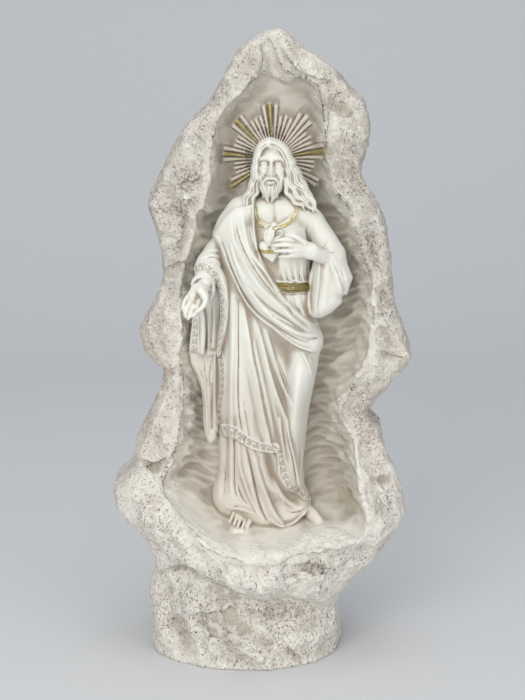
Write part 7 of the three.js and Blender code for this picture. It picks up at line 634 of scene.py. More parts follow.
# ------------------------------------------------------------------ ridges and grooves that lie on a surface
def add_folds(D, tab):
    for name, wl, wr, crest, rows in tab:
        P = cr(rows, 6); w = max(wl, wr); kz, ix = win(P[:, 0].min() - w, P[:, 0].max() + w, P[:, 1].min() - w, P[:, 1].max() + w)
        if kz.stop <= kz.start or ix.stop <= ix.start:
            continue
        d, sg, (a,) = line(X[kz, ix], Z[kz, ix], P); u = np.clip(d / np.where(sg > 0, wl, wr), 0, 1)
        D[kz, ix] += (a * (1 - u) ** 2 * (1 + 2 * crest * u)).astype(f4)

def add_steps(D, tab):
    for name, rise, e, Q in tab:
        P = closed(Q, 3); kz, ix = win(P[:, 0].min() - 3, P[:, 0].max() + 3, P[:, 1].min() - 3, P[:, 1].max() + 3)
        d = outline(X[kz, ix], Z[kz, ix], P)
        D[kz, ix] += (rise * step(-0.5 * e, 0.5 * e, d) + 0.3 * rise * np.clip(1 - np.abs(d - 0.9 * e) / (1.1 * e), 0, 1) ** 2).astype(f4)

# ------------------------------------------------------------------ rock
def ray_grid(x, z):
    """distance from the halo's centre, number of the ray, place across it -1..1, length of the ray, half its width"""
    dx, dz = x - HALO["x"], z - HALO["z"]; r = np.hypot(dx, dz); th = np.degrees(np.arctan2(dx, dz)) + HALO["lean"]
    st = np.where(th < 0, HALO["left"], HALO["right"]); i = np.round(th / st); u = (th / st - i) * 2
    long = HALO["side"] + (HALO["top"] - HALO["side"]) * np.clip(np.cos(np.radians(th)), 0, 1)
    R = np.where(np.mod(np.abs(np.round(i / 3.0)), 2) == 0, 1.0, HALO["short"]) * long + np.where(np.mod(i, 3) == 0, 0.7, 0) + 0.5 * np.sin(i * 2.3)
    return r, i, u, R, np.radians(st) * r * 0.5

def rays():
    r, i, u, R, half = ray_grid(X, Z); a = np.abs(u)
    tip = np.clip((R - r) / np.maximum(half * 0.9, 0.5), 0, 1)
    prof = np.clip(1 - (a / 0.90) ** 3, 0, 1) ** 0.5 * np.sqrt(1 - (1 - tip) ** 2)
    gap = np.clip((a - 0.80) / 0.2, 0, 1) * np.clip((r - 6) / 10, 0, 1) * (r < R + 1.5)
    return np.where((r > 6) & (r < R + 1.5) & (np.abs(i) <= 18), HALO["relief"] * prof * (r < R) - 0.9 * gap, 0.0)

def rock_maps():
    out = np.array([(x, z) for z, x in OUT_RIGHT] + [(x, z) for z, x in OUT_LEFT[::-1]], float)
    inn = np.array([(x, z) for z, x in MOUTH_RIGHT] + [(x, z) for z, x in LIP[::-1]] + [(x, z) for z, x in MOUTH_LEFT[::-1]], float)
    d, n = outline(X, Z, closed(out)), outline(X, Z, closed(inn))
    zr, zl, sec, wl = np.array(OUT_RIGHT)[::-1], np.array(OUT_LEFT)[::-1], np.array(SECTION, float), np.array(WALL, float)
    xr, xl = np.interp(Z, zr[:, 0], zr[:, 1]), np.interp(Z, zl[:, 0], zl[:, 1])
    c, a = (xr + xl) / 2, (xr - xl) / 2 + 5
    q = np.clip(np.abs(X - c) / a, 0, 0.995)
    sk = np.array(SKIRT, float); Zw = Z + (50 - np.interp(X, sk[:, 0], sk[:, 1])) * step(8, 30, Z) * (1 - step(72, 100, Z))
    Ho = -8 + np.interp(Zw, sec[:, 0], sec[:, 1]) * (1 - q ** 2.3) ** 0.5
    Hb = -8 - np.interp(Z, sec[:, 0], sec[:, 2]) * (1 - q ** 5) ** (1 / 3.0)
    Hi = smax(np.interp(Z, wl[:, 0], wl[:, 1]), (101 - Z) / 0.33 - 10, 18)
    e = np.interp(Z, [80, 110, 140, 250, 300, 380], [9, 18, 24, 24, 16, 8])
    s = 1 - (1 - np.clip(n / e, 0, 1)) ** 2.0
    H = np.where(n > 0, Ho * (1 - s) + np.minimum(Hi, Ho) * s, Ho)
    D = np.zeros(X.shape, f4); add_folds(D, ROCK_RELIEF)
    return H + D, Hb, d, n

H, HB, DOUT, MOUTH = rock_maps()
H = H + rays()
F = np.empty((NZ, NX, NH), f4)
gz, gx = np.gradient(H, ZS.astype(float), XS.astype(float)); cc = (1 / np.sqrt(1 + np.minimum(gx * gx + gz * gz, 9))).astype(f4)
H4, HB4, D4, hs = H.astype(f4), HB.astype(f4), DOUT.astype(f4), HS[None, :]
for k in range(NZ):
    f = (hs - H4[k][:, None]) * cc[k][:, None]
    F[k] = smax(smax(f, (HB4[k][:, None] - hs) * f4(0.8), f4(4)), -D4[k][:, None] + 0 * hs, f4(6))

# ------------------------------------------------------------------ figure
FIG = np.full((NZ, NX, NH), 20, f4)

def build_group(g):
    D = np.zeros(X.shape, f4); add_folds(D, g["folds"]); add_steps(D, g["steps"])
    ext = [(r[0] - r[2], r[0] + r[2], r[1] - r[2], r[1] + r[2]) for _, R in g["limbs"] for r in R] + [(q[0], q[0], q[1], q[1]) for p in g["plates"] for q in p[4]]
    ext = np.array(ext); kz, ix = win(ext[:, 0].min() - 9, ext[:, 1].max() + 9, ext[:, 2].min() - 9, ext[:, 3].max() + 9)
    G = np.full((kz.stop - kz.start, ix.stop - ix.start, NH), 20, f4); k0, i0 = kz.start, ix.start
    def put(wz, wx, rho, hc, dp, w, k):
        d = D[wz, wx]; c = (d + hc).astype(f4); hw = hwin(float((hc - dp + d).min()) - k - 2, float((hc + dp + d).max()) + k + 2)
        h = (HS[hw][None, None, :] - c[:, :, None]) / dp.astype(f4)[:, :, None]
        f = (np.sqrt((rho * rho).astype(f4)[:, :, None] + h * h) - 1) * w.astype(f4)[:, :, None]
        s = (slice(wz.start - k0, wz.stop - k0), slice(wx.start - i0, wx.stop - i0), hw)
        G[s] = smin(G[s], f, f4(k))
    def clip(wz, wx):
        return slice(max(wz.start, kz.start), min(wz.stop, kz.stop)), slice(max(wx.start, ix.start), min(wx.stop, ix.stop))
    for _, R in g["limbs"]:
        P = cr(R, 5); m = P[:, 2].max() * 1.5 + g["k"] + 1
        wz, wx = clip(*win(P[:, 0].min() - m, P[:, 0].max() + m, P[:, 1].min() - m, P[:, 1].max() + m))
        d, _, (w, hc, dp) = line(X[wz, wx], Z[wz, wx], P)
        put(wz, wx, d / w, hc, dp, np.minimum(w, dp), g["k"])
    for _, (x0, z0, h0, sx, sz), t, e, Qp in g["plates"]:
        P = np.array(Qp, float); m = e * 0.6 + g["k"] + 2
        wz, wx = clip(*win(P[:, 0].min() - m, P[:, 0].max() + m, P[:, 1].min() - m, P[:, 1].max() + m))
        d = outline(X[wz, wx], Z[wz, wx], P)
        put(wz, wx, np.clip(1 - d / e, 0, 9), h0 + sx * (X[wz, wx] - x0) + sz * (Z[wz, wx] - z0), np.full(d.shape, float(t)), np.full(d.shape, float(min(t, e))), g["k"])
    FIG[kz, ix] = smin(FIG[kz, ix], G, f4(g["kj"]))
    return G, kz, ix

# ------------------------------------------------------------------ gold paint, lace
def gold_distance(P, figd):
    """millimetres inside the gold paint (negative outside)"""
    x, z, h = P[:, 0], P[:, 2], -P[:, 1]
    best = np.full(len(P), -9.0)
    r, i, u, R, half = ray_grid(x, z)
    for n in GOLD_RAYS:
        best = np.maximum(best, np.where(i == n, np.minimum(np.minimum(half * (0.74 - np.abs(u)), R - r - 0.4), np.minimum(r - 8, (figd - 0.5) * 2)), -9))
    for name, width, gap, deep, rows in GOLD_LINES:
        Q = cr(rows, 6); d, _, (hh,) = line(x, z, Q)
        if width == 0:
            best = np.maximum(best, np.minimum(outline(x, z, closed(Q[::6, :2])), deep - np.abs(h - hh))); continue
        best = np.maximum(best, np.minimum(np.where(gap > 0, width - np.abs(d - gap), width - d), deep - np.abs(h - hh)))
    return best

def lace_zone(P):
    """lace bands: depth inside the band 0..1, distance along it in mm, place across it -1..1"""
    x, z, h = P[:, 0], P[:, 2], -P[:, 1]
    best, along, across = np.zeros(len(P)), np.zeros(len(P)), np.zeros(len(P))
    for name, rows in LACE:
        Q = cr(rows, 6); run = np.concatenate([[0], np.cumsum(np.hypot(*np.diff(Q[:, :2], axis=0).T))])
        d, sg, (w, hh, s) = line(x, z, np.column_stack([Q, run]))
        ends = np.minimum(np.hypot(x - Q[0, 0], z - Q[0, 1]), np.hypot(x - Q[-1, 0], z - Q[-1, 1]))
        v = np.clip(1 - d / w, 0, 1) * (np.abs(h - hh) < 6); m = v > best
        best = np.where(m, v, best); along = np.where(m, s, along); across = np.where(m, sg * d / w, across)
    return best, along, across

def scroll(s, c, pitch=4.6):
    """rolled curls along a band: s in mm, c across -1..1"""
    n = np.floor(s / pitch); x = (s / pitch - n - 0.5) * 2.3; y = c * 1.15 * np.where(np.mod(n, 2) == 0, 1, -1)
    r = np.hypot(x, y)
    return step(0.05, 0.55, np.sin(np.arctan2(y, x) + 6.2 * r + 0.8)) * step(1.15, 1.0, r)


for name, g in FIGURE:
    build_group(g)
F = smin(F, FIG, f4(1.6))
F = np.maximum(F, -ZS[:, None, None])          # flat underside at z = 0
for s in (0, -1):
    F[s] = np.maximum(F[s], 1); F[:, s] = np.maximum(F[:, s], 1); F[:, :, s] = np.maximum(F[:, :, s], 1)
print("field %.1fs %dx%dx%d" % (time.time() - T0, NZ, NX, NH))

# ------------------------------------------------------------------ skin of the field
def fill_touching(F):
    for _ in range(3):
        S = F < 0; n = 0
        for ax in ((0, 1), (0, 2), (1, 2)):
            def sh(a, b):
                s = [slice(None)] * 3; s[ax[0]] = slice(a, F.shape[ax[0]] - 1 + a); s[ax[1]] = slice(b, F.shape[ax[1]] - 1 + b)
                return tuple(s)
            A, B, C, D = S[sh(0, 0)], S[sh(0, 1)], S[sh(1, 1)], S[sh(1, 0)]
            m = (A == C) & (B == D) & (A != B); n += int(m.sum())
            for s in (sh(0, 0), sh(0, 1), sh(1, 1), sh(1, 0)):
                v = F[s]; v[m & (v >= 0)] = -0.03
        if n == 0:
            break

def skin(F):
    S = F < 0; c = np.zeros((NZ - 1, NX - 1, NH - 1), np.uint8)
    for b in range(8):
        dz, dx, dh = b >> 2 & 1, b >> 1 & 1, b & 1
        c |= S[dz:NZ - 1 + dz, dx:NX - 1 + dx, dh:NH - 1 + dh].astype(np.uint8) << b
    cells = np.flatnonzero((c != 0) & (c != 255)); k, i, j = np.unravel_index(cells, c.shape)
    v = [F[k + (b >> 2 & 1), i + (b >> 1 & 1), j + (b & 1)] for b in range(8)]
    pz, px_, ph = ZS.astype(float), XS.astype(float), HS.astype(float)
    acc = np.zeros((3, len(cells))); cnt = np.zeros(len(cells))
    for a in range(8):
        for ax in (1, 2, 4):
            b = a | ax
            if b == a or a & ax:
                continue
            m = (v[a] < 0) != (v[b] < 0); t = np.where(m, v[a] / np.where(m, v[a] - v[b], 1), 0)
            za, zb = pz[k + (a >> 2 & 1)], pz[k + (b >> 2 & 1)]; xa, xb = px_[i + (a >> 1 & 1)], px_[i + (b >> 1 & 1)]; ha, hb = ph[j + (a & 1)], ph[j + (b & 1)]
            acc[0] += m * (xa + t * (xb - xa)); acc[1] -= m * (ha + t * (hb - ha)); acc[2] += m * (za + t * (zb - za)); cnt += m
    V = (acc / cnt).T
    vid = np.full(c.shape, -1, np.int32); vid[k, i, j] = np.arange(len(cells)); faces = []
    def quads(mask, turn, around):
        kk, ii, jj = np.nonzero(mask); kk += 1; ii += 1; jj += 1
        q = np.stack([vid[kk + a, ii + b, jj + d] for a, b, d in around], 1); f = S[kk, ii, jj] != turn
        q[f] = q[f][:, ::-1]; faces.append(q)
    I = (slice(1, NZ - 1), slice(1, NX - 1), slice(1, NH - 1))
    s = S[I]
    quads(s != S[1:NZ - 1, 2:NX, 1:NH - 1], False, [(-1, 0, -1), (-1, 0, 0), (0, 0, 0), (0, 0, -1)])
    quads(s != S[1:NZ - 1, 1:NX - 1, 2:NH], False, [(-1, -1, 0), (0, -1, 0), (0, 0, 0), (-1, 0, 0)])
    quads(s != S[2:NZ, 1:NX - 1, 1:NH - 1], True, [(0, -1, -1), (0, -1, 0), (0, 0, 0), (0, 0, -1)])
    return V, np.vstack(faces)

fill_touching(F)
V, FACES = skin(F)
print("skin %.1fs %d verts %d quads" % (time.time() - T0, len(V), len(FACES)))

def normals(V, FACES):
    a, b, c, d = [V[FACES[:, i]] for i in range(4)]
    n = np.cross(c - a, d - b); N = np.zeros(V.shape)
    for i in range(4):
        for e in range(3):
            N[:, e] += np.bincount(FACES[:, i], n[:, e], len(V))
    return N / np.maximum(np.linalg.norm(N, axis=1), 1e-12)[:, None]

def grid_pos(P):
    fx = np.interp(P[:, 0], XS, np.arange(NX)); fz = np.interp(P[:, 2], ZS, np.arange(NZ)); fh = np.interp(-P[:, 1], HS, np.arange(NH))
    return fz, fx, fh

def sample3(A, P):
    fz, fx, fh = grid_pos(P); k = np.clip(fz.astype(int), 0, NZ - 2); i = np.clip(fx.astype(int), 0, NX - 2); j = np.clip(fh.astype(int), 0, NH - 2)
    tz, tx, th = fz - k, fx - i, fh - j; r = 0
    for a in (0, 1):
        for b in (0, 1):
            for c in (0, 1):
                r = r + A[k + a, i + b, j + c] * (tz if a else 1 - tz) * (tx if b else 1 - tx) * (th if c else 1 - th)
    return r

def sample2(A, P):
    fz, fx, _ = grid_pos(P); k = np.clip(fz.astype(int), 0, NZ - 2); i = np.clip(fx.astype(int), 0, NX - 2); tz, tx = fz - k, fx - i
    return (A[k, i] * (1 - tx) + A[k, i + 1] * tx) * (1 - tz) + (A[k + 1, i] * (1 - tx) + A[k + 1, i + 1] * tx) * tz

# ------------------------------------------------------------------ broken rock: shallow hollows that meet in ridges
def hsh(i, j, k, s):
    u = np.uint32
    with np.errstate(over="ignore"):
        h = (i.astype(np.int64).astype(u) * u(374761393)) ^ (j.astype(np.int64).astype(u) * u(668265263)) ^ (k.astype(np.int64).astype(u) * u(1274126177)) ^ np.array(s * 1442695041 & 0xffffffff, u)
        h = (h ^ (h >> u(13))) * u(1103515245); h = (h ^ (h >> u(15))) * u(374761393); h = h ^ (h >> u(16))
    return h.astype(np.float64) / 4294967296.0

def facets(P, size, seed, sc=(1, 1, 1)):
    Xn, Yn, Zn = P[:, 0] / size / sc[0], P[:, 1] / size / sc[1], P[:, 2] / size / sc[2]
    i0, j0, k0 = np.floor(Xn), np.floor(Yn), np.floor(Zn); best = np.full(len(P), 1e9)
    for a in (-1, 0, 1):
        for b in (-1, 0, 1):
            for c in (-1, 0, 1):
                i, j, k = i0 + a, j0 + b, k0 + c
                dx, dy, dz = Xn - i - hsh(i, j, k, seed), Yn - j - hsh(i, j, k, seed + 1), Zn - k - hsh(i, j, k, seed + 2)
                v = (dx * dx + dy * dy + dz * dz) * 0.30 + (hsh(i, j, k, seed + 3) - 0.5) * 0.36 * dx + (hsh(i, j, k, seed + 4) - 0.5) * 0.36 * dy
                v += (hsh(i, j, k, seed + 5) - 0.5) * 0.36 * dz + 0.05 * hsh(i, j, k, seed + 6)
                best = np.minimum(best, v)
    return (best - 0.13) * size

N = normals(V, FACES)
fig = sample3(FIG, V); own = step(0.5, 4, fig); inn = sample2(MOUTH, V)
inside = np.where(V[:, 1] > 30, 0, step(-1, 5, inn))
rock = own > 0.001
disp = np.zeros(len(V)); R = V[rock]
big = LUMP[1] * facets(R, LUMP[0], 11) + KNOB[1] * facets(R, KNOB[0], 37)
big *= 1 - 0.75 * step(16, 3, sample2(DOUT, R)) * step(40, 30, R[:, 1])
small = 0.78 * facets(R, 6.0, 71) + 0.6 * facets(R, 2.9, 91)
Rs = R.copy(); Rs[:, 2] -= 0.35 * np.abs(R[:, 0] - 3) + 1.2 * np.sin(R[:, 0] * 0.23)
scal = 2.3 * facets(Rs, 7.0, 53, (2.4, 2.0, 0.62)) * np.interp(R[:, 2], [80, 96, 130, 250, 285, 305, 390], [0.35, 0.55, 1, 1, 0.7, 0.3, 0.2])
w = inside[rock]; halo = step(HALO["top"] + 4, HALO["top"] - 1, np.hypot(R[:, 0] - HALO["x"], R[:, 2] - HALO["z"])) * w
disp[rock] = (big * (1 - 0.8 * w) + small * (1 - 0.93 * w) * (1 - 0.6 * step(6, 2, np.abs(inn[rock]))) + scal * w * (1 - 0.9 * halo)) * own[rock]
la, ls, ld = lace_zone(V)
disp += (la > 0) * (1 - own) * 0.34 * (step(0, 0.22, la) + 0.5 * step(0.22, 0.05, np.abs(la - 0.26)) + 0.55 * scroll(ls, ld) * step(0.2, 0.5, la))
flat = V[:, 2] < 0.35
N[flat, 2] = 0
V2 = V + N * disp[:, None]
V2[flat, 2] = 0; V2[:, 2] = np.maximum(V2[:, 2], 0)
print("displace %.1fs" % (time.time() - T0))

# ------------------------------------------------------------------ Blender mesh, thinned to its share
def mesh_of(name, V, FACES):
    me = bpy.data.meshes.new(name); me.vertices.add(len(V)); me.vertices.foreach_set("co", (V / 1000.0).astype(f4).ravel())
    n = FACES.shape[1]; me.loops.add(FACES.size); me.loops.foreach_set("vertex_index", FACES.astype(np.int32).ravel())
    me.polygons.add(len(FACES)); me.polygons.foreach_set("loop_start", np.arange(0, FACES.size, n, dtype=np.int32)); me.polygons.foreach_set("loop_total", np.full(len(FACES), n, np.int32))
    me.update(calc_edges=True); me.validate()
    return me

TARGET = 192000
raw = bpy.data.objects.new("raw", mesh_of("raw", V2, FACES)); bpy.context.scene.collection.objects.link(raw)
raw.vertex_groups.new(name="free")
WT = np.where((N[:, 1] > 0.25) & (fig > 2), 1.0, np.where(own > 0.6, 0.60, 0.25)); WT = np.where((own < 0.6) & (V2[:, 2] > 288), 0.1, WT)
WT = np.where((own >= 0.6) & (N[:, 1] < 0.1) & (np.hypot(V[:, 0] - HALO["x"], V[:, 2] - HALO["z"]) < HALO["top"] + 2), 0.2, WT)
for lv in np.unique(WT):
    raw.vertex_groups["free"].add(np.flatnonzero(WT == lv).tolist(), float(lv), "REPLACE")
dec = raw.modifiers.new("thin", "DECIMATE"); dec.decimate_type = "COLLAPSE"; dec.vertex_group = "free"; dec.vertex_group_factor = 0.000002; dec.ratio = min(1.0, TARGET / (2.0 * len(FACES))); dec.use_collapse_triangulate = True
me = bpy.data.meshes.new_from_object(raw.evaluated_get(bpy.context.evaluated_depsgraph_get()))
bpy.data.objects.remove(raw)
me.validate(); me.name = "statuette_skin"
print("thin %.1fs %d triangles" % (time.time() - T0, len(me.polygons)))

nv = len(me.vertices); co = np.empty(nv * 3, f4); me.vertices.foreach_get("co", co); P = co.reshape(-1, 3).astype(float) * 1000
me.polygons.foreach_set("use_smooth", np.ones(len(me.polygons), bool))
nn = np.empty(nv * 3, f4); me.vertices.foreach_get("normal", nn); NN = nn.reshape(-1, 3).astype(float)

def store(name, val):
    a = me.attributes.new(name, "FLOAT", "POINT"); a.data.foreach_set("value", np.asarray(val, f4))

def hollows(P, NN):
    """how far the surface lies below (+) or above (-) its own smoothed copies, near and wide"""
    e = np.empty(len(me.edges) * 2, np.int32); me.edges.foreach_get("vertices", e); a, b = e[0::2], e[1::2]
    w = 1 / np.maximum(np.linalg.norm(P[a] - P[b], axis=1), 0.2); tot = np.bincount(a, w, nv) + np.bincount(b, w, nv); S = P.copy(); out = []
    for it in range(1, 61):
        S = np.stack([S[:, c] * 0.4 + 0.6 * (np.bincount(a, w * S[b, c], nv) + np.bincount(b, w * S[a, c], nv)) / tot for c in range(3)], 1)
        if it in (4, 15, 60):
            out.append(((S - P) * NN).sum(1))
    return out

# cav: how enclosed each point is, read from the field out along the normal; an occlusion estimate that feeds the
# painted shade of the wash
cav = np.zeros(nv); figd = sample3(FIG, P); here = np.where(figd > 1.5, sample3(F, P), 0)
for r, wt in ((0.8, 0.25), (1.8, 0.35), (3.6, 0.25), (8.0, 0.15)):
    cav += wt * np.clip(1 - (sample3(F, P + NN * r) - here) / r, -0.4, 1.4)
near, mid, wide = hollows(P, NN); onfig = step(2.0, 0.5, figd)
def level(c, m, p=93):
    return np.clip(c / np.percentile(np.abs(c[m]), p), -1.2, 1.5)
on, off = onfig > 0.5, onfig <= 0.5
dip = np.where(on, 0.30 * level(near, on) + 0.40 * level(mid, on) + 0.30 * level(wide, on), 0.2 * level(near, off) + 0.35 * level(mid, off) + 0.45 * level(wide, off, 95))
print("dips", [round(float(np.percentile(np.abs(c[m]), 93)), 3) for c in (near, mid, wide) for m in (on, off)])
mo = sample2(MOUTH, P) * (P[:, 1] < 20) - 99 * (P[:, 1] >= 20)
edge_line = step(7, 3, np.abs(mo))          # the broken edge of the niche's mouth takes less wash and painted shade; as an attribute it also gets fewer pits and a faint painted highlight
store("mouth_edge_lit_less_pitted", edge_line)
# wash: darker in hollows and creases, partly an antique wash and partly painted shade; kept off the mouth edge of the
# niche
store("wash_and_shade", np.clip(np.where(on, 0.45 * np.clip(cav, 0, 1) + 0.75 * np.clip(dip, -0.3, 1), dip * (1 - 0.85 * edge_line)), 0, 1))
# ridge: how far a point stands above its smoothed surroundings, used for painted highlights on ridges
store("ridge_highlight", np.clip(-dip, 0, 1))
store("cloth", step(1.4, 0.35, figd))
ragged = 3.2 * np.sin(P[:, 2] * 0.21 + 1.7 * np.sin(P[:, 0] * 0.13)) + 2.4 * np.sin(P[:, 2] * 0.53 + P[:, 0] * 0.31)
store("niche", np.where(P[:, 1] > 30, 0, step(-1.0, 4.5, sample2(MOUTH, P) - 1.5 + 0.6 * ragged)))
store("gold", np.where(P[:, 1] < 25, gold_distance(P, figd), -9))
store("rim", step(9, 2, sample2(DOUT, P) + 0.5 * ragged) * step(100, 150, P[:, 2]))
# crest of the bowl's near lip: a painted highlight along it, and fewer pits and tint patches there
store("crest", step(-2.5, 0.5, mo + 0.4 * ragged) * step(9, 3, mo) * step(122, 104, P[:, 2]))
r_, i_, u_, R_, half_ = ray_grid(P[:, 0], P[:, 2])
onray = step(0.3, -1.2, r_ - R_) * (np.abs(i_) <= 18)
store("ray", onray * step(0.3, 1.5, figd) * (P[:, 1] < 30))
# painted shade in the slots beyond the tips of the halo's rays
store("slot_shade", (1 - onray) * step(6.5, 1.5, r_ - R_) * (np.abs(i_) <= 19) * step(0.3, 1.5, figd) * (P[:, 1] < 30))
# painted shade in the upper niche
store("niche_top_shade", step(265, 300, P[:, 2]))
# painted shade on the niche's right side
store("right_side_shade", step(-5, 35, P[:, 0]))
# low: painted light on the lower rock, which also gets fewer pits and tint patches
store("low_lit_less_pitted", step(165, 88, P[:, 2]))
# painted shade towards the top of the rock
store("rock_top_shade", step(170, 270, P[:, 2]))
keep = np.ones(nv)
for name, px_, pz_, rx, rz, wt in PITTED:
    keep *= 1 - wt * np.exp(-((P[:, 0] - px_) / rx) ** 2 - ((P[:, 2] - pz_) / rz) ** 2)
aft = step(2, 14, P[:, 1]); store("aft", aft); store("pitted", (1 - keep) * (1 - aft))
belt = np.array([q for q in GOLD_LINES if q[1] == 0][0][4]); store("belt", (P[:, 2] > belt[:, 1].min() - 1.5) & (P[:, 2] < belt[:, 1].max() + 1.5) & (P[:, 0] > belt[:, 0].min() - 2) & (P[:, 1] < 0))
store("hem", step(205, 125, P[:, 2] + 0.9 * (P[:, 0] - 5)) * step(1.4, 0.35, figd))
la, ls, ld = lace_zone(P)
store("lace", la); store("lace_along", ls); store("lace_across", ld)
print("attributes %.1fs" % (time.time() - T0), "vertices: figure %d, back %d, halo %d, niche %d" % ((figd < 0.5).sum(), (P[:, 1] > 6).sum(), (np.hypot(P[:, 0] - HALO["x"], P[:, 2] - HALO["z"]) < 36).sum(), ((P[:, 1] < 6) & (figd > 0.5) & (sample2(MOUTH, P) > 3)).sum()))

# ------------------------------------------------------------------ node helpers
class Nd:
    """a socket with arithmetic: every operation adds a Math node"""
    tree = None
    def __init__(self, s):
        self.s = s
    def _m(self, op, *o, clamp=False):
        n = Nd.tree.nodes.new("ShaderNodeMath"); n.operation = op; n.use_clamp = clamp
        for k, v in enumerate((self,) + o):
            if isinstance(v, Nd):
                Nd.tree.links.new(v.s, n.inputs[k])
            else:
                n.inputs[k].default_value = float(v)
        return Nd(n.outputs[0])
    def __add__(self, o): return self._m("ADD", o)
    def __radd__(self, o): return self._m("ADD", o)
    def __sub__(self, o): return self._m("SUBTRACT", o)
    def __rsub__(self, o): return (self * -1.0)._m("ADD", o)
    def __mul__(self, o): return self._m("MULTIPLY", o)
    def __rmul__(self, o): return self._m("MULTIPLY", o)
    def __truediv__(self, o): return self._m("DIVIDE", o)
    def __pow__(self, o): return self._m("POWER", o)
    def abs(self): return self._m("ABSOLUTE")
    def sin(self): return self._m("SINE")
    def frac(self): return self._m("FRACT")
    def min(self, o): return self._m("MINIMUM", o)
    def max(self, o): return self._m("MAXIMUM", o)
    def floor(self): return self._m("FLOOR")
    def sqrt(self): return self._m("SQRT")
    def atan2(self, o): return self._m("ARCTAN2", o)
    def mod(self, o): return self._m("MODULO", o)
    def clamp(self): return self._m("ADD", 0.0, clamp=True)
    def ss(self, a, b):
        n = Nd.tree.nodes.new("ShaderNodeMapRange"); n.interpolation_type = "SMOOTHSTEP"
        lo, hi, fl = (a, b, False) if a < b else (b, a, True)
        Nd.tree.links.new(self.s, n.inputs["Value"]); n.inputs["From Min"].default_value = lo; n.inputs["From Max"].default_value = hi
        n.inputs["To Min"].default_value = 1.0 if fl else 0.0; n.inputs["To Max"].default_value = 0.0 if fl else 1.0
        return Nd(n.outputs["Result"])

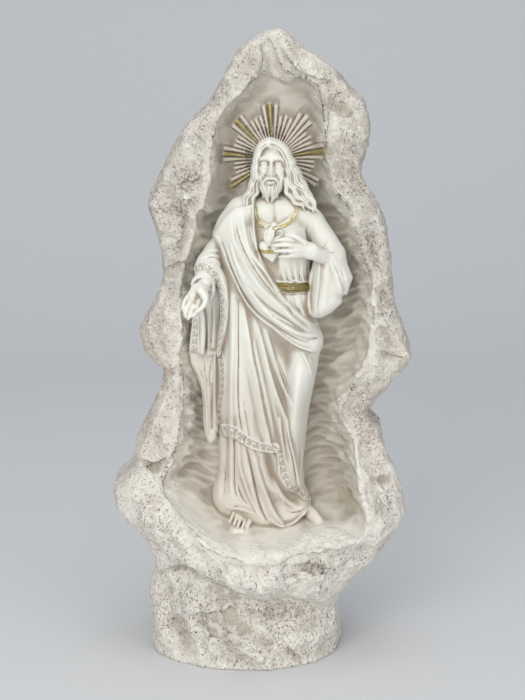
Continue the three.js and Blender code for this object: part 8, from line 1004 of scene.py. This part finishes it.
def cast_material():
    mat = bpy.data.materials.new("ivory_cast"); mat.use_nodes = True; t = mat.node_tree; Nd.tree = t
    bs = t.nodes["Principled BSDF"]
    pos = t.nodes.new("ShaderNodeTexCoord").outputs["Object"]
    def attr(n):
        a = t.nodes.new("ShaderNodeAttribute"); a.attribute_name = n
        return Nd(a.outputs["Fac"])
    def noise(scale, detail=2.0, rough=0.5, off=(0, 0, 0), stretch=(1, 1, 1), dist=0.0):
        mp = t.nodes.new("ShaderNodeMapping"); mp.inputs["Location"].default_value = off; mp.inputs["Scale"].default_value = stretch
        t.links.new(pos, mp.inputs["Vector"])
        n = t.nodes.new("ShaderNodeTexNoise"); n.inputs["Scale"].default_value = scale; n.inputs["Detail"].default_value = detail; n.inputs["Roughness"].default_value = rough
        n.inputs["Distortion"].default_value = dist
        t.links.new(mp.outputs[0], n.inputs["Vector"])
        return Nd(n.outputs["Fac"])
    def mix(f, a, b):
        n = t.nodes.new("ShaderNodeMix"); n.data_type = "RGBA"
        if isinstance(f, Nd): t.links.new(f.s, n.inputs["Factor"])
        else: n.inputs["Factor"].default_value = f
        for k, v in (("A", a), ("B", b)):
            s = [i for i in n.inputs if i.name == k and i.type == "RGBA"][0]
            if isinstance(v, tuple): s.default_value = v + (1,)
            else: t.links.new(v, s)
        return [o for o in n.outputs if o.type == "RGBA"][0]
    wash_and_shade, cloth, niche, gold, lace = attr("wash_and_shade"), attr("cloth"), attr("niche"), attr("gold"), attr("lace")
    edge_a, niche_top_shade, ridge_highlight, crest, ray, slot_shade, low_lit_less_pitted, hem, rock_top_shade, pitted, aft, belt, right_side_shade, mouth_edge_lit_less_pitted = attr("rim"), attr("niche_top_shade"), attr("ridge_highlight"), attr("crest"), attr("ray"), attr("slot_shade"), attr("low_lit_less_pitted"), attr("hem"), attr("rock_top_shade"), attr("pitted"), attr("aft"), attr("belt"), attr("right_side_shade"), attr("mouth_edge_lit_less_pitted")
    rock = (1 - cloth) * (1 - niche)
    # lace: rolled curls along each band, alternately turned
    la = attr("lace_along") / 4.6; lx = (la.frac() - 0.5) * 2.3; ly = attr("lace_across") * 1.15 * ((la.floor().mod(2.0)) * -2.0 + 1.0)
    lr = (lx * lx + ly * ly).sqrt()
    curl = (ly.atan2(lx) + lr * 6.2 + 0.8).sin().ss(0.05, 0.55) * lr.ss(1.15, 1.0)
    band = lace.ss(0.10, 0.24) * cloth; edge = lace.ss(0.02, 0.10) * lace.ss(0.30, 0.20) * cloth
    lacy = band * lace.ss(0.22, 0.34)
    # short pits, dense in patches of the outer rock
    patch = (noise(24, 2, 0.6, (3.1, 0, 0)).ss(0.36, 0.60) * (0.45 + aft * 0.05)).max(pitted * noise(95, 2, 0.6, (3, 5, 0)).ss(0.30, 0.50))
    pit_a = noise(640, 1.0, 0.5, (0, 2, 0), (1.1, 0.9, 1.0), 0.25)
    pit_b = noise(1080, 1.0, 0.5, (7, 2, 0), (1.1, 1.0, 1.0), 0.25)
    lim = patch * -0.192 + 0.708
    pits = ((pit_a - lim) * 13.0).clamp().max(((pit_b - lim + 0.004) * 12.0).clamp() * (0.9 - low_lit_less_pitted * 0.3)) * rock * (1 - crest * 0.85) * (1 - mouth_edge_lit_less_pitted * 0.75)
    grain = noise(900, 3, 0.6)
    blot = noise(30, 3, 0.55, (5, 1, 2))
    fine = noise(420, 3, 0.6, (1, 1, 7))
    bodyc = mix(blot.ss(0.3, 0.7), (0.722, 0.715, 0.646), (0.768, 0.762, 0.696))
    bodyc = mix((hem * 0.75).clamp(), bodyc, (0.635, 0.565, 0.485))
    # painted highlight on the ridges of the cloth, less towards the hem
    bodyc = mix((ridge_highlight.ss(0.15, 0.9) * 0.5 * (1 - hem * 0.4)).clamp(), bodyc, (0.88, 0.87, 0.82))
    tan = noise(34, 3, 0.6, (9, 4, 2)).ss(0.45, 0.64)
    pale = noise(38, 2, 0.5, (1, 8, 3)).ss(0.50, 0.64) * (1 - patch * 0.6)
    speck = noise(520, 2, 0.6, (6, 2, 4)).ss(0.54, 0.66)
    rockc = mix(blot.ss(0.3, 0.72), (0.655, 0.612, 0.525), (0.745, 0.71, 0.628))
    rockc = mix((tan * 0.5 + edge_a * 0.4).clamp(), rockc, (0.64, 0.545, 0.47))
    # painted shade: the upper rock darker
    rockc = mix(rock_top_shade * 0.72, rockc, (0.52, 0.495, 0.44))
    # lighter: pale patches of the stone, plus painted highlights on ridges, on the bowl's crest and on the mouth edge,
    # and painted light on the lower rock
    rockc = mix((pale * 0.45 + ridge_highlight.ss(0.2, 1.0) * 0.45 + crest * 0.65 + low_lit_less_pitted * 0.82 + mouth_edge_lit_less_pitted * 0.25).clamp(), rockc, (0.84, 0.81, 0.735))
    mott = noise(260, 3, 0.68, (3, 3, 8))
    rockc = mix((mott.ss(0.54, 0.70) * 0.6).clamp(), rockc, (0.48, 0.415, 0.35))
    rockc = mix((mott.ss(0.46, 0.32) * 0.5 + speck * 0.3).clamp(), rockc, (0.86, 0.835, 0.77))
    nichec = mix(blot.ss(0.3, 0.72), (0.74, 0.70, 0.615), (0.81, 0.775, 0.70))
    # painted shade: the niche's right-hand wall darker
    nichec = mix(right_side_shade * 0.55, nichec, (0.53, 0.50, 0.43))
    # painted shade: the niche darker towards its top
    nichec = mix(niche_top_shade * 0.85, nichec, (0.50, 0.475, 0.42))
    # painted highlight on the niche's ridges and on the bowl's crest
    nichec = mix((ridge_highlight.ss(0.2, 1.0) * 0.35 + crest * 0.6).clamp(), nichec, (0.78, 0.765, 0.705))
    col = mix(niche, rockc, nichec)
    # rays of the halo: painted shade in the gaps between rounded rods and past their tips
    sx = t.nodes.new("ShaderNodeSeparateXYZ"); t.links.new(pos, sx.inputs[0]); xx, zz = Nd(sx.outputs["X"]), Nd(sx.outputs["Z"])
    hx, hz = xx * 1000.0 - HALO["x"], zz * 1000.0 - HALO["z"]
    th = hx.atan2(hz) * 57.29578 + HALO["lean"]; side = (th * 100.0).clamp()
    tl, tr = th / HALO["left"], th / HALO["right"]
    ua = ((tl - (tl + 0.5).floor()).abs() * (1 - side) + (tr - (tr + 0.5).floor()).abs() * side) * 2.0
    hr = (hx * hx + hz * hz).sqrt()
    gap = ua.ss(0.66, 0.90) * hr.ss(9.0, 15.0) * ray
    col = mix((slot_shade * 0.75 * (1 - ray)).clamp(), col, (0.29, 0.245, 0.20))
    col = mix((ray * 0.9).clamp(), col, (0.70, 0.635, 0.555))
    col = mix((gap * 0.85).clamp(), col, (0.20, 0.16, 0.125))
    col = mix(cloth, col, bodyc)
    # the wash: darkening in hollows and creases, partly antique wash and partly painted shade
    wash_and_shade_amount = (wash_and_shade.ss(0.06, 0.62) * (cloth * 0.54 + 0.24) + wash_and_shade.ss(0.45, 0.95) * 0.32).clamp()
    col = mix(wash_and_shade_amount, col, (0.36, 0.30, 0.235))
    # lace: painted shade between the curls, painted highlight on the curls and the band's edges
    col = mix((lacy * (1 - curl) * 0.62).clamp(), col, (0.40, 0.345, 0.27))
    col = mix((band * curl * 0.5 + edge * 0.4).clamp(), col, (0.86, 0.85, 0.81))
    tint = patch * rock * noise(170, 3, 0.65, (2, 2, 2)).ss(0.40, 0.60) * (0.58 - low_lit_less_pitted * 0.10 - aft * 0.30) * (1 - crest * 0.7)
    col = mix(tint, col, (0.475, 0.385, 0.335))
    col = mix((pits * (noise(150, 2, 0.6, (1, 9, 4)).ss(0.35, 0.6) * 0.5 + 0.38)).clamp(), col, (0.235, 0.18, 0.14))
    worn = noise(300, 3, 0.6, (4, 4, 1)).ss(0.30, 0.44)
    g = gold.ss(-0.12, 0.12) * (worn * 0.6 + 0.4)
    strand = ((zz * 4300.0 + (xx * 420.0).sin() * 0.9 + (xx * 1100.0).sin() * 0.35).sin() * 0.5 + 0.5) * belt
    # gold darker in the hollows: wash and painted shade
    goldc = mix((wash_and_shade.ss(0.05, 0.6) * 0.75).clamp(), (0.50, 0.415, 0.175), (0.24, 0.19, 0.08))
    goldc = mix((belt * (1 - strand) * 0.7).clamp(), goldc, (0.20, 0.155, 0.06))
    col = mix(g, col, goldc)
    t.links.new(col, bs.inputs["Base Color"])
    rough = (0.62 + grain * 0.16) * (1 - g) + g * 0.42
    t.links.new(rough.s, bs.inputs["Roughness"])
    t.links.new((g * 0.45).s, bs.inputs["Metallic"])
    bs.inputs["Specular IOR Level"].default_value = 0.35
    hgt = fine * 1.5 * (rock + 0.04) + grain * 0.30 * (rock + 0.10) - pits * 0.75 + noise(170, 4, 0.62, (8, 0, 0)) * 1.9 * rock + lacy * curl * 0.45 + edge * 0.2 + strand * g * 0.9 - gap * 0.9
    bump = t.nodes.new("ShaderNodeBump"); bump.inputs["Strength"].default_value = 1.0; bump.inputs["Distance"].default_value = 0.001
    t.links.new(hgt.s, bump.inputs["Height"]); t.links.new(bump.outputs[0], bs.inputs["Normal"])
    return mat


body = bpy.data.objects.new("statuette_cast", me); bpy.context.scene.collection.objects.link(body)
me.materials.clear(); me.materials.append(cast_material())
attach(body, "root"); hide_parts("statuette")

# ------------------------------------------------------------------ floor, light, camera
floor_me = bpy.data.meshes.new("floor"); prof = [(-7.0, -0.0003), (0.9, -0.0003)] + [(0.9 + 0.9 * math.sin(a), 0.9 - 0.9 * math.cos(a) - 0.0003) for a in (math.pi / 2 * i / 24 for i in range(1, 25))] + [(1.8, 3.2)]
floor_me.from_pydata([(s * 3.2, y, z) for y, z in prof for s in (-1, 1)], [], [(2 * i, 2 * i + 1, 2 * i + 3, 2 * i + 2) for i in range(len(prof) - 1)])
floor_me.polygons.foreach_set("use_smooth", [True] * len(floor_me.polygons))
floor = bpy.data.objects.new("floor", floor_me); bpy.context.scene.collection.objects.link(floor)
fm = bpy.data.materials.new("floor_pale"); fm.use_nodes = True
fb = fm.node_tree.nodes["Principled BSDF"]; fb.inputs["Base Color"].default_value = (0.70, 0.71, 0.725, 1); fb.inputs["Roughness"].default_value = 0.9
floor_me.materials.append(fm)
world = bpy.data.worlds.new("studio"); bpy.context.scene.world = world; world.use_nodes = True
world.node_tree.nodes["Background"].inputs["Color"].default_value = (0.80, 0.83, 0.88, 1); world.node_tree.nodes["Background"].inputs["Strength"].default_value = 0.50

def area(name, loc, target, size, power, colour=(1, 1, 1)):
    li = bpy.data.lights.new(name, "AREA"); li.size = size; li.energy = power; li.color = colour
    ob = bpy.data.objects.new(name, li); bpy.context.scene.collection.objects.link(ob); ob.location = loc; ob.visible_camera = False
    d = [t - l for t, l in zip(target, loc)]
    from mathutils import Vector
    ob.rotation_euler = Vector(d).to_track_quat("-Z", "Y").to_euler()

area("key", (-0.55, -1.38, 0.82), (0, 0, 0.20), 0.80, 10.0, (1.0, 0.985, 0.94))
area("fill", (1.0, -1.2, 0.35), (0, 0, 0.17), 1.0, 5.0, (1.0, 0.985, 0.95))
area("top", (0.1, -0.45, 1.4), (0, 0, 0.2), 0.8, 2.4, (1.0, 0.985, 0.95))
area("front", (-0.15, -1.55, 0.16), (0, 0, 0.07), 1.0, 4.8, (1.0, 0.98, 0.94))
area("backdrop", (0, 0.2, 2.4), (0, 1.6, 0.9), 2.0, 10.0, (0.98, 0.99, 1.0))

cam = bpy.data.cameras.new("camera"); cam.sensor_fit = "AUTO"; cam.sensor_width = 36.0; cam.lens = 36.0 * 1428.0 / 700.0; cam.clip_start = 0.01
co_ = bpy.data.objects.new("camera", cam); bpy.context.scene.collection.objects.link(co_); co_.location = (0, -0.9, 0.370)
co_.rotation_euler = (math.radians(90 - 10.75), 0, 0); bpy.context.scene.camera = co_
bpy.context.scene.view_settings.view_transform = "Standard"

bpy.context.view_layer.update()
print("scene %.1fs" % (time.time() - T0))
